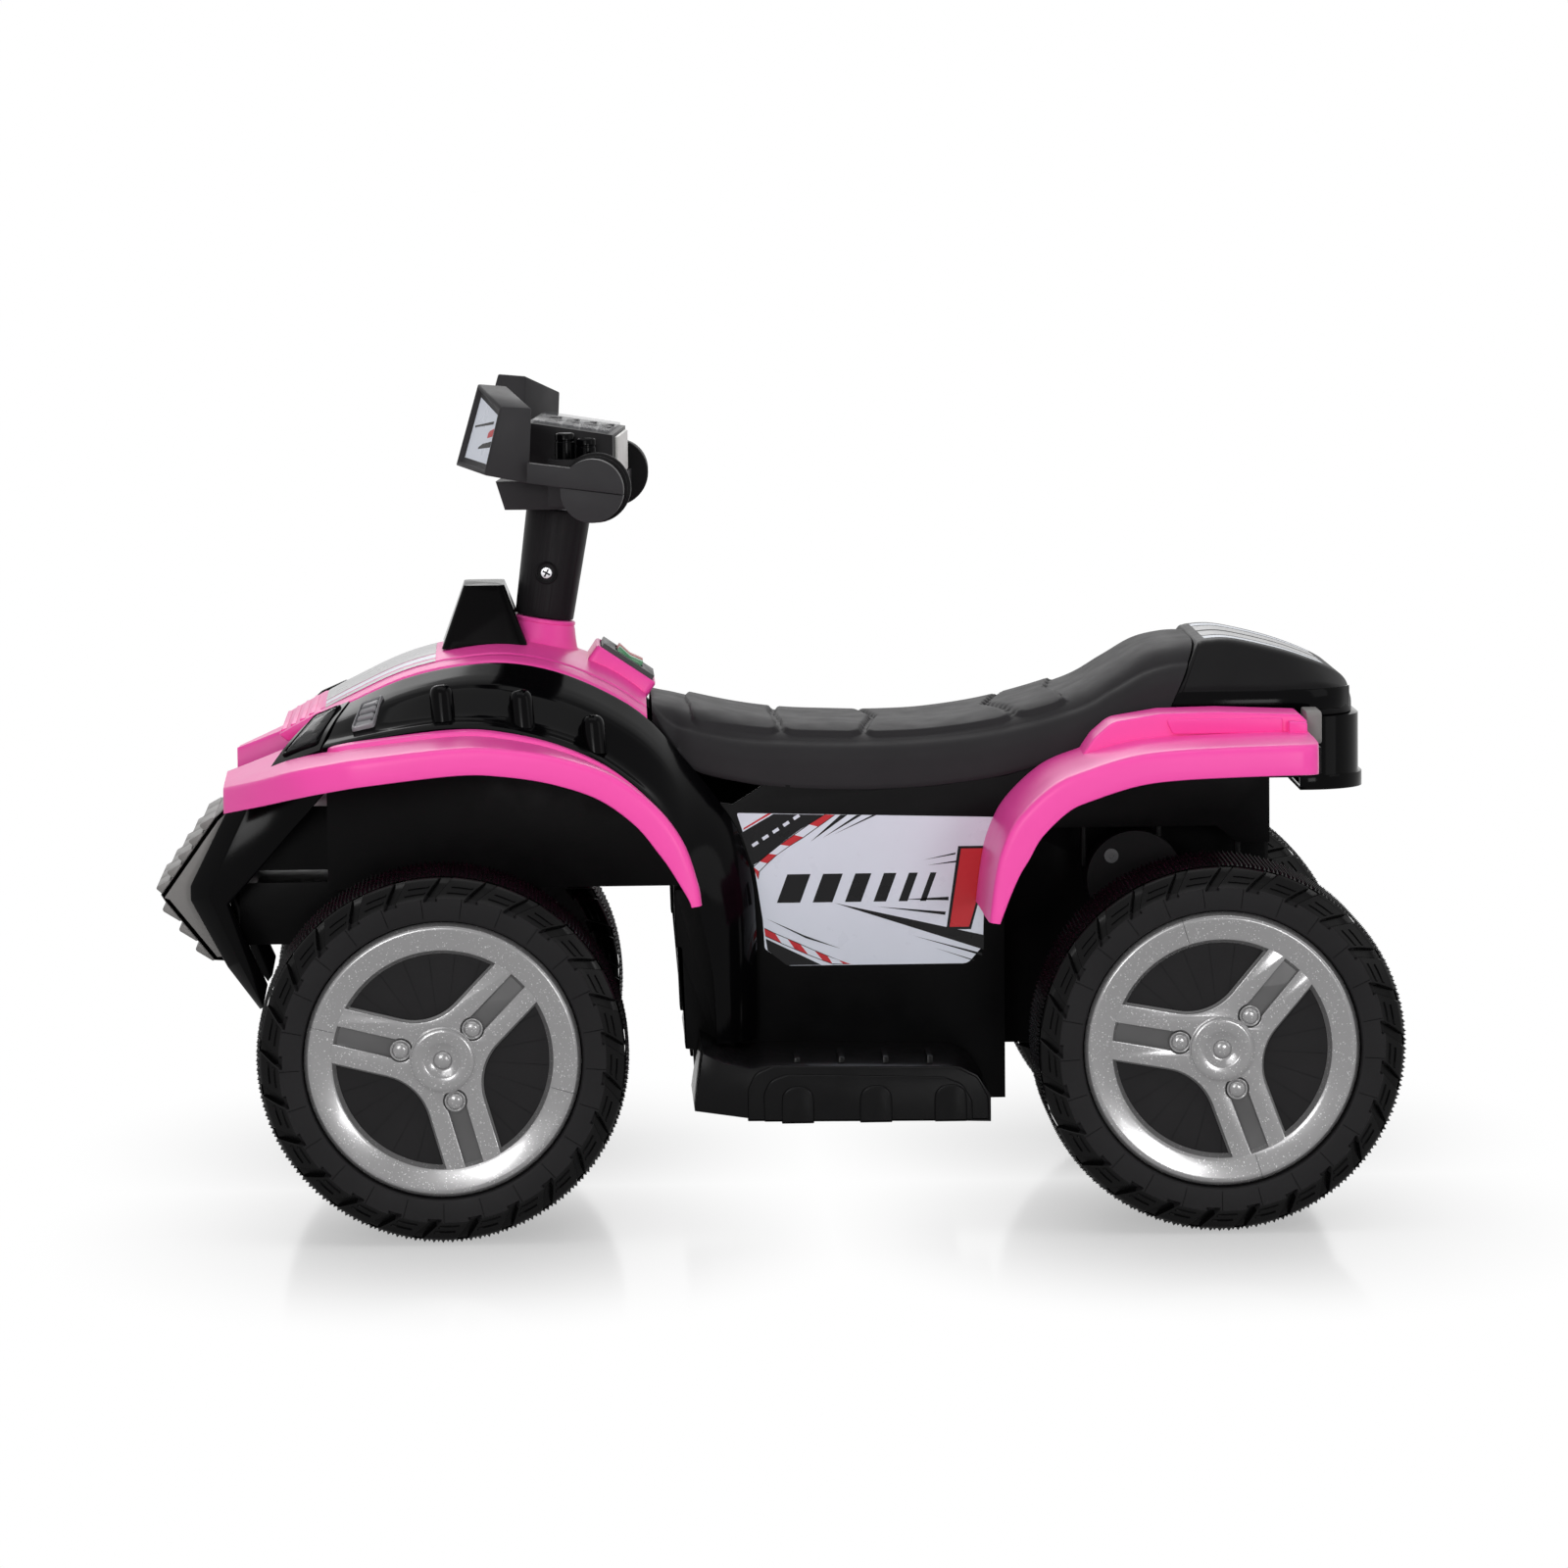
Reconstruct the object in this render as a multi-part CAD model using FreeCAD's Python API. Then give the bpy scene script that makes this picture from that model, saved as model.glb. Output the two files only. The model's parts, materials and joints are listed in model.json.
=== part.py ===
import FreeCAD, Part
import math
import os

V = FreeCAD.Vector

# Whole bike, millimetres. +X forward, +Y to the rider's left, +Z up, ground at zero.
WHEELBASE = 425.0
NOSE_REACH = 163.0
TRACK = 330.0
WHEEL_R = 102.0
TYRE_WIDTH = 82.0
BODY_WIDTH = 184.0
WALL = 3.0
SEAM = 0.3
RUN_FIT = 0.05
OVERRUN = 6.0

LENGTH = WHEEL_R + WHEELBASE + NOSE_REACH
NOSE_X = LENGTH / 2
REAR_AXLE_X = WHEEL_R - LENGTH / 2
FRONT_AXLE_X = REAR_AXLE_X + WHEELBASE
AXLE_Z = WHEEL_R
BODY_HALF = BODY_WIDTH / 2
TYRE_HALF = TYRE_WIDTH / 2
WHEEL_Y = TRACK / 2

# Chassis tub
TUB_NOSE_REACH = 64.0
TUB_FRONT_Z = 183.0
BELLY_SETBACK = 151.0
BELLY_Z = 61.0
BELLY_REAR_REACH = 112.0
TUB_REAR_Z = 203.0
TUB_STEP_Z = 212.5
TUB_STEP_REACH = 7.0
TUB_STEP_RUN = 12.0
TUB_TAIL_REACH = 37.0
DECK_TAIL_REACH = 54.7
DECK_LOW_Z = 239.0
DECK_Z = 272.0
TUB_TOP_Z = 228.0
TUB_TOP_RISE = 55.0
TUB_TOP_SHARES = ((0.016, 0.435), (0.181, 1.0), (0.554, 1.0), (0.658, 0.69), (0.735, 0.4), (0.803, 0.07),
                  (0.923, 0.0))
SPINE_HALF = 62.0
SPINE_Z = 88.0
SPINE_TAIL_REACH = 39.0
UPPER_ARM_Z = 190.0
UPPER_ARM_HEIGHT = 36.0
UPPER_ARM_SHARE = 0.544
LOWER_ARM_Z = 148.0
LOWER_ARM_SHARE = 0.646
ARM_HALF = 52.0

# Front cowl (hood, steering collar, nose plate)
HOOD_LEAD = 68.0
HOOD_LENGTH = 183.0
HOOD_HALF = 74.0
HOOD_Z = 262.0
HOOD_RISE = 46.0
HOOD_CROWN = 8.5
HOOD_STATIONS_SHARES = (
    (0.0, 0.5, 0.12, 0.93), (0.1, 0.674, 0.4, 1.0), (0.257, 0.891, 0.65, 1.0), (0.415, 0.978, 0.9, 1.0),
    (0.574, 1.0, 1.0, 1.0), (0.738, 0.87, 1.1, 1.0), (0.896, 0.587, 1.3, 1.0), (1.0, 0.304, 1.25, 1.0))
COLLAR_TOP_R = 16.6
COLLAR_BASE_R = 19.5
COLLAR_HEIGHT = 22.0
NOSE_PLATE_HALF = 66.0
NOSE_PLATE_TOP_X = 66.0
NOSE_PLATE_RAKE = 19.0
NOSE_PLATE_THICK = 5.0
NOSE_PLATE_LOW_Z = 263.5
NOSE_PLATE_TOP_Z = 283.5

# Front shroud: a strip between hood and fender, and a leg down to the footboard
STRIP_HALF = 128.0
STRIP_EDGE = 4.0
STRIP_BULGE = 5.0
STRIP_TOP_SHARES = (
    (0.098, 0.674), (0.257, 0.891), (0.415, 0.978), (0.574, 1.0), (0.738, 0.87), (0.896, 0.587), (1.0, 0.304),
    (1.093, -0.087))
STRIP_TOP_HALF_SHARES = (1.0, 1.0, 1.0, 1.0, 1.0, 1.0, 1.0, 1.08)
STRIP_LOW_SHARES = (
    (0.21, 0.945), (0.332, 1.006), (0.473, 1.056), (0.6, 1.028), (0.74, 0.906), (0.851, 0.706), (0.922, 0.5),
    (0.962, 0.345))
LEG_SETBACK = 175.0
LEG_SPAN = 50.0
LEG_Z = 98.0
LEG_RISE = 155.0
LEG_HALF = 126.0
LEG_SHARES = (
    (0.66, 0.49), (0.58, 0.4), (0.52, 0.265), (0.48, 0.0), (0.02, 0.0), (0.0, 0.4), (0.02, 0.535),
    (0.1, 0.66),
    (0.22, 0.77), (0.42, 0.877), (0.6, 0.935), (0.76, 0.987), (0.92, 0.85), (0.83, 0.755), (0.73, 0.63),
    (0.68, 0.54))
LIGHT_TOP_SHARES = (0.0, 0.52)
LIGHT_TOP_HALF_SHARE = 0.95
LIGHT_LOW_SHARES = (0.107, 0.885)
LIGHT_LOW_HALF_SHARE = 0.955
LIGHT_GAP = 0.6

# Front fender
FENDER_LEAD = 120.0
FENDER_LENGTH = 262.0
FENDER_Z = 181.0
FENDER_RISE = 89.8
FENDER_HALF = 190.0
FENDER_SKIRT = 15.0
FENDER_DISH = 4.7
FENDER_CREASE_SHARES = (
    (0.0, 0.7), (0.08, 0.783), (0.153, 0.861), (0.183, 0.883), (0.309, 0.944), (0.492, 1.0), (0.6, 0.989),
    (0.71, 0.933), (0.817, 0.822), (0.905, 0.633), (0.962, 0.411), (0.992, 0.156), (1.0, 0.02))
FENDER_WIDTH_SHARES = (0.63, 0.815, 0.985, 1.0, 1.0, 1.0, 1.0, 1.0, 1.0, 1.0, 1.0, 1.0, 1.0)
FENDER_SKIRT_SHARES = (1.0, 1.0, 1.0, 1.0, 1.0, 1.0, 1.0, 1.0, 1.0, 1.0, 0.95, 0.6, 0.35)
FENDER_DISH_SHARES = (0.9, 1.0, 1.0, 1.0, 1.0, 1.0, 0.6, -0.2, -1.2, -1.7, -1.5, -1.0, -0.5)
NOSE_DECK_STATIONS = 7
NOSE_DECK_INNER = 66.5

# Seat and tail
SEAT_SETBACK = 116.0
SEAT_END_LEAD = 21.0
SEAT_Z = 235.0
SEAT_RISE = 84.0
SEAT_LEAN = 20.0
SEAT_WALL = 4.0
SEAT_FLAT_SHARE = 0.62
SEAT_STATIONS_SHARES = (
    (0.0, 0.75, 0.48, 0.55, 0.607, 0.0), (0.05, 0.79, 0.3, 0.44, 0.583, 0.0),
    (0.108, 0.9, 0.137, 0.393, 0.542, 0.0),
    (0.226, 1.0, 0.06, 0.333, 0.464, 0.0), (0.333, 1.0, 0.012, 0.31, 0.423, 0.0),
    (0.427, 1.0, 0.0, 0.3, 0.405, 0.0),
    (0.559, 1.0, 0.024, 0.32, 0.417, 0.0), (0.688, 1.0, 0.083, 0.38, 0.488, 0.0),
    (0.844, 0.98, 0.226, 0.5, 0.63, 0.2),
    (0.924, 0.96, 0.32, 0.62, 0.78, 0.5), (1.0, 0.935, 0.45, 0.8, 0.988, 1.0))
SEAT_RIM_SHARES = (
    (0.226, 0.06), (0.333, 0.012), (0.427, 0.0), (0.559, 0.024), (0.688, 0.083), (0.844, 0.226),
    (0.924, 0.32),
    (1.0, 0.44))
TAIL_LENGTH = 108.0
TAIL_RISE = 46.0
TAIL_HALF = 86.0
TAIL_FLAT_SHARE = 0.72
TAIL_ROUND = 44.0
TAIL_STATIONS_SHARES = (
    (0.0, 1.0, 0.35, 1.0, 1.0), (0.26, 1.0, 0.36, 0.975, 0.6), (0.58, 0.98, 0.36, 0.8, 0.25),
    (0.86, 0.94, 0.36, 0.61, 0.0),
    (1.0, 0.9, 0.2, 0.3, 0.0))
REAR_PANEL_REACH = 55.0
REAR_PANEL_DEPTH = 36.0
REAR_PANEL_HALF = 84.0
REAR_PANEL_HEIGHT = 41.0
REAR_PANEL_LIP = 8.0
REAR_PANEL_LIP_OUT = 2.0
REAR_PANEL_ROUND = 33.0
TAIL_LIGHT_DEPTH = 8.6
TAIL_LIGHT_WIDTH = 32.0
TAIL_LIGHT_Z = 260.0
TAIL_LIGHT_HEIGHT = 18.0
TAIL_LIGHT_ROUND = 3.0

# Rear fender
REAR_FENDER_LEAD = 126.0
REAR_FENDER_LENGTH = 181.0
REAR_FENDER_Z = 172.0
REAR_FENDER_RISE = 95.0
REAR_FENDER_HALF = 195.0
REAR_FENDER_SKIRT = 16.5
REAR_FENDER_DISH = 2.0
REAR_CREASE_SHARES = (
    (0.0, 0.0), (0.017, 0.24), (0.04, 0.42), (0.09, 0.6), (0.195, 0.785), (0.305, 0.875), (0.437, 0.948),
    (0.575, 0.98), (0.78, 0.995), (1.0, 1.0))
REAR_SKIRT_SHARES = (0.35, 0.7, 0.95, 1.0, 1.0, 1.0, 1.0, 1.0, 1.0, 1.0)
LEDGE_HALF = 127.0
LEDGE_SHARES = (
    (0.3, 0.86), (0.345, 0.99), (0.4, 1.085), (0.55, 1.13), (0.73, 1.137), (0.975, 1.115), (1.0, 1.075),
    (1.0, 0.98),
    (0.6, 0.96))

# Bumper
RAIL_SETBACK = 20.0
RAIL_Z = 112.0
RAIL_RISE = 124.0
RAIL_INNER = 56.5
RAIL_WIDTH = 15.0
RAIL_SHARES = (
    (0.54, 0.935), (1.0, 0.55), (1.0, 0.5), (0.735, 0.2), (0.49, 0.0), (0.445, 0.105), (0.72, 0.49),
    (0.01, 1.0))
SKID_SPAN = 40.0
SKID_Z = 135.0
SKID_RISE = 97.0
SKID_HALF = 56.0
SKID_THICK = 5.0
SKID_FLANGE_THICK = 4.0
SKID_FLANGE_LAP = 2.0
SKID_SHARES = ((0.0, 1.0), (0.22, 0.91), (1.0, 0.46), (0.93, 0.37), (0.25, 0.02), (0.0, 0.0))

# Footboard
BOARD_SETBACK = 137.0
BOARD_END_LEAD = 126.0
BOARD_Z = 62.5
BOARD_RISE = 39.5
BOARD_HALF = 192.0
BOARD_SHARES = (
    (0.0, 0.2), (0.18, 0.09), (1.0, 0.0), (1.0, 0.36), (0.955, 0.64), (0.895, 0.77), (0.26, 0.82),
    (0.19, 0.78),
    (0.1, 0.85), (0.03, 1.0))
BOARD_PAD_WIDTH = 17.0
BOARD_PAD_HEIGHT = 19.0
BOARD_PAD_PROUD = 2.0
BOARD_PAD_SHARES = (0.34, 0.604, 0.862)
BOARD_RIB_HEIGHT = 2.0
BOARD_RIB_WIDTH = 3.0
BOARD_RIB_SHARES = (0.35, 0.5, 0.65, 0.8)
BOARD_RIB_INSET = 14.0
DECAL_THICK = 0.25
DECAL_SETBACK = 164.0
DECAL_END_LEAD = 106.0
DECAL_Z = 137.0
DECAL_HEIGHT = 88.0
DECAL_SHARES = (
    (0.005, 0.98), (0.99, 0.93), (0.89, 0.42), (0.885, 0.11), (0.83, 0.0), (0.18, 0.0), (0.095, 0.11),
    (0.09, 0.3),
    (0.06, 0.65))

# Intake cover in front of the steering column
INTAKE_BASE_LEAD = -4.0
INTAKE_BASE_LENGTH = 58.0
INTAKE_TOP_LEAD = 18.0
INTAKE_TOP_LENGTH = 23.0
INTAKE_BASE_HALF = 40.0
INTAKE_TOP_HALF = 24.0
INTAKE_TOP_Z = 347.0
INTAKE_FOOT_Z = 300.0
INTAKE_ROUND = 5.0
INTAKE_CLEAR = 2.5

# Steering
COLUMN_SETBACK = 58.2
COLUMN_FOOT_Z = 327.0
COLUMN_RAKE_DEG = 8.5
COLUMN_LENGTH = 61.5
COLUMN_FOOT_R = 16.6
COLUMN_TOP_R = 18.4
COLUMN_GAP = 0.5
HANDLEBAR_TURN_DEG = -4.0
ROD_R = 5.0
ROD_TOP_Z = 400.0
CRANK_Z = 127.0
CRANK_REACH = 28.0
CRANK_THICK = 6.0
CRANK_HUB_R = 9.0
LINK_PIN_R = 3.0
LINK_SLACK = 0.8
TIE_Z = 115.5
TIE_THICK = 5.0
TIE_FRONT = 24.0
TIE_REAR = 45.0
TIE_END_LAND = 4.5
TIE_TAB_HALF = 13.0
TIE_TAB_REACH = 72.0
SLOT_FORE = 8.2
SLOT_AFT = 4.2
KINGPIN_Y = 110.0
KINGPIN_R = 5.0
BARREL_R = 9.0
EAR_THICK = 8.0
FORK_HALF = 24.0
FORK_GAP = 0.4
BEAM_HALF_X = 10.0
BEAM_HALF_Z = 10.0
BEAM_WEB = 12.0
PEDESTAL_HALF_Y = 40.0
PEDESTAL_HALF_X = 17.0
ARM_LENGTH = 35.0
ARM_Z = 108.0
ARM_THICK = 5.0
ARM_HALF_WIDTH = 4.0
STUB_R = 5.0
STUB_HEAD_R = 9.0
STUB_HEAD_THICK = 4.0
STUB_COLLAR_R = 8.0
STUB_COLLAR_GAP = 0.5
HEAD_GAP = 0.5

# Handlebar, drawn straight and turned afterwards; leads are measured from the foot of the steering column
GRIP_LEAD = -35.8
GRIP_Z = 405.5
GRIP_R = 13.5
GRIP_START = 82.3
GRIP_END = 119.0
DISC_R = 17.7
DISC_THICK = 6.0
SPLIT_Z = 407.0
LOWER_Z = 391.0
LOWER_FRONT_LEAD = 22.2
LOWER_CHIN_LEAD = 17.2
LOWER_REAR_LEAD = -41.8
LOWER_HALF = 58.0
POD_HALF = 82.0
POD_FRONT_LEAD = -8.8
POD_REAR_LEAD = -45.8
POD_TOP_Z = 420.0
UPPER_HALF = 61.5
UPPER_FRONT_LEAD = 7.2
UPPER_FRONT_Z = 437.0
UPPER_BROW_LEAD = 4.2
UPPER_BROW_Z = 440.0
UPPER_REAR_LEAD = -43.8
UPPER_REAR_Z = 432.5
LENS_HALF = 56.0
LENS_THICK = 1.6
LENS_INSET = 2.5
PANEL_THICK = 2.2
PANEL_Z = 408.5
PANEL_TOP_Z = 431.0
PANEL_HALF = 44.0
BUTTON_R = 5.5
BUTTON_CLEAR = 0.3
BUTTON_Y = 72.0
HORN_LEAD = -17.8
MUSIC_LEAD = -29.8
BUTTON_Z = 415.0
HORN_TOP_Z = 434.0
MUSIC_TOP_Z = 431.0
BUTTON_WELL_Z = 412.0
BUTTON_ROUND = 1.5
GUARD_INNER_Y = 74.0
GUARD_OUTER_Y = 116.0
GUARD_LEAD = -2.8
GUARD_LENGTH = 46.0
GUARD_Z = 408.5
GUARD_HEIGHT = 54.0
GUARD_INNER_SHARES = ((0.72, 1.0), (0.37, 0.97), (0.41, 0.14), (1.0, 0.16))
GUARD_OUTER_SHARES = ((0.37, 0.79), (0.0, 0.77), (0.04, 0.0), (0.575, 0.09))
GUARD_ARM_LEAD = -20.8
GUARD_ARM_TIP_LEAD = -32.8
GUARD_ARM_FRONT_LEAD = 4.2
GUARD_ARM_Z = 411.5
GUARD_ARM_TOP_Z = 421.0
GUARD_ARM_Y = 108.0

# Switch console on the hood
CONSOLE_SETBACK = 101.0
CONSOLE_Z = 296.5
CONSOLE_SLOPE_DEG = 34.0
CONSOLE_LENGTH = 34.0
CONSOLE_HALF = 24.0
CONSOLE_DEPTH = 16.0
CONSOLE_PROUD = 9.0
ROCKER_LENGTH = 16.0
ROCKER_HALF = 6.5
ROCKER_Y = 9.0
ROCKER_DEPTH = 7.0
ROCKER_PROUD = 2.5
ROCKER_CLEAR = 1.2
ROCKER_PIN_R = 1.2
ROCKER_PIN_REACH = 1.6
ROCKER_PIN_FREE = 0.2

# Wheels, shares of the wheel radius and of half the tyre width
TYRE_OUTER_SHARES = (
    (0.2, -0.98), (0.74, -0.9), (0.755, -1.0), (0.875, -1.0), (0.965, -0.85), (1.0, -0.66), (1.0, 0.66),
    (0.965, 0.85), (0.875, 1.0), (0.755, 1.0), (0.745, 0.805), (0.2, 0.805))
TYRE_HOLLOW_SHARES = (
    (0.15, -0.87), (0.72, -0.8), (0.775, -0.9), (0.86, -0.9), (0.93, -0.76), (0.96, -0.6), (0.96, 0.6),
    (0.93, 0.76), (0.86, 0.9), (0.79, 0.9), (0.775, 0.7), (0.15, 0.7))
LUGS = 25
LUG_GAP = 6.5
LUG_GAP_SHARES = ((0.865, 0.975), (0.95, 0.8), (0.98, 0.64), (1.05, 0.64), (1.05, 1.05), (0.865, 1.05))
TYRE_BORE_GAP = 0.06
HEAD_WELL_R = 12.0
HEAD_WELL_DEPTH = 7.0
COVER_R = 75.4
COVER_RING = 15.0
COVER_BACK = 0.3
COVER_RING_DEPTH = 6.5
COVER_SPOKE_DEPTH = 5.0
COVER_SPOKE_WIDTH = 30.0
COVER_CHANNEL = 8.0
COVER_CHANNEL_DEPTH = 2.0
COVER_CHANNEL_START = 20.0
COVER_HUB_R = 17.0
COVER_CHAMFER = 1.5
COVER_BOSS_R = 5.4
COVER_BOSS_AT = 23.5
SPOKES = 3
FRONT_SPOKE_DEG = 14.0
REAR_SPOKE_DEG = 10.0

# Drive at the left rear wheel
MOTOR_LEAD = 39.0
MOTOR_Z = 184.0
MOTOR_R = 18.0
MOTOR_Y = 4.0
MOTOR_LENGTH = 54.5
MOTOR_SHAFT_R = 2.0
MOTOR_SHAFT_HOLE_R = 4.0
GEAR_MODULE = 1.25
PINION_TEETH = 14
IDLER_TEETH = 54
IDLER_PINION_TEETH = 14
OUTPUT_TEETH = 66
TOOTH_TIP_SHARE = 0.8
TOOTH_ROOT_SHARE = 1.25
TOOTH_TIP_WIDTH_SHARE = 0.2
TOOTH_ROOT_WIDTH_SHARE = 0.46
GEAR_WIDTH = 9.0
PINION_WIDTH = 11.0
FIRST_STAGE_Y = 70.0
SECOND_STAGE_Y = 84.0
IDLER_SHAFT_R = 3.0
IDLER_HUB_R = 5.5
CASE_Y = 62.3
CASE_SPLIT_Y = 81.0
CASE_OUTER_Y = 118.0
CASE_NECK_Y = 100.0
CASE_WALL = 2.5
CASE_MOTOR_R = 27.0
CASE_IDLER_R = 39.5
CASE_AXLE_R = 46.5
CASE_HUB_CLEAR = 0.4
OUTPUT_HUB_R = 13.0
AXLE_R = 5.0

# Battery, pedal and screws
BATTERY_LENGTH = 70.0
BATTERY_WIDTH = 48.0
BATTERY_HEIGHT = 100.0
BATTERY_GAP = 10.0
BATTERY_ROUND = 2.0
TERMINAL_SIZE = 5.0
TERMINAL_HEIGHT = 6.0
PEDAL_SHARE = 0.42
PEDAL_LENGTH = 46.0
PEDAL_THICK = 6.0
PEDAL_WIDTH = 40.0
PEDAL_TILT_DEG = 10.0
PEDAL_LIFT = 4.5
PEDAL_PIN_R = 2.5
PEDAL_EAR = 4.0
PEDAL_EAR_GAP = 0.4
PEDAL_EAR_HALF = 5.0
SCREW_HEAD_R = 4.0
SCREW_HEAD = 2.0
SCREW_SOCKET_R = 1.6
SCREW_SOCKET_DEPTH = 1.2


def outline(start, span, low, rise, shares):
    """Side-view points from shares of a span and a rise."""
    return [(start + span * s, low + rise * t) for s, t in shares]


def prism(points, y0, y1):
    """Side-view polygon drawn out across the bike."""
    wire = Part.makePolygon([V(x, y0, z) for x, z in points + points[:1]])
    return Part.Face(wire).extrude(V(0, y1 - y0, 0))


def block(x0, x1, y0, y1, z0, z1):
    return Part.makeBox(x1 - x0, y1 - y0, z1 - z0, V(x0, y0, z0))


def rod(radius, start, end):
    line = end - start
    return Part.makeCylinder(radius, line.Length, start, line)


def skin(wires, ruled=False):
    """Solid through section wires, turned right side out."""
    solid = Part.makeLoft(wires, True, ruled)
    if solid.Volume < 0:
        solid.reverse()
    return solid


def loft(sections, ruled=False):
    return skin([Part.makePolygon(points + points[:1]) for points in sections], ruled)


def mirror(shape):
    return shape.mirror(V(0, 0, 0), V(0, 1, 0))


def fuse(first, *others):
    return first.fuse(list(others)).removeSplitter()


def largest(shape):
    return max(shape.Solids, key=lambda solid: solid.Volume)


def normals(points):
    """Unit normals of a side-view curve that runs rearward, pointing away from the wheel."""
    found = []
    for i in range(len(points)):
        ax, az = points[max(i - 1, 0)]
        bx, bz = points[min(i + 1, len(points) - 1)]
        run = math.hypot(bx - ax, bz - az)
        found.append(((bz - az) / run, (ax - bx) / run))
    return found


def finer(rows):
    """Rows with a point of a smooth curve put in between each two."""
    found = []
    for i in range(len(rows) - 1):
        a, b, c, d = (rows[min(max(j, 0), len(rows) - 1)] for j in range(i - 1, i + 3))
        found += [b, tuple((9 * (q + r) - p - s) / 16 for p, q, r, s in zip(a, b, c, d))]
    return found + [rows[-1]]


def on_axis(height):
    """Point of the steering axis at a height."""
    return V(COLUMN_X - (height - COLUMN_FOOT_Z) * math.tan(math.radians(COLUMN_RAKE_DEG)), 0, height)


def inset_prism(points, inset, y0, y1):
    """Prism of a polygon moved inward by a wall."""
    face = Part.Face(Part.makePolygon([V(x, y0, z) for x, z in points + points[:1]]))
    inner = face.makeOffset2D(-inset, 2)
    return inner.extrude(V(0, y1 - y0, 0))


nodes = {}

# Places that several pieces share
COLUMN_X = FRONT_AXLE_X - COLUMN_SETBACK
TUB_FRONT_X = FRONT_AXLE_X + TUB_NOSE_REACH
BELLY_FRONT_X = FRONT_AXLE_X - BELLY_SETBACK
BELLY_REAR_X = REAR_AXLE_X + BELLY_REAR_REACH
HOOD_X = FRONT_AXLE_X + HOOD_LEAD
FENDER_X = FRONT_AXLE_X + FENDER_LEAD
SEAT_X = FRONT_AXLE_X - SEAT_SETBACK
SEAT_END_X = REAR_AXLE_X + SEAT_END_LEAD
SEAT_LENGTH = SEAT_X - SEAT_END_X
RAIL_SPAN = NOSE_X - RAIL_SETBACK - TUB_FRONT_X
BOARD_LENGTH = WHEELBASE - BOARD_SETBACK - BOARD_END_LEAD
DECAL_LENGTH = WHEELBASE - DECAL_SETBACK - DECAL_END_LEAD
PEDAL_Y = (BODY_HALF + BOARD_HALF - PEDAL_WIDTH) / 2
GRIP_X = COLUMN_X + GRIP_LEAD
LOWER_FRONT_X = COLUMN_X + LOWER_FRONT_LEAD
LOWER_CHIN_X = COLUMN_X + LOWER_CHIN_LEAD
LOWER_REAR_X = COLUMN_X + LOWER_REAR_LEAD
POD_FRONT_X = COLUMN_X + POD_FRONT_LEAD
POD_REAR_X = COLUMN_X + POD_REAR_LEAD
UPPER_FRONT_X = COLUMN_X + UPPER_FRONT_LEAD
UPPER_BROW_X = COLUMN_X + UPPER_BROW_LEAD
UPPER_REAR_X = COLUMN_X + UPPER_REAR_LEAD
HORN_X = COLUMN_X + HORN_LEAD
MUSIC_X = COLUMN_X + MUSIC_LEAD
GUARD_X = COLUMN_X + GUARD_LEAD
GUARD_ARM_X = COLUMN_X + GUARD_ARM_LEAD
GUARD_ARM_TIP_X = COLUMN_X + GUARD_ARM_TIP_LEAD
GUARD_ARM_FRONT_X = COLUMN_X + GUARD_ARM_FRONT_LEAD
DECK_TAIL_X = REAR_AXLE_X - DECK_TAIL_REACH
MOTOR_X = REAR_AXLE_X + MOTOR_LEAD
AXIS_DIR = (on_axis(ROD_TOP_Z) - on_axis(0)).normalize()

# Chassis tub: one hollow side profile, a narrower rear spine and the two bumper arms
rim_line = outline(SEAT_X, -SEAT_LENGTH, SEAT_Z, SEAT_RISE, SEAT_RIM_SHARES)
cowl_line = outline(HOOD_X, rim_line[0][0] - HOOD_X, TUB_TOP_Z, TUB_TOP_RISE, TUB_TOP_SHARES)
top_line = cowl_line + rim_line + [(DECK_TAIL_X, DECK_Z)]
low_line = [
    (DECK_TAIL_X, DECK_LOW_Z), (REAR_AXLE_X - TUB_TAIL_REACH, DECK_LOW_Z),
    (REAR_AXLE_X - TUB_TAIL_REACH, TUB_REAR_Z),
    (REAR_AXLE_X - TUB_STEP_REACH - TUB_STEP_RUN, TUB_REAR_Z), (REAR_AXLE_X - TUB_STEP_REACH, TUB_STEP_Z),
    (BELLY_REAR_X, TUB_STEP_Z), (BELLY_REAR_X, BELLY_Z), (BELLY_FRONT_X, BELLY_Z),
    (BELLY_FRONT_X, TUB_FRONT_Z),
    (TUB_FRONT_X, TUB_FRONT_Z)]
tub_profile = top_line + low_line
spine_x = REAR_AXLE_X - SPINE_TAIL_REACH
tub = prism(tub_profile, -BODY_HALF, BODY_HALF)
tub = tub.fuse(block(spine_x, BELLY_REAR_X + OVERRUN, -SPINE_HALF, SPINE_HALF, SPINE_Z, TUB_STEP_Z + WALL))
hollow = inset_prism(tub_profile, WALL, -BODY_HALF + WALL, BODY_HALF - WALL)
lid_points = [(x, z - WALL - OVERRUN) for x, z in top_line[1:-1]]
lid_points += [(x, z + OVERRUN) for x, z in top_line[-2:0:-1]]
lid = prism(lid_points, -BODY_HALF + WALL, BODY_HALF - WALL)
spine_room = block(spine_x + WALL, BELLY_REAR_X + OVERRUN + WALL, -SPINE_HALF + WALL, SPINE_HALF - WALL,
                   SPINE_Z + WALL, TUB_STEP_Z + WALL + OVERRUN)
tub = tub.cut([hollow, lid, spine_room])
upper_arm_x = TUB_FRONT_X + RAIL_SPAN * UPPER_ARM_SHARE
upper_arm = block(TUB_FRONT_X - WALL, upper_arm_x, -ARM_HALF, ARM_HALF, UPPER_ARM_Z,
                  UPPER_ARM_Z + UPPER_ARM_HEIGHT)
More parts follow.
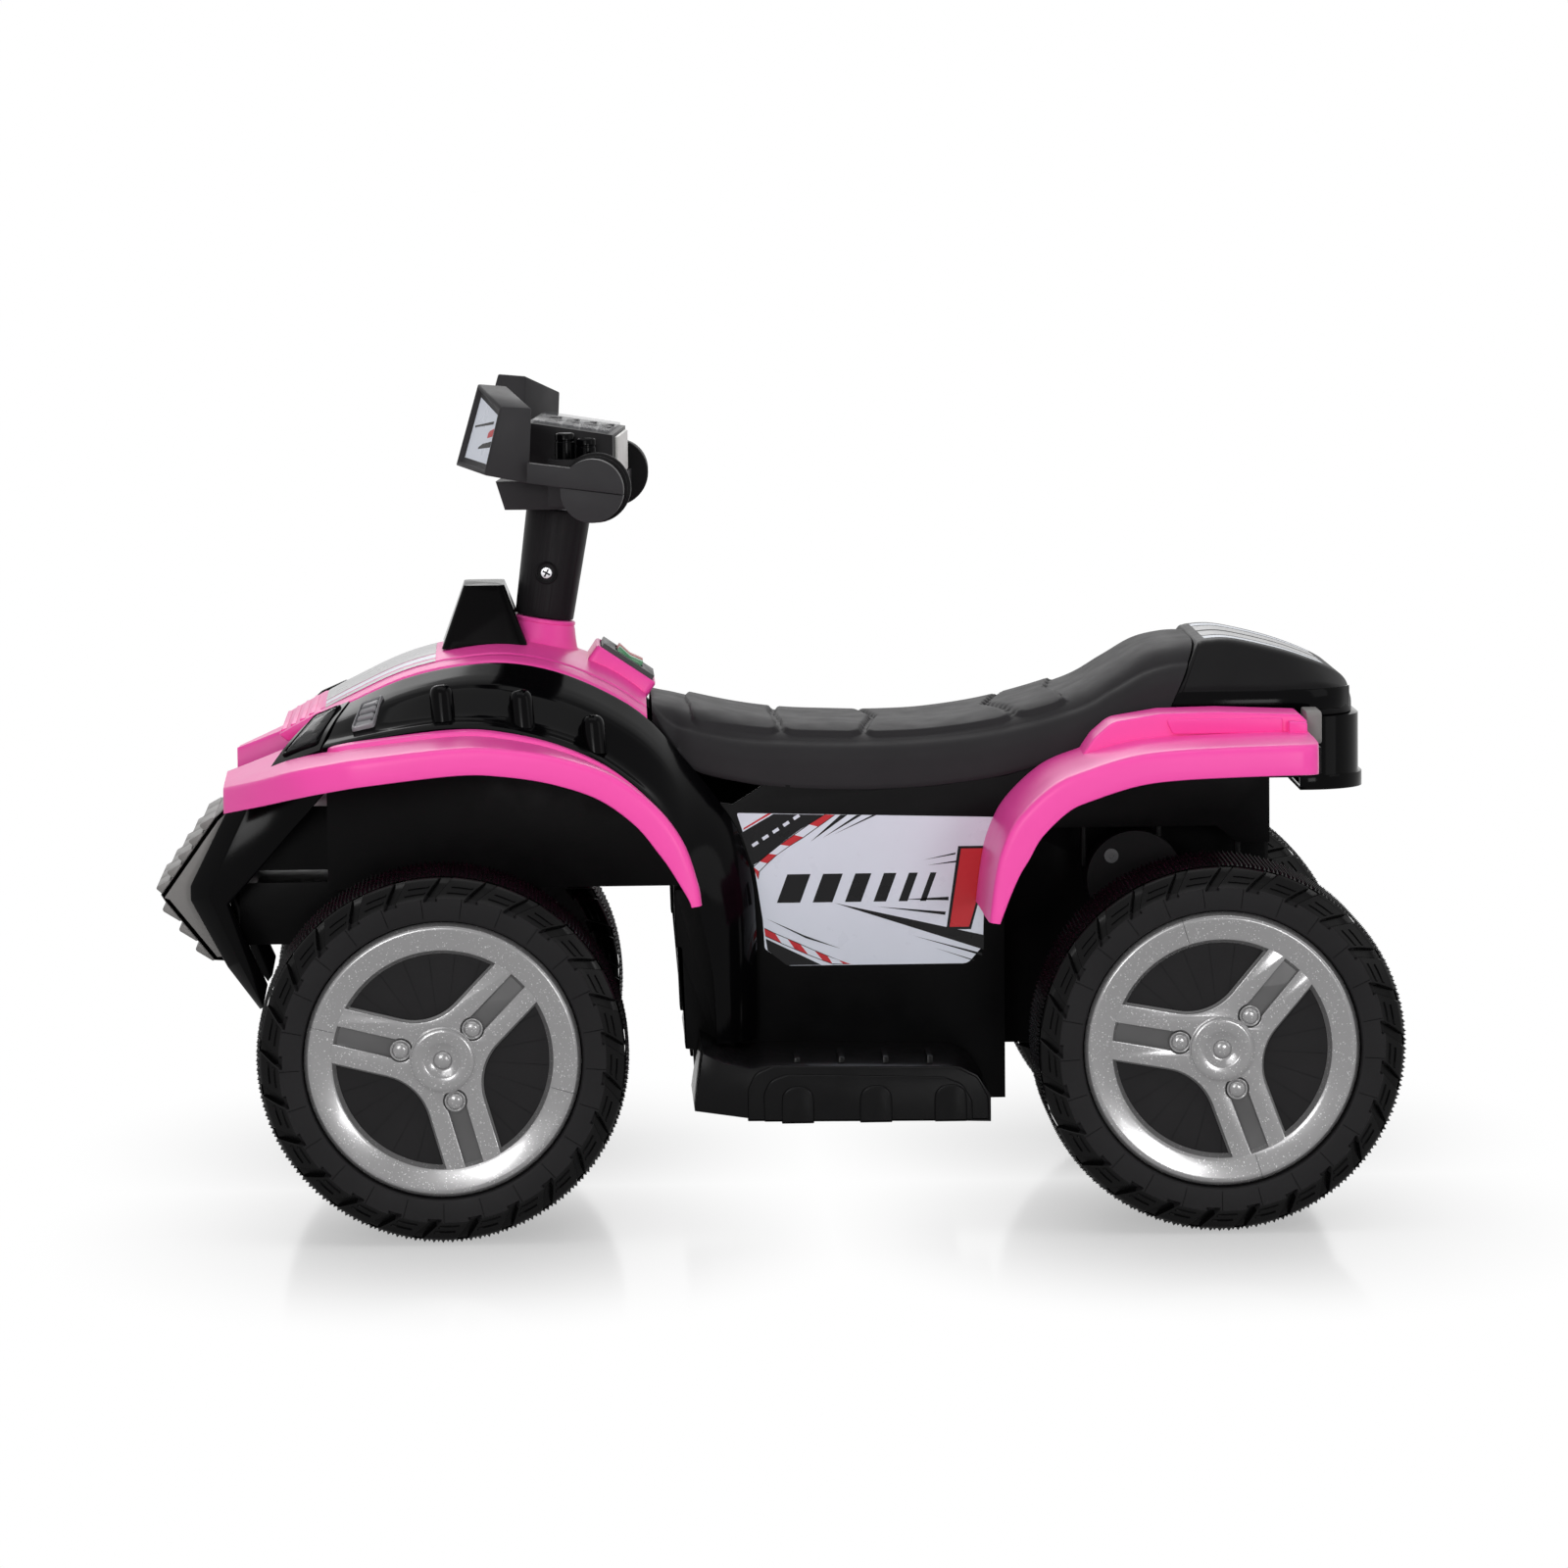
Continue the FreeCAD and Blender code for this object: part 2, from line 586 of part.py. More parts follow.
upper_room = block(TUB_FRONT_X, upper_arm_x - WALL, -ARM_HALF + WALL, ARM_HALF - WALL,
                   UPPER_ARM_Z - WALL, UPPER_ARM_Z + UPPER_ARM_HEIGHT - WALL)
pedestal_front_x = FRONT_AXLE_X + PEDESTAL_HALF_X
lower_arm_x = TUB_FRONT_X + RAIL_SPAN * LOWER_ARM_SHARE
lower_arm = block(pedestal_front_x, lower_arm_x, -ARM_HALF, ARM_HALF, LOWER_ARM_Z, TUB_FRONT_Z)
lower_room = block(pedestal_front_x + WALL, lower_arm_x - WALL, -ARM_HALF + WALL, ARM_HALF - WALL,
                   LOWER_ARM_Z - WALL, TUB_FRONT_Z - WALL)
tub = fuse(tub, upper_arm.cut(upper_room), lower_arm.cut(lower_room))
rod_hole = rod(ROD_R + RUN_FIT, on_axis(TUB_FRONT_Z - OVERRUN), on_axis(TUB_FRONT_Z + WALL + OVERRUN))
axle_hole = rod(AXLE_R, V(REAR_AXLE_X, -BODY_HALF, AXLE_Z), V(REAR_AXLE_X, BODY_HALF, AXLE_Z))
shaft_hole = rod(MOTOR_SHAFT_HOLE_R, V(MOTOR_X, 0, MOTOR_Z), V(MOTOR_X, BODY_HALF, MOTOR_Z))
tub = tub.cut([rod_hole, axle_hole, shaft_hole])
nodes["chassis_tub"] = tub

# Front cowl: crowned hood shell, steering collar and the nose plate between the headlights
hood_wires = []
for along, edge, crown, wide in HOOD_STATIONS_SHARES:
    x = HOOD_X - HOOD_LENGTH * along
    z = HOOD_Z + HOOD_RISE * edge
    half = HOOD_HALF * wide
    top = z + HOOD_CROWN * crown
    upper = Part.Arc(V(x, half, z), V(x, 0, top), V(x, -half, z)).toShape()
    lower = Part.Arc(V(x, -half, z - WALL), V(x, 0, top - WALL), V(x, half, z - WALL)).toShape()
    right_side = Part.makeLine(V(x, -half, z), V(x, -half, z - WALL))
    left_side = Part.makeLine(V(x, half, z - WALL), V(x, half, z))
    hood_wires.append(Part.Wire([upper, right_side, lower, left_side]))
hood = skin(hood_wires)
collar_foot = on_axis(COLUMN_FOOT_Z) - AXIS_DIR * COLLAR_HEIGHT
collar = Part.makeCone(COLLAR_BASE_R, COLLAR_TOP_R, COLLAR_HEIGHT, collar_foot, AXIS_DIR)
nose_x = FRONT_AXLE_X + NOSE_PLATE_TOP_X
nose_plate = prism([(nose_x, NOSE_PLATE_TOP_Z), (nose_x + NOSE_PLATE_RAKE, NOSE_PLATE_LOW_Z),
                    (nose_x + NOSE_PLATE_RAKE - NOSE_PLATE_THICK, NOSE_PLATE_LOW_Z),
                    (nose_x - NOSE_PLATE_THICK, NOSE_PLATE_TOP_Z)], -NOSE_PLATE_HALF, NOSE_PLATE_HALF)
collar_bore = rod(ROD_R + RUN_FIT, collar_foot - AXIS_DIR * OVERRUN,
                  on_axis(COLUMN_FOOT_Z) + AXIS_DIR * OVERRUN)
cowl = fuse(hood, collar, nose_plate).cut(collar_bore)
nodes["front_cowl"] = cowl

# Front fender: skirt and flange lofted along the arch, with its deck beside the nose plate
arch_shares = finer([point + (wide, drop, dish) for point, wide, drop, dish in zip(
    FENDER_CREASE_SHARES, FENDER_WIDTH_SHARES, FENDER_SKIRT_SHARES, FENDER_DISH_SHARES)])
crease = outline(FENDER_X, -FENDER_LENGTH, FENDER_Z, FENDER_RISE, [row[:2] for row in arch_shares])
arch_sections = []
deck_sections = []
flange_y = BODY_HALF + SEAM
for (x, z), (nx, nz), (_, _, wide, drop, dish) in zip(crease, normals(crease), arch_shares):
    outer = FENDER_HALF * min(wide, 1)
    skirt = FENDER_SKIRT * drop
    rise = FENDER_DISH * dish
    arch = [(flange_y, rise), (outer, 0.0), (outer, -skirt), (outer - WALL, -skirt), (outer - WALL, -WALL),
            (flange_y, rise - WALL)]
    deck = [(NOSE_DECK_INNER, rise), (flange_y, rise), (flange_y, rise - WALL),
            (NOSE_DECK_INNER, rise - WALL)]
    arch_sections.append([V(x + nx * n, y, z + nz * n) for y, n in arch])
    deck_sections.append([V(x + nx * n, y, z + nz * n) for y, n in deck])
fender = fuse(loft(arch_sections, True), loft(deck_sections[:NOSE_DECK_STATIONS], True))
nodes["left_front_fender"] = fender

# Front shroud: bulged strip between hood edge and fender, plus the hollow leg
strip_top = outline(HOOD_X, -HOOD_LENGTH, HOOD_Z, HOOD_RISE, STRIP_TOP_SHARES)
strip_low = outline(FENDER_X, -FENDER_LENGTH, FENDER_Z, FENDER_RISE, STRIP_LOW_SHARES)


def strip_section(top, top_y, low, low_y):
    """Closed section from the hood edge out and down to the fender, bulged outward."""
    middle = V((top[0] + low[0]) / 2, (top_y + low_y) / 2 + STRIP_BULGE / 2,
               (top[1] + low[1]) / 2 + STRIP_BULGE)
    first = V(top[0], top_y, top[1])
    last = V(low[0], low_y, low[1])
    chord = last - first
    swell = middle - (first + last) * 0.5
    swell = swell - chord * (swell.dot(chord) / chord.dot(chord))
    inward = swell.normalize() * -STRIP_EDGE
    ends = [first, last, last + inward, first + inward]
    return Part.Wire([Part.Arc(first, middle, last).toShape(), Part.makeLine(ends[1], ends[2]),
                      Part.Arc(ends[2], middle + inward, ends[3]).toShape(), Part.makeLine(ends[3], ends[0])])


strip_wires = [strip_section(top, HOOD_HALF * share + SEAM, low, STRIP_HALF)
               for top, low, share in zip(strip_top, strip_low, STRIP_TOP_HALF_SHARES)]
strip = skin(strip_wires)
leg_x = FRONT_AXLE_X - LEG_SETBACK
leg_points = outline(leg_x, LEG_SPAN, LEG_Z, LEG_RISE, LEG_SHARES)
leg = prism(leg_points, BODY_HALF + SEAM, LEG_HALF)
leg = leg.cut(inset_prism(leg_points, WALL, BODY_HALF + SEAM - WALL, LEG_HALF - WALL))
shroud = largest(strip.fuse(leg).cut([fender, cowl]))
nodes["left_front_shroud"] = shroud

# Headlight: the glass that continues the strip round the nose
light_top = outline(HOOD_X, -HOOD_LENGTH, HOOD_Z, HOOD_RISE, [LIGHT_TOP_SHARES])[0]
light_low = outline(FENDER_X, -FENDER_LENGTH, FENDER_Z, FENDER_RISE, [LIGHT_LOW_SHARES])[0]
joint_top = (strip_top[0][0] + LIGHT_GAP, strip_top[0][1])
joint_low = (strip_low[0][0] + LIGHT_GAP, strip_low[0][1])
headlight = skin([
    strip_section(light_top, HOOD_HALF * LIGHT_TOP_HALF_SHARE, light_low, STRIP_HALF * LIGHT_LOW_HALF_SHARE),
    strip_section(joint_top, HOOD_HALF + SEAM, joint_low, STRIP_HALF)], True)
nodes["left_headlight"] = largest(headlight.cut([fender, cowl]))

# Rear fender with its raised ledge
rear_fender_x = REAR_AXLE_X + REAR_FENDER_LEAD
rear_shares = finer([point + (drop,) for point, drop in zip(REAR_CREASE_SHARES, REAR_SKIRT_SHARES)])
rear_crease = outline(rear_fender_x, -REAR_FENDER_LENGTH, REAR_FENDER_Z, REAR_FENDER_RISE,
                      [row[:2] for row in rear_shares])
rear_sections = []
for (x, z), (nx, nz), (_, _, drop) in zip(rear_crease, normals(rear_crease), rear_shares):
    skirt = REAR_FENDER_SKIRT * drop
    arch = [(flange_y, REAR_FENDER_DISH), (REAR_FENDER_HALF, 0.0), (REAR_FENDER_HALF, -skirt),
            (REAR_FENDER_HALF - WALL, -skirt), (REAR_FENDER_HALF - WALL, -WALL),
            (flange_y, REAR_FENDER_DISH - WALL)]
    rear_sections.append([V(x + nx * n, y, z + nz * n) for y, n in arch])
ledge_points = outline(rear_fender_x, -REAR_FENDER_LENGTH, REAR_FENDER_Z, REAR_FENDER_RISE, LEDGE_SHARES)
ledge = prism(ledge_points, BODY_HALF + SEAM, LEDGE_HALF)
nodes["left_rear_fender"] = fuse(loft(rear_sections, True), ledge)

# Seat: a moulded shell whose rim follows the tub
seat_outer = []
seat_inner = []
for along, wide, rim, shoulder, top, lean in SEAT_STATIONS_SHARES:
    half = BODY_HALF * wide
    levels = [(half, rim), (half, shoulder), (half * SEAT_FLAT_SHARE, top)]
    ring = []
    core = []
    for y, share in levels + [(-y, share) for y, share in levels[::-1]]:
        drop = (OVERRUN if share == rim else SEAT_WALL) / SEAT_RISE
        for points, inward, level in ((ring, 0.0, share), (core, math.copysign(SEAT_WALL, y), share - drop)):
            x = SEAT_X - SEAT_LENGTH * along - SEAT_LEAN * lean * (level - rim) / (top - rim)
            points.append(V(x, y - inward, SEAT_Z + SEAT_RISE * level))
    seat_outer.append(ring)
    seat_inner.append(core)
seat_room = loft(seat_inner[1:-1])
under_seat = prism([(x, z + SEAM) for x, z in tub_profile], -BODY_HALF - OVERRUN, BODY_HALF + OVERRUN)
seat = largest(loft(seat_outer).cut([seat_room, under_seat]))
nodes["seat"] = seat

# Tail cover behind the slanted seat seam, and the rear panel below it
tail_outer = []
tail_inner = []
for along, wide, shoulder, top, lean in TAIL_STATIONS_SHARES:
    half = TAIL_HALF * wide
    levels = [(half, 0.0), (half, shoulder), (half * TAIL_FLAT_SHARE, top)]
    ring = []
    core = []
    for y, share in levels + [(-y, share) for y, share in levels[::-1]]:
        drop = (WALL if share else OVERRUN) / TAIL_RISE
        for points, inward, level in ((ring, 0.0, share), (core, math.copysign(WALL, y), share - drop)):
            x = SEAT_END_X - SEAM * 2 - TAIL_LENGTH * along - SEAT_LEAN * lean * level
            points.append(V(x, y - inward, DECK_Z + SEAM + TAIL_RISE * level))
    tail_outer.append(ring)
    tail_inner.append(core)
tail_x = SEAT_END_X - SEAM * 2 - TAIL_LENGTH
tail_top = DECK_Z + TAIL_RISE * 2


def bowed(x0, x1, half, z0, z1, radius):
    """Block across the bike with its two upright rear edges rounded."""
    shape = block(x0, x1, -half, half, z0, z1)
    upright = [edge for edge in shape.Edges
               if edge.BoundBox.XMax < x0 + SEAM and edge.BoundBox.YLength < SEAM]
    return shape.makeFillet(radius, upright)


tail_plan = bowed(tail_x, SEAT_END_X + OVERRUN, TAIL_HALF + SEAM, DECK_Z, tail_top, TAIL_ROUND)
tail_core_plan = bowed(tail_x + WALL, SEAT_END_X + OVERRUN, TAIL_HALF - WALL, DECK_Z - OVERRUN, tail_top,
                       TAIL_ROUND - WALL)
tail = loft(tail_outer).common(tail_plan).cut(loft(tail_inner[1:-1]).common(tail_core_plan))
nodes["tail_cover"] = largest(tail)
panel_x = REAR_AXLE_X - REAR_PANEL_REACH
panel_low_z = DECK_Z - REAR_PANEL_HEIGHT
panel = bowed(panel_x - REAR_PANEL_DEPTH, panel_x, REAR_PANEL_HALF, panel_low_z, DECK_Z, REAR_PANEL_ROUND)
panel_room = bowed(panel_x - REAR_PANEL_DEPTH + WALL, panel_x + WALL, REAR_PANEL_HALF - WALL,
                   panel_low_z + WALL, DECK_Z - WALL, REAR_PANEL_ROUND - WALL)
lip = bowed(panel_x - REAR_PANEL_DEPTH - REAR_PANEL_LIP_OUT, panel_x, REAR_PANEL_HALF, panel_low_z,
            panel_low_z + REAR_PANEL_LIP, REAR_PANEL_ROUND)
nodes["rear_panel"] = fuse(panel, lip).cut(panel_room)
light = block(panel_x - SEAM - TAIL_LIGHT_DEPTH, panel_x - SEAM, REAR_PANEL_HALF + SEAM,
              REAR_PANEL_HALF + SEAM + TAIL_LIGHT_WIDTH, TAIL_LIGHT_Z, TAIL_LIGHT_Z + TAIL_LIGHT_HEIGHT)
upright = [edge for edge in light.Edges if abs(edge.tangentAt(edge.FirstParameter).x) > SEAM]
nodes["left_tail_light"] = light.makeFillet(TAIL_LIGHT_ROUND, upright)

# Bumper rails, and between them the skid plate with a flange along each rail
rail_points = outline(TUB_FRONT_X, RAIL_SPAN, RAIL_Z, RAIL_RISE, RAIL_SHARES)
rail = prism(rail_points, RAIL_INNER, RAIL_INNER + RAIL_WIDTH)
skid_points = outline(NOSE_X - SKID_SPAN, SKID_SPAN, SKID_Z, SKID_RISE, SKID_SHARES)
skid_back = [(x - SKID_THICK, z) for x, z in skid_points[::-1]]
skid = prism(skid_points + skid_back, -SKID_HALF, SKID_HALF)
flange_points = skid_points + [(x - SKID_FLANGE_LAP, z) for x, z in rail_points[3::-1]]
flange = prism(flange_points, SKID_HALF - SKID_FLANGE_THICK, SKID_HALF)
nodes["skid_plate"] = fuse(skid, flange, mirror(flange))
bridge_x = rail_points[6][0] - WALL
bridge = block(bridge_x - RAIL_WIDTH, bridge_x, -RAIL_INNER - WALL, RAIL_INNER + WALL, TUB_FRONT_Z + WALL,
               UPPER_ARM_Z - SEAM)
nodes["front_bumper"] = fuse(rail, mirror(rail), bridge)

# Footboard: a tray turned upside down, with three arched pads on its skirt and ribs on its top
board_x = FRONT_AXLE_X - BOARD_SETBACK
board_points = outline(board_x, -BOARD_LENGTH, BOARD_Z, BOARD_RISE, BOARD_SHARES)
board = prism(board_points, BODY_HALF + SEAM, BOARD_HALF)
board_room = inset_prism(board_points, WALL, BODY_HALF + SEAM + WALL, BOARD_HALF - WALL)
board_floor = prism([(x, z - WALL - SEAM) for x, z in board_points[:3]] +
                    [(x, z + WALL + SEAM) for x, z in board_points[2::-1]], BODY_HALF + SEAM + WALL,
                    BOARD_HALF - WALL)
board_ends = block(board_x - BOARD_LENGTH + WALL, board_x - WALL, BODY_HALF + SEAM + WALL, BOARD_HALF - WALL,
                   BOARD_Z - WALL, BOARD_Z + BOARD_RISE)
board = board.cut([board_room, board_floor.common(board_ends)])
extras = []
for share in BOARD_PAD_SHARES:
    x = board_x - BOARD_LENGTH * share
    cap_z = BOARD_Z + WALL + BOARD_PAD_HEIGHT - BOARD_PAD_WIDTH / 2
    pad = block(x - BOARD_PAD_WIDTH / 2, x + BOARD_PAD_WIDTH / 2, BOARD_HALF - WALL,
                BOARD_HALF + BOARD_PAD_PROUD, BOARD_Z + WALL, cap_z)
    cap = rod(BOARD_PAD_WIDTH / 2, V(x, BOARD_HALF - WALL, cap_z), V(x, BOARD_HALF + BOARD_PAD_PROUD, cap_z))
    extras += [pad, cap]
board_top_z = BOARD_Z + BOARD_RISE * BOARD_SHARES[5][1]
for share in BOARD_RIB_SHARES:
    x = board_x - BOARD_LENGTH * share
    extras.append(block(x - BOARD_RIB_WIDTH / 2, x + BOARD_RIB_WIDTH / 2, LEG_HALF + BOARD_RIB_INSET,
                        BOARD_HALF - BOARD_RIB_INSET, board_top_z - WALL / 2,
                        board_top_z + BOARD_RIB_HEIGHT * 2))
board = fuse(board, *extras)
nodes["left_footboard"] = board

# Side decal on the tub
decal_points = outline(FRONT_AXLE_X - DECAL_SETBACK, -DECAL_LENGTH, DECAL_Z, DECAL_HEIGHT, DECAL_SHARES)
nodes["left_side_decal"] = prism(decal_points, BODY_HALF, BODY_HALF + DECAL_THICK)

# Intake cover: a rounded frustum scooped out for the column
intake_x = COLUMN_X + COLUMN_FOOT_R - COLLAR_TOP_R / 2 + INTAKE_BASE_LEAD


def rectangle(x0, length, half, z):
    return [V(x0, -half, z), V(x0 + length, -half, z), V(x0 + length, half, z), V(x0, half, z)]


intake = loft([rectangle(intake_x, INTAKE_BASE_LENGTH, INTAKE_BASE_HALF, INTAKE_FOOT_Z),
               rectangle(intake_x + INTAKE_TOP_LEAD, INTAKE_TOP_LENGTH, INTAKE_TOP_HALF, INTAKE_TOP_Z)], True)
intake = intake.makeFillet(INTAKE_ROUND, [e for e in intake.Edges if e.BoundBox.ZLength > COLUMN_FOOT_R])
column_room = rod(COLLAR_BASE_R + INTAKE_CLEAR, on_axis(INTAKE_FOOT_Z - OVERRUN),
                  on_axis(INTAKE_TOP_Z + OVERRUN))
intake_parts = intake.cut([cowl, column_room]).Solids
nodes["intake_cover"] = max(intake_parts, key=lambda solid: solid.BoundBox.ZMax)

# Switch console and its two rockers
console_x = FRONT_AXLE_X - CONSOLE_SETBACK
slope = FreeCAD.Placement(V(console_x, 0, CONSOLE_Z), FreeCAD.Rotation(V(0, 1, 0), -CONSOLE_SLOPE_DEG))
console = block(-CONSOLE_LENGTH / 2, CONSOLE_LENGTH / 2, -CONSOLE_HALF, CONSOLE_HALF, -CONSOLE_DEPTH,
                CONSOLE_PROUD)
pivot_z = CONSOLE_PROUD - ROCKER_DEPTH / 2
for side in (1, -1):
    y = ROCKER_Y * side
    reach = ROCKER_HALF + ROCKER_CLEAR / 2
    well_x = ROCKER_LENGTH / 2 + ROCKER_CLEAR
    console = console.cut(block(-well_x, well_x, y - reach, y + reach, CONSOLE_PROUD - ROCKER_DEPTH,
                                CONSOLE_PROUD + OVERRUN))
    pin_reach = ROCKER_HALF + ROCKER_PIN_REACH + ROCKER_PIN_FREE
    pin_hole = rod(ROCKER_PIN_R + RUN_FIT, V(0, y - pin_reach, pivot_z), V(0, y + pin_reach, pivot_z))
    console = console.cut(pin_hole)
console.Placement = slope
console = max(console.cut(cowl).Solids, key=lambda solid: solid.BoundBox.ZMax)
nodes["switch_base"] = console
for name, side in (("power_rocker", -1), ("direction_rocker", 1)):
    y = ROCKER_Y * side
    wings = prism([(-ROCKER_LENGTH / 2, CONSOLE_PROUD + ROCKER_PROUD),
                   (0.0, CONSOLE_PROUD + ROCKER_PROUD / 2),
                   (ROCKER_LENGTH / 2, CONSOLE_PROUD + ROCKER_PROUD), (ROCKER_LENGTH / 2, pivot_z),
                   (0.0, CONSOLE_PROUD - ROCKER_DEPTH + SEAM), (-ROCKER_LENGTH / 2, pivot_z)],
                  y - ROCKER_HALF, y + ROCKER_HALF)
    pin_reach = ROCKER_HALF + ROCKER_PIN_REACH
    pin = rod(ROCKER_PIN_R, V(0, y - pin_reach, pivot_z), V(0, y + pin_reach, pivot_z))
    rocker = fuse(wings, pin)
    rocker.Placement = slope
    nodes[name] = rocker

# Steering rod with its crank, column, and the tie rod
crank_top = on_axis(CRANK_Z)
rod_top = on_axis(ROD_TOP_Z)
steering_rod = rod(ROD_R, crank_top, rod_top)
across = V(0, 1, 0)
aft = across.cross(AXIS_DIR).normalize() * -1.0
crank_hub = rod(CRANK_HUB_R, crank_top, crank_top + AXIS_DIR * CRANK_THICK)
pin_top = crank_top + aft * CRANK_REACH
crank_tip = rod(LINK_PIN_R * 2, pin_top, pin_top + AXIS_DIR * CRANK_THICK)
plate_points = [crank_top + across * LINK_PIN_R * 2, crank_top - across * LINK_PIN_R * 2,
                pin_top - across * LINK_PIN_R * 2, pin_top + across * LINK_PIN_R * 2]
plate = Part.Face(Part.makePolygon(plate_points + plate_points[:1])).extrude(AXIS_DIR * CRANK_THICK)
pin_low = pin_top - AXIS_DIR * (CRANK_Z - TIE_Z + WALL)
crank_pin = rod(LINK_PIN_R, pin_low, pin_top + AXIS_DIR * CRANK_THICK)
nodes["steering_rod"] = fuse(steering_rod, crank_hub, plate, crank_tip, crank_pin)
column_foot = on_axis(COLUMN_FOOT_Z) + AXIS_DIR * COLUMN_GAP
column = Part.makeCone(COLUMN_FOOT_R, COLUMN_TOP_R, COLUMN_LENGTH, column_foot, AXIS_DIR)
rod_sleeve = rod(ROD_R, column_foot - AXIS_DIR * OVERRUN, rod_top + AXIS_DIR * OVERRUN)

pin_x = pin_top.x + (pin_top.z - TIE_Z) * math.tan(math.radians(COLUMN_RAKE_DEG))
arm_pin_x = FRONT_AXLE_X - ARM_LENGTH
tie_half = KINGPIN_Y + LINK_PIN_R + LINK_SLACK + TIE_END_LAND
tie = block(FRONT_AXLE_X - TIE_REAR, FRONT_AXLE_X - TIE_FRONT, -tie_half, tie_half, TIE_Z, TIE_Z + TIE_THICK)
tab = block(FRONT_AXLE_X - TIE_TAB_REACH, FRONT_AXLE_X - TIE_REAR + WALL, -TIE_TAB_HALF, TIE_TAB_HALF, TIE_Z,
            TIE_Z + TIE_THICK)
slots = []
for x, y in ((arm_pin_x, KINGPIN_Y), (arm_pin_x, -KINGPIN_Y), (pin_x, 0.0)):
    wide = LINK_PIN_R + LINK_SLACK
    slots.append(block(x - SLOT_AFT, x + SLOT_FORE, y - wide, y + wide, TIE_Z - OVERRUN,
                       TIE_Z + TIE_THICK + OVERRUN))
nodes["tie_rod"] = fuse(tie, tab).cut(slots)

# Front axle beam with a fork at each end
fork_low = AXLE_Z - FORK_HALF
fork_high = AXLE_Z + FORK_HALF
beam_x0 = FRONT_AXLE_X - BEAM_HALF_X
beam_x1 = FRONT_AXLE_X + BEAM_HALF_X
web_outer = KINGPIN_Y - BARREL_R - SEAM * 2
web_inner = web_outer - BEAM_WEB
ear_outer = KINGPIN_Y + BARREL_R
beam = block(beam_x0, beam_x1, -web_outer, web_outer, AXLE_Z - BEAM_HALF_Z, AXLE_Z + BEAM_HALF_Z)
pieces = [block(FRONT_AXLE_X - PEDESTAL_HALF_X, FRONT_AXLE_X + PEDESTAL_HALF_X, -PEDESTAL_HALF_Y,
                PEDESTAL_HALF_Y,
                AXLE_Z, TUB_FRONT_Z)]
for side in (1, -1):
    y0, y1 = sorted((web_inner * side, web_outer * side))
    e0, e1 = sorted((web_inner * side, ear_outer * side))
    pieces.append(block(beam_x0, beam_x1, y0, y1, fork_low, fork_high))
    pieces.append(block(beam_x0, beam_x1, e0, e1, fork_low, fork_low + EAR_THICK))
    pieces.append(block(beam_x0, beam_x1, e0, e1, fork_high - EAR_THICK, fork_high))
pin_holes = [rod(KINGPIN_R + RUN_FIT, V(FRONT_AXLE_X, y, 0), V(FRONT_AXLE_X, y, TUB_FRONT_Z))
             for y in (KINGPIN_Y, -KINGPIN_Y)]
nodes["front_axle_beam"] = fuse(beam, *pieces).cut(pin_holes)

# Left knuckle: kingpin, barrel, stub axle with its head, and the steering arm
barrel = rod(BARREL_R, V(FRONT_AXLE_X, KINGPIN_Y, fork_low + EAR_THICK + FORK_GAP),
             V(FRONT_AXLE_X, KINGPIN_Y, fork_high - EAR_THICK - FORK_GAP))
kingpin = rod(KINGPIN_R, V(FRONT_AXLE_X, KINGPIN_Y, fork_low), V(FRONT_AXLE_X, KINGPIN_Y, fork_high))
recess_y = WHEEL_Y + TYRE_HALF * TYRE_OUTER_SHARES[-1][1]
head_y = recess_y - HEAD_WELL_DEPTH + HEAD_GAP
tyre_inner_y = WHEEL_Y - TYRE_HALF
stub = rod(STUB_R, V(FRONT_AXLE_X, KINGPIN_Y, AXLE_Z), V(FRONT_AXLE_X, head_y + STUB_HEAD_THICK, AXLE_Z))
stub_head = rod(STUB_HEAD_R, V(FRONT_AXLE_X, head_y, AXLE_Z),
                V(FRONT_AXLE_X, head_y + STUB_HEAD_THICK, AXLE_Z))
stub_collar = rod(STUB_COLLAR_R, V(FRONT_AXLE_X, KINGPIN_Y, AXLE_Z),
                  V(FRONT_AXLE_X, tyre_inner_y - STUB_COLLAR_GAP, AXLE_Z))
arm = block(arm_pin_x, FRONT_AXLE_X, KINGPIN_Y - ARM_HALF_WIDTH, KINGPIN_Y + ARM_HALF_WIDTH, ARM_Z,
            ARM_Z + ARM_THICK)
arm_end = rod(LINK_PIN_R * 2, V(arm_pin_x, KINGPIN_Y, ARM_Z), V(arm_pin_x, KINGPIN_Y, ARM_Z + ARM_THICK))
arm_pin = rod(LINK_PIN_R, V(arm_pin_x, KINGPIN_Y, ARM_Z), V(arm_pin_x, KINGPIN_Y, TIE_Z + TIE_THICK + WALL))
nodes["left_knuckle"] = fuse(barrel, kingpin, stub, stub_head, stub_collar, arm, arm_end, arm_pin)

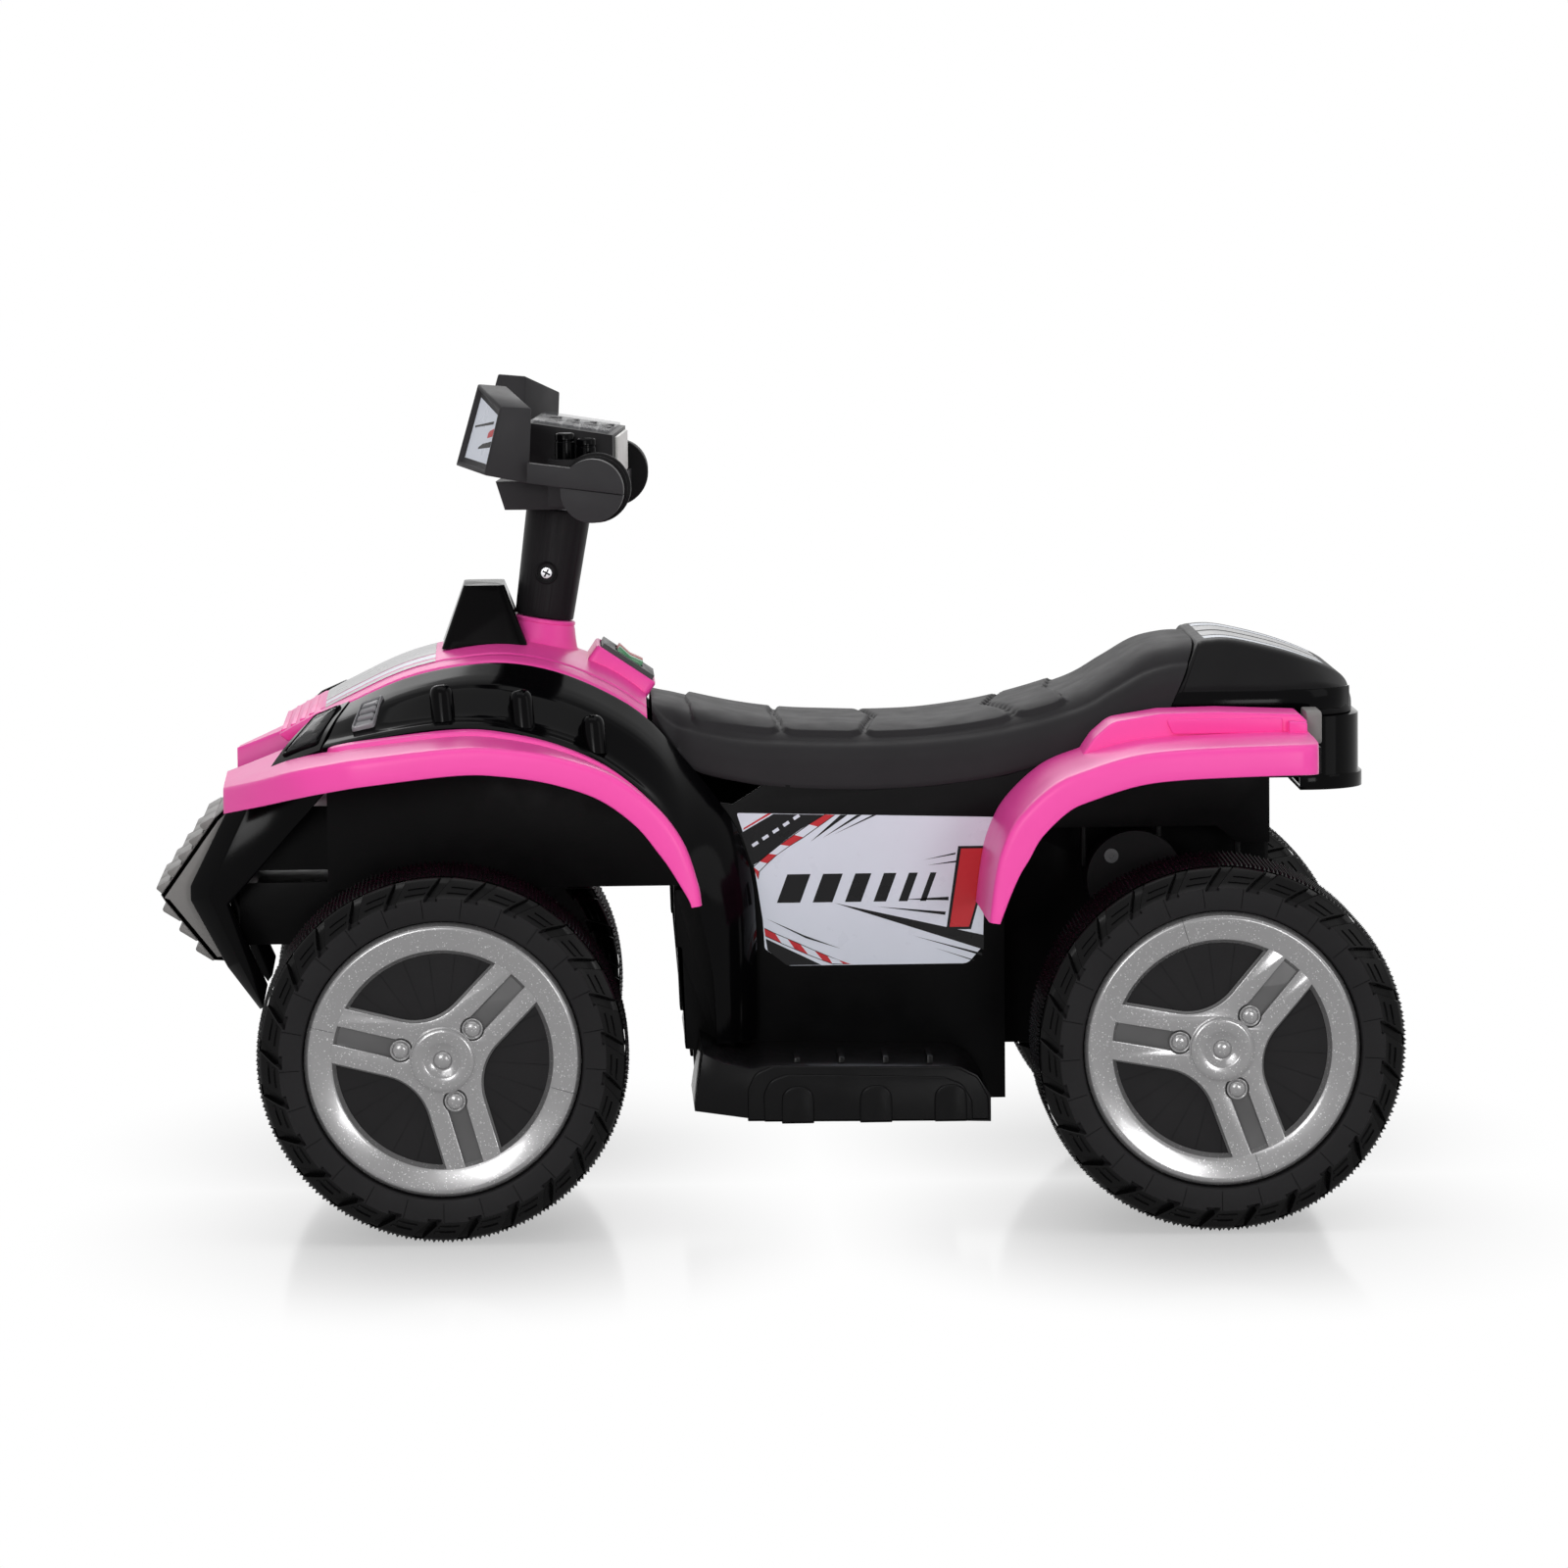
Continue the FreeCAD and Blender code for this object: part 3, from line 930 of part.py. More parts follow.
# Handlebar housings, lens, panel, grips, guards and buttons, all turned together with the column
bar = {}
lower = prism([(LOWER_REAR_X, SPLIT_Z), (LOWER_FRONT_X, SPLIT_Z), (LOWER_CHIN_X, LOWER_Z),
               (LOWER_REAR_X, LOWER_Z)],
              -LOWER_HALF, LOWER_HALF)
pods_low = block(POD_REAR_X, POD_FRONT_X, -POD_HALF, POD_HALF, LOWER_Z + WALL, SPLIT_Z)
bar["handlebar_lower"] = fuse(lower, pods_low).cut([rod_sleeve, Part.makeCone(
    COLUMN_FOOT_R, COLUMN_TOP_R, COLUMN_LENGTH, column_foot + AXIS_DIR * SEAM, AXIS_DIR)])
upper_z = SPLIT_Z + SEAM
upper = prism([(UPPER_REAR_X, upper_z), (UPPER_FRONT_X, upper_z), (UPPER_FRONT_X, UPPER_FRONT_Z),
               (UPPER_BROW_X, UPPER_BROW_Z), (UPPER_REAR_X, UPPER_REAR_Z)], -UPPER_HALF, UPPER_HALF)
pods_top = block(POD_REAR_X + PANEL_THICK, POD_FRONT_X, -POD_HALF, POD_HALF, upper_z, POD_TOP_Z)
wells = [rod(BUTTON_R + BUTTON_CLEAR, V(x, BUTTON_Y, BUTTON_WELL_Z), V(x, BUTTON_Y, POD_TOP_Z + OVERRUN))
         for x in (HORN_X, MUSIC_X)]
bar["handlebar_upper"] = fuse(upper, pods_top).cut(wells)
lens_slope = (UPPER_BROW_Z - UPPER_REAR_Z) / (UPPER_BROW_X - UPPER_REAR_X)
lens_low = [(x, UPPER_REAR_Z + (x - UPPER_REAR_X) * lens_slope + SEAM / 2)
            for x in (UPPER_REAR_X + LENS_INSET, UPPER_BROW_X - LENS_INSET)]
bar["dash_lens"] = prism(lens_low + [(x, z + LENS_THICK) for x, z in lens_low[::-1]], -LENS_HALF, LENS_HALF)
bar["dash_panel"] = block(UPPER_REAR_X - SEAM / 2 - PANEL_THICK, UPPER_REAR_X - SEAM / 2, -PANEL_HALF,
                          PANEL_HALF,
                          PANEL_Z, PANEL_TOP_Z)
bar["left_grip"] = rod(GRIP_R, V(GRIP_X, GRIP_START, GRIP_Z), V(GRIP_X, GRIP_END, GRIP_Z))
guard = loft([[V(x, y, z) for x, z in outline(GUARD_X, GUARD_LENGTH, GUARD_Z, GUARD_HEIGHT, shares)]
              for y, shares in ((GUARD_INNER_Y, GUARD_INNER_SHARES), (GUARD_OUTER_Y, GUARD_OUTER_SHARES))],
              True)
disc_y = GRIP_END + SEAM
disc = rod(DISC_R, V(GRIP_X, disc_y, GRIP_Z), V(GRIP_X, disc_y + DISC_THICK, GRIP_Z))
guard_arm = block(GUARD_ARM_X, GUARD_ARM_FRONT_X, GUARD_ARM_Y, disc_y + DISC_THICK, GUARD_ARM_Z,
                  GUARD_ARM_TOP_Z)
guard_tip = block(GUARD_ARM_TIP_X, GUARD_ARM_X + WALL, disc_y, disc_y + DISC_THICK, GUARD_ARM_Z,
                  GUARD_ARM_TOP_Z)
bar["left_hand_guard"] = fuse(guard, disc, guard_arm, guard_tip)
for side in ("grip", "hand_guard"):
    bar["right_" + side] = mirror(bar["left_" + side])
bar["steering_column"] = column.cut(rod_sleeve)
for name, x, top_z in (("horn_button", HORN_X, HORN_TOP_Z), ("music_button", MUSIC_X, MUSIC_TOP_Z)):
    button = rod(BUTTON_R, V(x, BUTTON_Y, BUTTON_Z), V(x, BUTTON_Y, top_z))
    bar[name] = button.makeFillet(BUTTON_ROUND, [e for e in button.Edges if e.BoundBox.ZMin > top_z - SEAM])
for name, shape in bar.items():
    shape.rotate(on_axis(0), AXIS_DIR, HANDLEBAR_TURN_DEG)
    nodes[name] = shape


# Wheels: hollow moulded tyre and a three-spoke cover, drawn at the origin with the outer face to +Y
def revolved(shares, bore):
    """Ring about the Y axis from shares of the wheel radius and half width,
    closed at the bore if one is given."""
    points = [(WHEEL_R * r, TYRE_HALF * y) for r, y in shares]
    if bore:
        points = [(bore, points[0][1])] + points + [(bore, points[-1][1])]
    wire = Part.makePolygon([V(r, y, 0) for r, y in points + points[:1]])
    return Part.Face(wire).revolve(V(0, 0, 0), V(0, 1, 0), 360)


recess = TYRE_HALF * TYRE_OUTER_SHARES[-1][1]
head_well = rod(HEAD_WELL_R, V(0, recess - HEAD_WELL_DEPTH, 0), V(0, recess + OVERRUN, 0))
tyre = revolved(TYRE_OUTER_SHARES, STUB_R + TYRE_BORE_GAP).cut([revolved(TYRE_HOLLOW_SHARES, 0), head_well])

# Gaps between the shoulder lugs, on both sides of the tyre
gap_points = [(WHEEL_R * r, TYRE_HALF * y) for r, y in LUG_GAP_SHARES]
gap_wire = Part.makePolygon([V(r, y, -LUG_GAP / 2) for r, y in gap_points + gap_points[:1]])
gap = Part.Face(gap_wire).extrude(V(0, 0, LUG_GAP))
gaps = []
for i in range(LUGS):
    turned = gap.copy()
    turned.rotate(V(0, 0, 0), V(0, 1, 0), 360 * i / LUGS)
    gaps += [turned, mirror(turned)]
tyre = tyre.cut(gaps)


def wheel_cover(first_deg):
    back = recess + COVER_BACK
    ring = rod(COVER_R, V(0, back, 0), V(0, back + COVER_RING_DEPTH, 0))
    ring = ring.makeChamfer(COVER_CHAMFER, [e for e in ring.Edges if e.BoundBox.YMin > back + SEAM])
    ring = ring.cut(rod(COVER_R - COVER_RING, V(0, back - OVERRUN, 0),
                        V(0, back + COVER_RING_DEPTH + OVERRUN, 0)))
    hub = rod(COVER_HUB_R, V(0, back, 0), V(0, back + COVER_RING_DEPTH, 0))
    hub = hub.makeChamfer(COVER_CHAMFER, [e for e in hub.Edges if e.BoundBox.YMin > back + SEAM])
    parts = [hub]
    channels = []
    for i in range(SPOKES):
        turn = first_deg + 360 * i / SPOKES
        spoke = block(0, COVER_R - COVER_RING / 2, back, back + COVER_SPOKE_DEPTH, -COVER_SPOKE_WIDTH / 2,
                      COVER_SPOKE_WIDTH / 2)
        boss = rod(COVER_BOSS_R, V(COVER_BOSS_AT, back, 0), V(COVER_BOSS_AT, back + COVER_RING_DEPTH, 0))
        channel = block(COVER_CHANNEL_START + COVER_BOSS_R, COVER_R - COVER_RING,
                        back + COVER_SPOKE_DEPTH - COVER_CHANNEL_DEPTH, back + COVER_SPOKE_DEPTH + OVERRUN,
                        -COVER_CHANNEL / 2, COVER_CHANNEL / 2)
        for shape in (spoke, boss, channel):
            shape.rotate(V(0, 0, 0), V(0, 1, 0), -turn)
        parts += [spoke, boss]
        channels.append(channel)
    return fuse(ring, *parts).cut(channels)


for end, x, first in (("front", FRONT_AXLE_X, FRONT_SPOKE_DEG), ("rear", REAR_AXLE_X, REAR_SPOKE_DEG)):
    for kind, shape in (("tyre", tyre.copy()), ("wheel_cover", wheel_cover(first))):
        shape.translate(V(x, WHEEL_Y, AXLE_Z))
        nodes["left_%s_%s" % (end, kind)] = shape
        nodes["right_%s_%s" % (end, kind)] = mirror(shape)

# Rear axle with a head at each end
axle = rod(AXLE_R, V(REAR_AXLE_X, -head_y - STUB_HEAD_THICK, AXLE_Z),
           V(REAR_AXLE_X, head_y + STUB_HEAD_THICK, AXLE_Z))
axle_head = rod(STUB_HEAD_R, V(REAR_AXLE_X, head_y, AXLE_Z), V(REAR_AXLE_X, head_y + STUB_HEAD_THICK, AXLE_Z))
nodes["rear_axle"] = fuse(axle, axle_head, mirror(axle_head))


# Gear train from the motor to the left rear wheel
def gear(teeth, width, phase_deg):
    """Straight-flanked gear about the Y axis at the origin,
    one tooth centred at the phase angle in the XZ plane."""
    pitch_r = GEAR_MODULE * teeth / 2
    tip_r = pitch_r + GEAR_MODULE * TOOTH_TIP_SHARE
    root_r = pitch_r - GEAR_MODULE * TOOTH_ROOT_SHARE
    step = 2 * math.pi / teeth
    points = []
    for i in range(teeth):
        middle = math.radians(phase_deg) + i * step
        for radius, offset in ((root_r, -TOOTH_ROOT_WIDTH_SHARE / 2), (tip_r, -TOOTH_TIP_WIDTH_SHARE / 2),
                               (tip_r, TOOTH_TIP_WIDTH_SHARE / 2), (root_r, TOOTH_ROOT_WIDTH_SHARE / 2)):
            angle = middle + offset * step
            points.append(V(radius * math.cos(angle), 0, radius * math.sin(angle)))
    return Part.Face(Part.makePolygon(points + points[:1])).extrude(V(0, width, 0))


first_reach = GEAR_MODULE * (PINION_TEETH + IDLER_TEETH) / 2
second_reach = GEAR_MODULE * (IDLER_PINION_TEETH + OUTPUT_TEETH) / 2
span = math.hypot(MOTOR_X - REAR_AXLE_X, MOTOR_Z - AXLE_Z)
along = (span ** 2 + second_reach ** 2 - first_reach ** 2) / (2 * span)
aside = math.sqrt(max(second_reach ** 2 - along ** 2, 0))
ux, uz = (MOTOR_X - REAR_AXLE_X) / span, (MOTOR_Z - AXLE_Z) / span
IDLER_X = REAR_AXLE_X + ux * along + uz * aside
IDLER_Z = AXLE_Z + uz * along - ux * aside
to_idler = math.degrees(math.atan2(IDLER_Z - MOTOR_Z, IDLER_X - MOTOR_X))
to_axle = math.degrees(math.atan2(AXLE_Z - IDLER_Z, REAR_AXLE_X - IDLER_X))
pinion = gear(PINION_TEETH, PINION_WIDTH, to_idler)
pinion.translate(V(MOTOR_X, FIRST_STAGE_Y - (PINION_WIDTH - GEAR_WIDTH) / 2, MOTOR_Z))
pinion_bore = rod(MOTOR_SHAFT_R + RUN_FIT, V(MOTOR_X, 0, MOTOR_Z), V(MOTOR_X, WHEEL_Y, MOTOR_Z))
nodes["motor_pinion"] = pinion.cut(pinion_bore)
big = gear(IDLER_TEETH, GEAR_WIDTH, to_idler + 180 + 180 / IDLER_TEETH)
big.translate(V(0, FIRST_STAGE_Y, 0))
small = gear(IDLER_PINION_TEETH, PINION_WIDTH, to_axle)
small.translate(V(0, SECOND_STAGE_Y - (PINION_WIDTH - GEAR_WIDTH) / 2, 0))
idler_hub = rod(IDLER_HUB_R, V(0, FIRST_STAGE_Y, 0), V(0, SECOND_STAGE_Y, 0))
idler = fuse(big, small, idler_hub).cut(rod(IDLER_SHAFT_R + RUN_FIT, V(0, 0, 0), V(0, WHEEL_Y, 0)))
idler.translate(V(IDLER_X, 0, IDLER_Z))
nodes["idler_gear"] = idler
output = gear(OUTPUT_TEETH, GEAR_WIDTH, to_axle + 180 + 180 / OUTPUT_TEETH)
output.translate(V(0, SECOND_STAGE_Y, 0))
hub_end_y = tyre_inner_y + TYRE_HALF * (1 + TYRE_OUTER_SHARES[0][1])
output_hub = rod(OUTPUT_HUB_R, V(0, SECOND_STAGE_Y, 0), V(0, hub_end_y, 0))
output = fuse(output, output_hub).cut(rod(AXLE_R + TYRE_BORE_GAP, V(0, 0, 0), V(0, WHEEL_Y, 0)))
output.translate(V(REAR_AXLE_X, 0, AXLE_Z))
nodes["output_gear"] = output

# Gearbox case in two halves, with the idler shaft in the inner half
spots = ((MOTOR_X, MOTOR_Z, CASE_MOTOR_R), (IDLER_X, IDLER_Z, CASE_IDLER_R),
         (REAR_AXLE_X, AXLE_Z, CASE_AXLE_R))


def case_block(y0, y1, less, spots_used):
    shapes = [rod(r - less, V(x, y0, z), V(x, y1, z)) for x, z, r in spots_used]
    return fuse(shapes[0], *shapes[1:])


inner_case = case_block(CASE_Y, CASE_SPLIT_Y, 0, spots).cut(
    [case_block(CASE_Y + CASE_WALL, CASE_SPLIT_Y + OVERRUN, CASE_WALL, spots),
     rod(MOTOR_SHAFT_HOLE_R, V(MOTOR_X, 0, MOTOR_Z), V(MOTOR_X, CASE_SPLIT_Y, MOTOR_Z))])
idler_shaft = rod(IDLER_SHAFT_R, V(IDLER_X, CASE_Y, IDLER_Z),
                  V(IDLER_X, CASE_NECK_Y - CASE_WALL - SEAM, IDLER_Z))
axle_bore = rod(AXLE_R, V(REAR_AXLE_X, 0, AXLE_Z), V(REAR_AXLE_X, CASE_SPLIT_Y, AXLE_Z))
nodes["gearbox_inner"] = fuse(inner_case, idler_shaft).cut(axle_bore)
outer_case = case_block(CASE_SPLIT_Y + SEAM, CASE_NECK_Y, 0, spots).cut(
    [case_block(CASE_SPLIT_Y - OVERRUN, CASE_NECK_Y - CASE_WALL, CASE_WALL, spots)])
neck = rod(OUTPUT_HUB_R + CASE_HUB_CLEAR + CASE_WALL, V(REAR_AXLE_X, CASE_NECK_Y - CASE_WALL, AXLE_Z),
           V(REAR_AXLE_X, CASE_OUTER_Y, AXLE_Z))
hub_room = rod(OUTPUT_HUB_R + CASE_HUB_CLEAR, V(REAR_AXLE_X, CASE_SPLIT_Y, AXLE_Z),
               V(REAR_AXLE_X, WHEEL_Y, AXLE_Z))
nodes["gearbox_outer"] = fuse(outer_case, neck).cut(hub_room)
motor_can = rod(MOTOR_R, V(MOTOR_X, MOTOR_Y, MOTOR_Z), V(MOTOR_X, MOTOR_Y + MOTOR_LENGTH, MOTOR_Z))
motor_shaft = rod(MOTOR_SHAFT_R, V(MOTOR_X, MOTOR_Y + MOTOR_LENGTH, MOTOR_Z),
                  V(MOTOR_X, FIRST_STAGE_Y + GEAR_WIDTH, MOTOR_Z))
nodes["motor"] = fuse(motor_can, motor_shaft)

# Battery on the belly floor
battery_x = BELLY_REAR_X + WALL + BATTERY_GAP + BATTERY_LENGTH
battery_z = BELLY_Z + WALL
battery = block(battery_x - BATTERY_LENGTH, battery_x, -BATTERY_WIDTH / 2, BATTERY_WIDTH / 2, battery_z,
                battery_z + BATTERY_HEIGHT)
battery = battery.makeFillet(BATTERY_ROUND, battery.Edges)
posts = [block(x, x + TERMINAL_SIZE, -TERMINAL_SIZE / 2, TERMINAL_SIZE / 2, battery_z + BATTERY_HEIGHT - WALL,
               battery_z + BATTERY_HEIGHT + TERMINAL_HEIGHT)
         for x in (battery_x - TERMINAL_SIZE * 2, battery_x - BATTERY_LENGTH + TERMINAL_SIZE)]
nodes["battery"] = fuse(battery, *posts)

# Accelerator pedal on the right footboard, hinged at its rear edge between two ears of the board
pedal_x = board_x - BOARD_LENGTH * PEDAL_SHARE
pivot = V(pedal_x - PEDAL_LENGTH, -PEDAL_Y - PEDAL_WIDTH / 2, board_top_z + PEDAL_LIFT)
y0 = -PEDAL_Y - PEDAL_WIDTH
pedal = block(pivot.x, pedal_x, y0, -PEDAL_Y, pivot.z - PEDAL_PIN_R, pivot.z - PEDAL_PIN_R + PEDAL_THICK)
pedal_barrel = rod(PEDAL_THICK / 2, V(pivot.x, y0, pivot.z + PEDAL_THICK / 2 - PEDAL_PIN_R),
                   V(pivot.x, -PEDAL_Y, pivot.z + PEDAL_THICK / 2 - PEDAL_PIN_R))
pedal = fuse(pedal, pedal_barrel)
hinge = V(pivot.x, 0, pivot.z + PEDAL_THICK / 2 - PEDAL_PIN_R)
pedal_pin = rod(PEDAL_PIN_R, V(hinge.x, y0 - PEDAL_EAR, hinge.z), V(hinge.x, -PEDAL_Y + PEDAL_EAR, hinge.z))
pedal = fuse(pedal, pedal_pin)
pedal.rotate(hinge, V(0, 1, 0), -PEDAL_TILT_DEG)
nodes["accelerator_pedal"] = pedal
right_board = mirror(board)
ears = []
for e0 in (y0 - PEDAL_EAR_GAP - PEDAL_EAR, -PEDAL_Y + PEDAL_EAR_GAP):
    ears.append(block(hinge.x - PEDAL_EAR_HALF, hinge.x + PEDAL_EAR_HALF, e0, e0 + PEDAL_EAR,
                      board_top_z - WALL / 2, hinge.z + PEDAL_EAR_HALF))
sweep = block(pivot.x - PEDAL_EAR_HALF, pedal_x + PEDAL_EAR_HALF, y0 - PEDAL_EAR_GAP,
              -PEDAL_Y + PEDAL_EAR_GAP,
              board_top_z, board_top_z + BOARD_RISE)
right_board = fuse(right_board, *ears).cut(
    [rod(PEDAL_PIN_R + RUN_FIT, V(hinge.x, -BOARD_HALF, hinge.z), V(hinge.x, -BODY_HALF, hinge.z)), sweep])
nodes["right_footboard"] = right_board

# Screws on the gearbox case, a group of separate solids
screws = []
for dx, dz in ((1, 1), (-1, -1)):
    reach = CASE_MOTOR_R - SCREW_HEAD_R * 2
    side = math.copysign(reach / math.sqrt(2), dx)
    start = V(MOTOR_X + side, CASE_NECK_Y, MOTOR_Z + math.copysign(reach / math.sqrt(2), dz))
    head = rod(SCREW_HEAD_R, start, start + V(0, SCREW_HEAD, 0))
    face = start + V(0, SCREW_HEAD, 0)
    socket = rod(SCREW_SOCKET_R, face - V(0, SCREW_SOCKET_DEPTH, 0), face + V(0, OVERRUN, 0))
    screws.append(head.cut(socket))
nodes["case_screws"] = Part.makeCompound(screws)

# Right-hand pieces that mirror the left
for name in ("front_fender", "front_shroud", "headlight", "rear_fender", "tail_light", "side_decal",
             "knuckle"):
    nodes["right_" + name] = mirror(nodes["left_" + name])

os.makedirs("parts", exist_ok=True)
for name, shape in nodes.items():
    shape.exportStep("parts/%s.step" % name)
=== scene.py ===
import json
import math

import bmesh
import bpy
from mathutils import Matrix, Vector


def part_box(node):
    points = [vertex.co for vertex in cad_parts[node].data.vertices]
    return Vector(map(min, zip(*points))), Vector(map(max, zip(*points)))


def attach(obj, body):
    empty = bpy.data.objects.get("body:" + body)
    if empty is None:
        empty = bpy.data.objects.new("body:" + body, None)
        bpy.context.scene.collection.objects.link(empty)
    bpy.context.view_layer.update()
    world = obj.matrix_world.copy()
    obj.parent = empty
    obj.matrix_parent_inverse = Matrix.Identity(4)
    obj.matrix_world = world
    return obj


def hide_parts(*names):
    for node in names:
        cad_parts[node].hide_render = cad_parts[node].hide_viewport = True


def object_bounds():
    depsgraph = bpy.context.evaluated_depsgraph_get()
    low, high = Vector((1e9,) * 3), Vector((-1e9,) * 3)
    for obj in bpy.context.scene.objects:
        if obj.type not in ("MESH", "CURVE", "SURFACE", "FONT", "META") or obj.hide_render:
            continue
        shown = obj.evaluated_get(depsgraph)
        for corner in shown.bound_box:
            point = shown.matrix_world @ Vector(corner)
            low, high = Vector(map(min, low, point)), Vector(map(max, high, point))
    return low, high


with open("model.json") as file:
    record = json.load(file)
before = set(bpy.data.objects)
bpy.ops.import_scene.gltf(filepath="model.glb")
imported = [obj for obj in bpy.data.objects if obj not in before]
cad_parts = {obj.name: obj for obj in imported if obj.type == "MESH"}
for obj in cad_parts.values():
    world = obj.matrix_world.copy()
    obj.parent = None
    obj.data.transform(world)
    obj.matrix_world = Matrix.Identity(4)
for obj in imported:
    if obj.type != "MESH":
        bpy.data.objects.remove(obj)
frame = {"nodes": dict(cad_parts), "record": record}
cad_low, cad_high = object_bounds()

# Lengths are written in millimetres of a bike 690 long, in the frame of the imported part:
# +X forward, +Y to the rider's left, +Z up, ground at zero.
DRAWN_LENGTH = 690.0
MM = (cad_high.x - cad_low.x) / DRAWN_LENGTH
SIDES = {"left": 1, "right": -1}

TYRE_LOW, TYRE_HIGH = (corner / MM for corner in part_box("left_front_tyre"))
TYRE_MIDDLE = (TYRE_LOW + TYRE_HIGH) / 2
FRONT_AXLE_X, WHEEL_Y, AXLE_Z = TYRE_MIDDLE
REAR_AXLE_X = sum(corner.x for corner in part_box("left_rear_tyre")) / 2 / MM
TYRE_HALF = (TYRE_HIGH.y - TYRE_LOW.y) / 2


# Looks: each is a procedural material and the record's slot that it belongs to
LOOKS = {}


def node(tree, kind, inputs, output, **settings):
    """Adds a shader node, sets or links its inputs and returns one of its outputs."""
    made = tree.nodes.new(kind)
    for name, value in settings.items():
        setattr(made, name, value)
    for name, value in inputs.items():
        if isinstance(value, bpy.types.NodeSocket):
            tree.links.new(value, made.inputs[name])
        else:
            made.inputs[name].default_value = value
    return made.outputs[output]


def place_of(tree):
    """The piece's own coordinates."""
    return node(tree, "ShaderNodeTexCoord", {}, "Object")


def ramp(tree, source, low, high, low_at=0.35, high_at=0.65):
    """Colour ramp between two colours, driven by a texture output."""
    colour = node(tree, "ShaderNodeValToRGB", {"Fac": source}, "Color")
    for element, tint, place in zip(colour.node.color_ramp.elements, (low, high), (low_at, high_at)):
        element.position = place
        element.color = (*tint, 1.0)
    return colour


def noise(tree, size, detail=3.0):
    """Noise over the piece's own coordinates with features of about that size in millimetres."""
    inputs = {"Vector": place_of(tree), "Scale": 1.0 / (size * MM), "Detail": detail}
    return node(tree, "ShaderNodeTexNoise", inputs, "Fac")


def span(tree, source, low, high):
    """The middle stretch of a noise spread over a range of values."""
    inputs = {"Value": source, "From Min": 0.3, "From Max": 0.7, "To Min": low, "To Max": high}
    return node(tree, "ShaderNodeMapRange", inputs, "Result")


def bump(tree, source, depth, strength, before=None):
    inputs = {"Height": source, "Distance": depth * MM, "Strength": strength}
    if before:
        inputs["Normal"] = before
    return node(tree, "ShaderNodeBump", inputs, "Normal")


DRIFT_SIZE, WEAR_SIZE, RIPPLE_SIZE = 40.0, 14.0, 22.0
COAT_ROUGH = 0.06


def look(name, slot, colour, rough, drift, grain=0.0, grain_size=0.8, ripple=0.0, metallic=0.0, coat=0.0,
         specular=0.5):
    """Moulded plastic or metal: colour and roughness drift over it, with a grain and a faint ripple."""
    material = bpy.data.materials.new(name)
    material.use_nodes = True
    tree = material.node_tree
    shader = tree.nodes["Principled BSDF"]
    shader.inputs["Metallic"].default_value = metallic
    shader.inputs["Coat Weight"].default_value = coat
    shader.inputs["Coat Roughness"].default_value = COAT_ROUGH
    shader.inputs["Specular IOR Level"].default_value = specular
    dark = [c * (1 - drift) for c in colour]
    light = [min(c * (1 + drift), 1.0) for c in colour]
    tree.links.new(ramp(tree, noise(tree, DRIFT_SIZE), dark, light), shader.inputs["Base Color"])
    tree.links.new(span(tree, noise(tree, WEAR_SIZE, 5.0), *rough), shader.inputs["Roughness"])
    normal = None
    if ripple:
        normal = bump(tree, noise(tree, RIPPLE_SIZE, 1.0), ripple, 0.5)
    if grain:
        normal = bump(tree, noise(tree, grain_size, 2.0), grain, 0.6, normal)
    if normal:
        tree.links.new(normal, shader.inputs["Normal"])
    LOOKS[name] = (material, slot)
    return material


# Name, slot, colour, roughness from and to, drift of the colour, depth and size of the grain
look("pink", "pink_plastic", (0.93, 0.08, 0.415), (0.3, 0.33), 0.008, 0.004, 1.2, specular=0.22)
look("black_gloss", "black_gloss", (0.0014, 0.0014, 0.0017), (0.1, 0.13), 0.1, 0.003, 1.0,
     ripple=0.02, specular=0.055)
look("black_satin", "black_satin", (0.006, 0.0058, 0.0063), (0.38, 0.46), 0.08, 0.04, 0.7,
     ripple=0.03, specular=0.06)
look("board_black", "black_satin", (0.0032, 0.0031, 0.0034), (0.2, 0.26), 0.08, 0.01, 0.7, specular=0.08)
look("seat_black", "black_satin", (0.026, 0.025, 0.0267), (0.42, 0.5), 0.05, 0.05, 0.6, specular=0.03)
look("bar_black", "black_satin", (0.034, 0.033, 0.035), (0.4, 0.48), 0.05, 0.04, 0.7, specular=0.06)
look("tub_black", "black_satin", (0.0036, 0.0036, 0.0038), (0.3, 0.42), 0.1, 0.07, 0.9,
     ripple=0.05, specular=0.05)
look("intake_black", "black_gloss", (0.004, 0.004, 0.0042), (0.12, 0.16), 0.05, ripple=0.02, specular=0.02)
look("louvre_grey", "grey_plastic", (0.2, 0.2, 0.21), (0.25, 0.33), 0.05, 0.03, 0.6)
look("column_black", "black_satin", (0.0135, 0.013, 0.014), (0.36, 0.44), 0.06, 0.04, 0.7, specular=0.06)
look("tread_black", "tyre_plastic", (0.003, 0.0029, 0.0031), (0.22, 0.3), 0.08, 0.03, 0.8, specular=0.1)
# Darker silver for the spokes' sunk floor: painted shade in the recess, not a colour of its own
look("silver_painted_shade", "silver_plastic", (0.07, 0.069, 0.07), (0.3, 0.38), 0.08, 0.03, 0.5, metallic=0.4)
look("tyre", "tyre_plastic", (0.0135, 0.013, 0.0138), (0.4, 0.5), 0.08, 0.05, 0.8, specular=0.08)
look("grey", "grey_plastic", (0.2, 0.193, 0.188), (0.4, 0.5), 0.05, 0.05, 0.8, specular=0.3)
look("panel_grey", "grey_plastic", (0.045, 0.045, 0.047), (0.36, 0.48), 0.06, 0.04, 0.8, specular=0.2)
look("white", "white_plastic", (0.62, 0.62, 0.6), (0.35, 0.45), 0.03, 0.03, 0.9)
look("film_white", "sticker", (0.68, 0.72, 0.8), (0.26, 0.32), 0.015, 0.004, 1.5, specular=0.3)
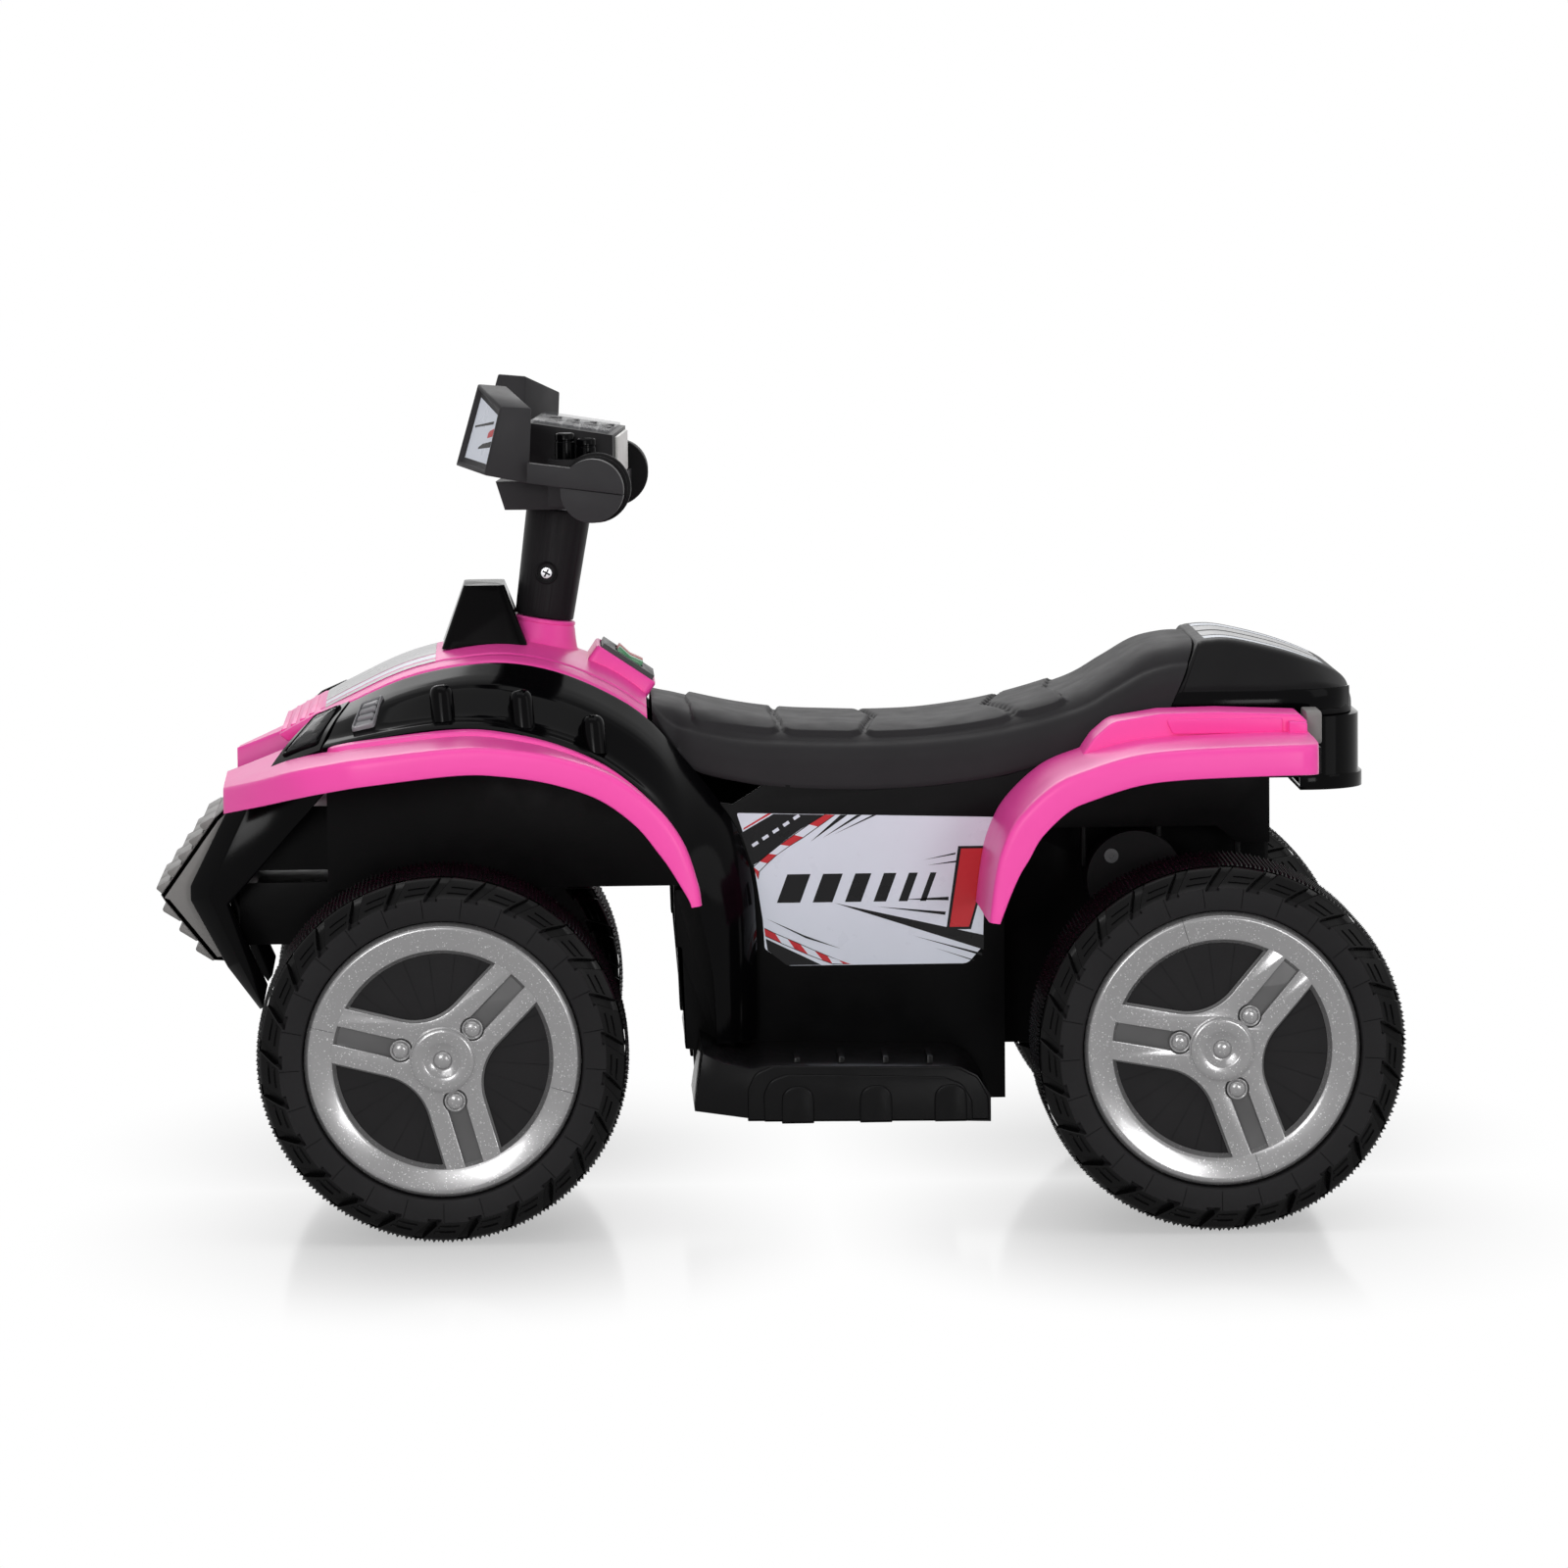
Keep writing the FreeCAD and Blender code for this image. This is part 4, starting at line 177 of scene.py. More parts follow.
look("film_black", "sticker", (0.006, 0.006, 0.007), (0.26, 0.32), 0.05, 0.004, 1.5, specular=0.15)
look("film_red", "sticker", (0.5, 0.012, 0.02), (0.26, 0.32), 0.03, 0.004, 1.5, specular=0.3)
look("film_grey", "sticker", (0.42, 0.42, 0.43), (0.26, 0.32), 0.03, 0.004, 1.2, specular=0.3)
look("steel", "steel", (0.5, 0.5, 0.52), (0.28, 0.42), 0.08, 0.03, 0.6, metallic=1.0)
look("nylon", "gear_plastic", (0.72, 0.69, 0.6), (0.4, 0.5), 0.03, 0.03, 0.8)
look("dark_steel", "steel", (0.05, 0.05, 0.052), (0.35, 0.45), 0.1, 0.03, 0.5, metallic=0.8)
look("case", "battery_case", (0.03, 0.033, 0.04), (0.4, 0.5), 0.06, 0.05, 0.8)
look("red", "red_plastic", (0.42, 0.012, 0.014), (0.25, 0.35), 0.04, 0.02, 0.9)
look("green", "green_plastic", (0.01, 0.2, 0.06), (0.25, 0.35), 0.04, 0.02, 0.9)

# Silver flakes: the lighter flake colour is a painted glint on a few of them
FLAKE_SIZE, FLAKE_DEPTH = 0.5, 0.02
FLAKE_DARK, FLAKE_PAINTED_GLINT = (0.24, 0.237, 0.24), (0.55, 0.55, 0.55)


def silver_look():
    """Metallic plastic with fine flakes, a few of which are painted lighter as painted glints."""
    material = look("silver", "silver_plastic", FLAKE_DARK, (0.17, 0.22), 0.03, metallic=0.45, coat=0.5)
    tree = material.node_tree
    shader = tree.nodes["Principled BSDF"]
    inputs = {"Vector": place_of(tree), "Scale": 1.0 / (FLAKE_SIZE * MM)}
    flakes = node(tree, "ShaderNodeTexVoronoi", inputs, "Color")
    glint_chance = node(tree, "ShaderNodeSeparateColor", {"Color": flakes}, "Red")
    tilt = glint_chance.node.outputs["Green"]
    # A few flakes take the lighter colour as painted glints
    tree.links.new(ramp(tree, glint_chance, FLAKE_DARK, FLAKE_PAINTED_GLINT, 0.95, 0.995), shader.inputs["Base Color"])
    tree.links.new(bump(tree, tilt, FLAKE_DEPTH, 0.06), shader.inputs["Normal"])


def glass_look(name, slot, colour, alpha, rough):
    material = look(name, slot, colour, (rough, rough * 2), 0.02, ripple=0.01, specular=0.1)
    material.node_tree.nodes["Principled BSDF"].inputs["Alpha"].default_value = alpha


silver_look()
glass_look("smoked", "smoked_glass", (0.012, 0.012, 0.014), 0.72, 0.03)
glass_look("clear", "clear_lens", (0.16, 0.165, 0.18), 0.3, 0.06)


# Geometry helpers, all in millimetres
def smooth(rows, steps):
    """Catmull-Rom curve through rows of numbers, with that many spans between each two."""
    found = []
    last = len(rows) - 1
    for i in range(last):
        a, b, c, d = (rows[min(max(j, 0), last)] for j in (i - 1, i, i + 1, i + 2))
        for k in range(steps):
            t = k / steps
            found.append([0.5 * (2 * q + (r - p) * t + (2 * p - 5 * q + 4 * r - s) * t * t
                                 + (3 * q - p - 3 * r + s) * t ** 3) for p, q, r, s in zip(a, b, c, d)])
    return found + [list(rows[-1])]


def step(value, low, high):
    """Smooth rise from 0 to 1 between two values."""
    t = min(max((value - low) / (high - low), 0.0), 1.0)
    return t * t * (3 - 2 * t)


def rounded(points, radius, steps=4):
    """Closed outline with rounded corners; radius is one number or one for each corner."""
    count = len(points)
    radii = radius if isinstance(radius, (list, tuple)) else [radius] * count
    found = []
    for i in range(count):
        corner = Vector(points[i])
        before = Vector(points[i - 1]) - corner
        after = Vector(points[(i + 1) % count]) - corner
        cut = radii[i] / math.tan(max(before.angle(after) / 2, 0.05))
        cut = min(cut, before.length * 0.48, after.length * 0.48)
        before.normalize()
        after.normalize()
        for k in range(steps + 1):
            t = k / steps
            found.append(corner + before * cut * (1 - t) ** 2 + after * cut * t * t)
    return found


def skin(bm, sections, closed=True, caps=True):
    """Quads through sections of equal count; gives back the sections' vertices."""
    rows = [[bm.verts.new(Vector(p) * MM) for p in section] for section in sections]
    count = len(rows[0])
    for first, second in zip(rows, rows[1:]):
        for i in range(count if closed else count - 1):
            j = (i + 1) % count
            bm.faces.new((first[i], first[j], second[j], second[i]))
    if caps:
        bm.faces.new(rows[0][::-1])
        bm.faces.new(rows[-1])
    return rows


def revolve(bm, profile, origin, axis, steps=64):
    """Profile of (radius, height) pairs turned about an axis; a radius of zero closes it."""
    axis = Vector(axis).normalized()
    side = axis.orthogonal().normalized()
    across = axis.cross(side)
    rings = []
    for radius, height in profile:
        base = Vector(origin) + axis * height
        turns = [2 * math.pi * i / steps for i in range(steps if radius else 1)]
        rings.append([bm.verts.new((base + (side * math.cos(a) + across * math.sin(a)) * radius) * MM)
                      for a in turns])
    for low, high in zip(rings, rings[1:]):
        for i in range(steps):
            j = (i + 1) % steps
            if len(low) == 1:
                bm.faces.new((low[0], high[j], high[i]))
            elif len(high) == 1:
                bm.faces.new((low[i], low[j], high[0]))
            else:
                bm.faces.new((low[i], low[j], high[j], high[i]))


def prism(bm, outline, low, high):
    """Side-view outline drawn out between two places across."""
    skin(bm, [[(x, y, z) for x, z in outline] for y in (low, high)])


def soften(bm, width, angle=28.0, segments=2):
    """Bevels the edges that are sharper than an angle."""
    bmesh.ops.recalc_face_normals(bm, faces=bm.faces)
    edges = [e for e in bm.edges if len(e.link_faces) == 2 and e.calc_face_angle(0.0) > math.radians(angle)]
    bmesh.ops.bevel(bm, geom=edges, offset=width * MM, segments=segments, profile=0.5, affect="EDGES",
                    clamp_overlap=True)


def show(name, bm, style, body, nodes):
    """Turns a bmesh into a piece that rides on a body and may stand in for solids of the CAD."""
    mesh = bpy.data.meshes.new(name)
    bm.to_mesh(mesh)
    bm.free()
    material, slot = LOOKS[style]
    mesh.materials.append(material)
    shown = bpy.data.objects.new(name, mesh)
    bpy.context.scene.collection.objects.link(shown)
    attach(shown, body)
    if nodes:
        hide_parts(*nodes)
    return shown


def piece(name, bm, style, body="chassis", nodes=(), angle=38.0, matrix=None):
    """Shows a bmesh with smooth faces and the edges sharper than an angle left sharp."""
    if matrix:
        bmesh.ops.transform(bm, matrix=matrix, verts=bm.verts)
    bmesh.ops.recalc_face_normals(bm, faces=bm.faces)
    for face in bm.faces:
        face.smooth = True
    for edge in bm.edges:
        edge.smooth = len(edge.link_faces) == 2 and edge.calc_face_angle(0.0) < math.radians(angle)
    return show(name, bm, style, body, nodes)


def both(name, bm, style, left_nodes=(), right_nodes=(), angle=38.0):
    """A fixed piece of the left side and its mirror image on the right."""
    left = piece("left_" + name, bm, style, "chassis", left_nodes, angle)
    bm = bmesh.new()
    bm.from_mesh(left.data)
    bmesh.ops.transform(bm, matrix=Matrix.Diagonal((1, -1, 1, 1)), verts=bm.verts)
    bmesh.ops.reverse_faces(bm, faces=bm.faces)
    show("right_" + name, bm, style, "chassis", right_nodes)


BODY_OF = {n: body for body, nodes in frame["record"]["behaviour"]["bodies"].items() for n in nodes}
WELD_DISTANCE, FLAT_DEG = 0.004, 0.6


def dressed(name, style, width):
    """A CAD solid with its edges rounded, shown in place of the plain one."""
    bm = bmesh.new()
    bm.from_mesh(frame["nodes"][name].data)
    bmesh.ops.remove_doubles(bm, verts=bm.verts, dist=WELD_DISTANCE * MM)
    bmesh.ops.dissolve_limit(bm, angle_limit=math.radians(FLAT_DEG), verts=bm.verts, edges=bm.edges)
    soften(bm, width, 30.0)
    piece(name + "_form", bm, style, BODY_OF[name], [name])


# Wheels. Local axes: X and Z as the bike's, Y out of the outer face.
LUGS = 25
LUG_PITCH_AT = 95.0
LUG_PITCH = 2 * math.pi * LUG_PITCH_AT / LUGS
LUG_GAP_HALF, LUG_DEPTH, LUG_LEAN, LUG_EDGE, LUG_FLARE = 3.2, 4.2, 8.0, 0.45, 0.8
RIB_HEIGHT = 0.9
RIB_FROM_SHARE, RIB_TO_SHARE = 0.3, 0.8
FACE_Y = TYRE_HALF - 0.1
DISC_Y = 33.0
DISC_RADII = (12.0, 58.0, 74.0)
SIDEWALL_IN, SIDEWALL_OUT = 77.0, 89.2
SHOULDER_OUT, SHOULDER_Y = 98.4, 34.8
SHOULDER_IN_Y = FACE_Y - 0.5
CROWN_R, CROWN_HALF = 99.9, 31.2
KNOBS, KNOB_ROWS, KNOB_HEIGHT = 125, 20, 2.0
TREAD_FROM = SIDEWALL_OUT - 0.1
# Lip at the rim: radius past the sidewall's inner edge and y past the face
LIP_FORM = ((-0.6, -1.2), (0.0, -0.3), (1.0, 0.0))
# Notches in the sidewall: radius past its outer edge and share of the gap's depth
NOTCH_FORM = ((-2.1, 0.0), (-1.9, 0.45), (-0.4, 0.6))
# Share across the shoulder, and whether a rib stands there
SHOULDER_SHARES = ((0.0, 0), (0.24, 0), (0.27, 1), (0.32, 1), (0.35, 0), (0.57, 0), (0.6, 1), (0.65, 1),
                   (0.68, 0), (0.97, 0))
# Radius and y past the shoulder or the crown, and share of the gap's depth
SHOULDER_EDGE = ((0.6, -0.5, 0.9), (1.3, -1.7, 0.6))
CROWN_EDGE = ((-0.3, 0.4, 0.2), (-1.2, -1.0, 0.0))


def around(radius, y, angle):
    """Point at a radius from a wheel's axis."""
    return Vector((radius * math.cos(angle), y, radius * math.sin(angle)))


def tyre_rows():
    """Rows of (radius, y, gap depth share, rib share) from the disc out to the edge of the crown."""
    rows = [(radius, DISC_Y, 0, 0) for radius in DISC_RADII]
    rows.append((SIDEWALL_IN - 1.0, DISC_Y + 1.0, 0, 0))
    rows += [(SIDEWALL_IN + r, FACE_Y + y, 0, 0) for r, y in LIP_FORM]
    rows += [(SIDEWALL_OUT + r, FACE_Y, gap, 0) for r, gap in NOTCH_FORM]
    for share, rib in SHOULDER_SHARES:
        radius = SIDEWALL_OUT + (SHOULDER_OUT - SIDEWALL_OUT) * share
        rows.append((radius, SHOULDER_IN_Y + (SHOULDER_Y - SHOULDER_IN_Y) * share, 1.0, rib))
    rows += [(SHOULDER_OUT + r, SHOULDER_Y + y, gap, 0) for r, y, gap in SHOULDER_EDGE]
    return rows + [(CROWN_R + r, CROWN_HALF + y, gap, 0) for r, y, gap in CROWN_EDGE]


def tyre_columns():
    """Columns over one lug as (place from the middle of a gap, gap share, rib share)."""
    rib_from = LUG_PITCH * RIB_FROM_SHARE
    rib_to = LUG_PITCH * RIB_TO_SHARE
    near, far = LUG_GAP_HALF, LUG_PITCH - LUG_GAP_HALF
    gap = [(0.0, 1, 0), (near - LUG_EDGE, 1, 0), (near, 0.12, 0), (near + LUG_EDGE, 0, 0)]
    rib = [(rib_from, 0, 0), (rib_from + LUG_EDGE, 0, 1), (LUG_PITCH / 2, 0, 1), (rib_to - LUG_EDGE, 0, 1),
           (rib_to, 0, 0)]
    return gap + rib + [(far - LUG_EDGE, 0, 0), (far, 0.12, 0), (far + LUG_EDGE, 1, 0)]


def tyre_wall(bm, sign):
    """Disc, sidewall and lugs of one face of the tyre."""
    slope = Vector((SHOULDER_OUT - SIDEWALL_OUT, SHOULDER_Y - TYRE_HALF))
    normal = Vector((-slope.y, slope.x)).normalized()
    rings = []
    for radius, y, gap, rib in tyre_rows():
        ring = []
        flare = LUG_FLARE if radius < SIDEWALL_OUT else 0.0
        lean = LUG_LEAN * max(radius - SIDEWALL_OUT, 0.0) / (SHOULDER_OUT - SIDEWALL_OUT)
        for lug in range(LUGS):
            for place, gap_here, rib_here in tyre_columns():
                side = -1 if place > LUG_PITCH / 2 else 1
                near_gap = place if side > 0 else LUG_PITCH - place
                spread = flare * side if 0 < near_gap < LUG_GAP_HALF * 1.5 else 0.0
                angle = (lug * LUG_PITCH + place + spread + lean) / LUG_PITCH_AT
                lift = RIB_HEIGHT * rib * rib_here - LUG_DEPTH * gap * gap_here
                ring.append(around(radius + normal.x * lift, (y + normal.y * lift) * sign, angle))
        rings.append(ring)
    rows = skin(bm, rings, True, False)
    bm.faces.new(rows[0])


def tyre_crown(bm):
    """Tread of small pyramid knobs in staggered rows."""
    steps = KNOBS * 4
    rings = []
    for j in range(2 * KNOB_ROWS + 1):
        y = CROWN_HALF * (1 - j / KNOB_ROWS)
        ring = []
        for i in range(steps):
            knob = j % 2 == 1 and i % 4 == j % 4 - 1
            ring.append(around(CROWN_R + knob * KNOB_HEIGHT, y, 2 * math.pi * i / steps))
        rings.append(ring)
    skin(bm, rings, True, False)


# Inner face: radius, distance from the wheel's middle, share of the ribs' height
BACK_ROWS = ((75.4, 37.0, 0), (66.0, 37.6, 0.6), (50.0, 38.4, 1.0), (34.0, 39.2, 1.0), (22.0, 39.8, 0.4),
             (16.0, 40.0, 0), (6.0, 40.0, 0))
BACK_RIBS, BACK_RIB_HEIGHT = 12, 2.2


def tyre_back(bm):
    """Inner face with moulded radial ribs."""
    steps = BACK_RIBS * 10
    turns = [2 * math.pi * i / steps for i in range(steps)]
    ribs = [BACK_RIB_HEIGHT * step(math.cos(BACK_RIBS * turn), 0.6, 0.9) for turn in turns]
    skin(bm, [[around(radius, rib * share - y, turn) for turn, rib in zip(turns, ribs)]
              for radius, y, share in BACK_ROWS], True, False)


def tyre_mesh():
    bm = bmesh.new()
    tyre_wall(bm, 1)
    tyre_crown(bm)
    tyre_wall(bm, -1)
    tyre_back(bm)
    return bm


SPOKE_DEG = {"front": 14.0, "rear": 10.0}
SPOKE_PITCH = 2 * math.pi / 3
SPOKE_HALF, CHANNEL_HALF, CHANNEL_ROUND = 15.0, 5.0, 6.4
COVER_BACK = DISC_Y + 0.3
PLATE_LOW, PLATE_TOP = COVER_BACK + 0.7, COVER_BACK + 4.2
RING_OUT, RING_IN = 75.6, 60.4
PLATE_R, WINDOW_R, CHANNEL_R = RING_IN + 4.0, RING_IN + 2.0, RING_IN + 0.9
WINDOW_EDGE, FLOOR_EDGE, NOTCH_R = 0.4, 1.5, 32.0
BOSS_AT = 23.5
# Forms turned about the axis, as radius and height over the back of the cover
RING_FACE = ((60.9, 4.4), (62.2, 4.7), (70.8, 6.5), (71.8, 6.6), (72.8, 6.4), (73.8, 5.7), (74.9, 4.2))
RING_FORM = ((RING_IN - 2.4, 0.0), (RING_IN - 0.7, 3.2), (RING_IN - 0.2, 4.1), *RING_FACE,
             (RING_OUT, 2.6), (RING_OUT, 0.0))
HUB_FORM = ((18.2, 2.0), (18.2, 4.9), (17.4, 5.2), (17.2, 5.9), (16.4, 6.4), (15.2, 6.5), (10.4, 6.5),
            (9.6, 6.2), (6.4, 4.4), (5.2, 4.4), (4.9, 4.9), (4.0, 5.8), (2.4, 6.3), (0.0, 6.5))
BOSS_FORM = ((5.7, 2.0), (5.7, 4.8), (5.3, 5.1), (4.8, 4.9), (4.5, 4.7), (4.2, 5.4), (3.4, 6.0), (1.9, 6.4),
             (0.0, 6.5))
WELD_DEG = {"front": 15.0, "rear": 73.0}
WELD_HALF_TURN, WELD_LIFT = 0.0022, 0.05


def polar(radius, angle):
    return radius * math.cos(angle), radius * math.sin(angle)


def window(angle, edge):
    """Opening between two spokes: straight sides, a wide fillet near the hub, and the rim's arc."""
    half = SPOKE_HALF + edge
    fillet = NOTCH_R - edge
    far = math.asin(half / WINDOW_R)
    middle = angle + SPOKE_PITCH / 2
    cx, cz = polar((half + fillet) / math.sin(SPOKE_PITCH / 2), middle)
    outline = [polar(WINDOW_R, angle + far + (SPOKE_PITCH - 2 * far) * k / 24) for k in range(25)]
    for k in range(13):
        x, z = polar(fillet, middle + math.pi + (math.pi - SPOKE_PITCH) * (k / 12 - 0.5))
        outline.append((cx + x, cz + z))
    return outline


def channel(angle):
    """Sunk channel along a spoke, from its boss out to the rim."""
    arc = [polar(CHANNEL_ROUND, math.radians(52 + 256 * k / 16)) for k in range(17)]
    outline = [(BOSS_AT + x, z) for x, z in arc] + [(CHANNEL_R, -CHANNEL_HALF), (CHANNEL_R, CHANNEL_HALF)]
    c, s = polar(1.0, angle)
    return [(x * c - z * s, x * s + z * c) for x, z in outline]


def plate(bm, holes, low, high, edge):
    """Round flat plate with holes and rounded edges, made from a filled curve."""
    curve = bpy.data.curves.new("plate", "CURVE")
    curve.dimensions = "2D"
    curve.fill_mode = "BOTH"
    curve.extrude = (high - low) / 2 - edge
    curve.bevel_depth = edge
    curve.bevel_resolution = 2
    curve.offset = -edge
    disc = [polar(PLATE_R, 2 * math.pi * k / 90) for k in range(90)]
    for loop in [disc] + holes:
        spline = curve.splines.new("POLY")
        spline.points.add(len(loop) - 1)
        for point, (a, b) in zip(spline.points, loop):
            point.co = (a, b, 0.0, 1.0)
        spline.use_cyclic_u = True
    holder = bpy.data.objects.new("plate", curve)
    bpy.context.scene.collection.objects.link(holder)
    bpy.context.view_layer.update()
    mesh = bpy.data.meshes.new_from_object(holder.evaluated_get(bpy.context.evaluated_depsgraph_get()))
    mesh.transform(Matrix(((1, 0, 0, 0), (0, 0, 1, (low + high) / 2), (0, 1, 0, 0), (0, 0, 0, 1))))
    mesh.transform(Matrix.Diagonal((MM, MM, MM, 1)))
    mesh.flip_normals()
    bm.from_mesh(mesh)
    bpy.data.objects.remove(holder)
    bpy.data.curves.remove(curve)
    bpy.data.meshes.remove(mesh)
    bmesh.ops.remove_doubles(bm, verts=bm.verts, dist=0.01 * MM)


def wheel_cover(angles):
    """Three double spokes, rim ring, hub cap and bosses."""
    bm = bmesh.new()
    holes = [window(a, WINDOW_EDGE) for a in angles] + [channel(a) for a in angles]
    plate(bm, holes, PLATE_LOW - 0.2, PLATE_TOP, 0.6)
    revolve(bm, RING_FORM, (0, COVER_BACK, 0), (0, 1, 0), 120)
    revolve(bm, HUB_FORM, (0, COVER_BACK, 0), (0, 1, 0), 64)
    for angle in angles:
        revolve(bm, BOSS_FORM, around(BOSS_AT, COVER_BACK, angle), (0, 1, 0), 40)
    return bm


def cover_floor(angles):
    """Sunk floor of the spokes, seen in their channels and as a step round the openings; its darker silver is
    painted shade in the recess.
    """
    bm = bmesh.new()
    plate(bm, [window(a, FLOOR_EDGE) for a in angles], COVER_BACK, PLATE_LOW, 0.3)
    return bm


def weld_lines(degrees):
    """Two faint flow lines across the rim ring, opposite each other."""
    bm = bmesh.new()
    for middle in (math.radians(degrees), math.radians(degrees + 180.0)):
        skin(bm, [[around(r, COVER_BACK + y + WELD_LIFT, middle + turn) for r, y in RING_FACE]
                  for turn in (-WELD_HALF_TURN, WELD_HALF_TURN)], False, False)
    return bm


def wheels():
    for side, sign in SIDES.items():
        for end, axle_x in (("front", FRONT_AXLE_X), ("rear", REAR_AXLE_X)):
            wheel = "%s_%s" % (side, end)
            body = wheel + "_wheel"
            middle = Vector((axle_x, WHEEL_Y * sign, AXLE_Z)) * MM
            place = Matrix.Translation(middle) @ Matrix.Diagonal((1, sign, 1, 1))
            angles = [math.radians(SPOKE_DEG[end]) + SPOKE_PITCH * k for k in range(3)]
            tyre = piece(body + "_tread", tyre_mesh(), "tyre", body, [wheel + "_tyre"], 24.0, place)
            tyre.data.materials.append(LOOKS["tread_black"][0])
            for polygon in tyre.data.polygons:
                out = polygon.center - middle
                polygon.material_index = int(math.hypot(out.x, out.z) > TREAD_FROM * MM)
            piece(body + "_trim", wheel_cover(angles), "silver", body, [wheel + "_wheel_cover"], 35.0, place)
            # The sunk floor takes the darker silver, which is painted shade in the channels
            piece(body + "_floor", cover_floor(angles), "silver_painted_shade", body, (), 35.0, place)
            piece(body + "_weld", weld_lines(WELD_DEG[end]), "panel_grey", body, (), 35.0, place)


wheels()


# Sheets: curved panels ruled between two edges, swollen outward
class Sheet:
    """Panel between an upper and a lower edge, given as rows of two points, with a swell between them."""

    def __init__(self, rows, steps, swell, form=None):
        self.rows = smooth(rows, steps)
        self.swell = swell
        self.form = form

    def row(self, u):
        u = min(max(u, 0.0), len(self.rows) - 1.0)
        i = min(int(u), len(self.rows) - 2)
        t = u - i
        values = [a + (b - a) * t for a, b in zip(self.rows[i], self.rows[i + 1])]
        return Vector(values[:3]), Vector(values[3:6])

    def normal(self, u):
        a0, b0 = self.row(u - 0.5)
        a1, b1 = self.row(u + 0.5)
        top, low = self.row(u)
        return (low - top).cross((a1 + b1) - (a0 + b0)).normalized()

    def point(self, u, v, lift=0.0):
        top, low = self.row(u)
        out = self.swell * 4 * v * (1 - v)
        if self.form:
            out = self.form(u, v, out)
        return top + (low - top) * v + self.normal(u) * (out + lift)

    def at_x(self, x, v):
        """Place along the panel where its surface crosses an x."""
        return min(range(len(self.rows)), key=lambda u: abs(self.point(u, v).x - x))

    def local(self, u, v, p, q):
        """Place p millimetres along and q millimetres across from a place on the panel."""
        top, low = self.row(u)
        run = self.point(u + 1, v) - self.point(u - 1, v)
        return u + p * 2 / run.length, v + q / (low - top).length


def on_sheet(bm, sheet, u, v, outline, rings):
    """Raised form on a sheet: an outline that is drawn in and lifted ring by ring, then closed."""
    a, b = (sum(point[k] for point in outline) / len(outline) for k in (0, 1))
    sections = []
    for share, lift in rings:
        points = [(a + (p - a) * share, b + (q - b) * share) for p, q in outline]
        sections.append([sheet.point(*sheet.local(u, v, p, q), lift) for p, q in points])
    skin(bm, sections)


# Front strip: x, y and z of its upper and of its lower edge
STRIP_ROWS = (
    (232, 74.3, 287, 247, 128, 266), (203, 74.3, 299.4, 215, 128, 271.5), (174, 74.3, 306, 178, 128, 276),
    (145, 74.3, 308, 145, 128, 273.5), (115, 74.3, 302, 108, 128, 262.5), (86, 74.3, 289, 85, 128, 249),
    (67, 75, 276, 66, 128, 232), (50, 80, 258, 54, 128, 212), (33, 88, 238, 46, 128, 190),
    (18, 94, 216, 40, 127.5, 172), (10, 98, 190, 36, 127, 155), (7.5, 99, 159, 33, 126.5, 138),
    (7.5, 99, 130, 31.5, 126, 118), (8, 99, 98, 31, 126, 98))
STRIP_STEPS, STRIP_SWELL, STRIP_THICK, STRIP_EDGE_ROLL = 12, 5.0, 4.0, 0.9
# Rows of the strip between which it turns into the leg and its shaped face into a plain bulge
LEG_FROM, LEG_TO = 6.5, 9.5
FACE_FROM, FACE_TO = 5.2, 7.2
LEG_BACK_Y = 94.0
# Share across the strip and height over its chord: shoulder, steep face, ledge with a rolled edge
STRIP_FORM = (
    (0.0, 0.0), (0.04, 0.9), (0.3, 4.4), (0.4, 5.4), (0.46, 5.6), (0.51, 5.2), (0.56, 4.2), (0.76, -0.6),
    (0.8, -1.2), (0.84, -1.0), (0.93, 0.9), (0.97, 1.0), (1.0, 0.0))
NOSE_FORM_SHARE, NOSE_FORM_TO = 0.25, 2.2
VENT_X = (181.0, 137.0, 97.0)
VENT_R, VENT_HEIGHT, VENT_AT_SHARE, VENT_SUNK = 6.6, 19.0, 0.83, 3.0
VENT_AXIS = (0.08, -0.16, 1.0)
VENT_SHARES = ((1.0, -0.15), (1.0, 0.66), (0.97, 0.77), (0.88, 0.87), (0.72, 0.945), (0.5, 0.99), (0.25, 1.0),
               (0.0, 0.995))
# Louvre on the strip: outlines along and across it, then share of the outline and lift of each ring
LOUVRE_X, LOUVRE_X_SHARE, LOUVRE_AT_SHARE = 226.0, 0.6, 0.58
LOUVRE_OUTLINE = ((-4.0, -15.5), (9.0, -15.5), (9.0, 12.0), (-4.0, 12.0))
LOUVRE_RINGS = ((1.0, -0.6), (0.98, 1.6), (0.94, 2.4), (0.86, 2.2), (0.82, 0.4))
SLATS, SLAT_FROM, SLAT_PITCH = 4, -11.5, 6.0
SLAT_OUTLINE = ((-2.6, 0.0), (7.6, 0.6), (7.6, 4.0), (-2.6, 3.4))
SLAT_RINGS = ((1.0, 0.0), (0.95, 1.4), (0.8, 2.0))


def strip_form(u, v, plain):
    """Height of the strip over its chord: shaped beside the hood, plain bulge down the leg."""
    for (v0, h0), (v1, h1) in zip(STRIP_FORM, STRIP_FORM[1:]):
        if v <= v1:
            nose = NOSE_FORM_SHARE + (1 - NOSE_FORM_SHARE) * step(u / STRIP_STEPS, 0.0, NOSE_FORM_TO)
            shaped = (h0 + (h1 - h0) * (v - v0) / (v1 - v0)) * nose
            return shaped + (plain - shaped) * step(u / STRIP_STEPS, FACE_FROM, FACE_TO)
    return plain


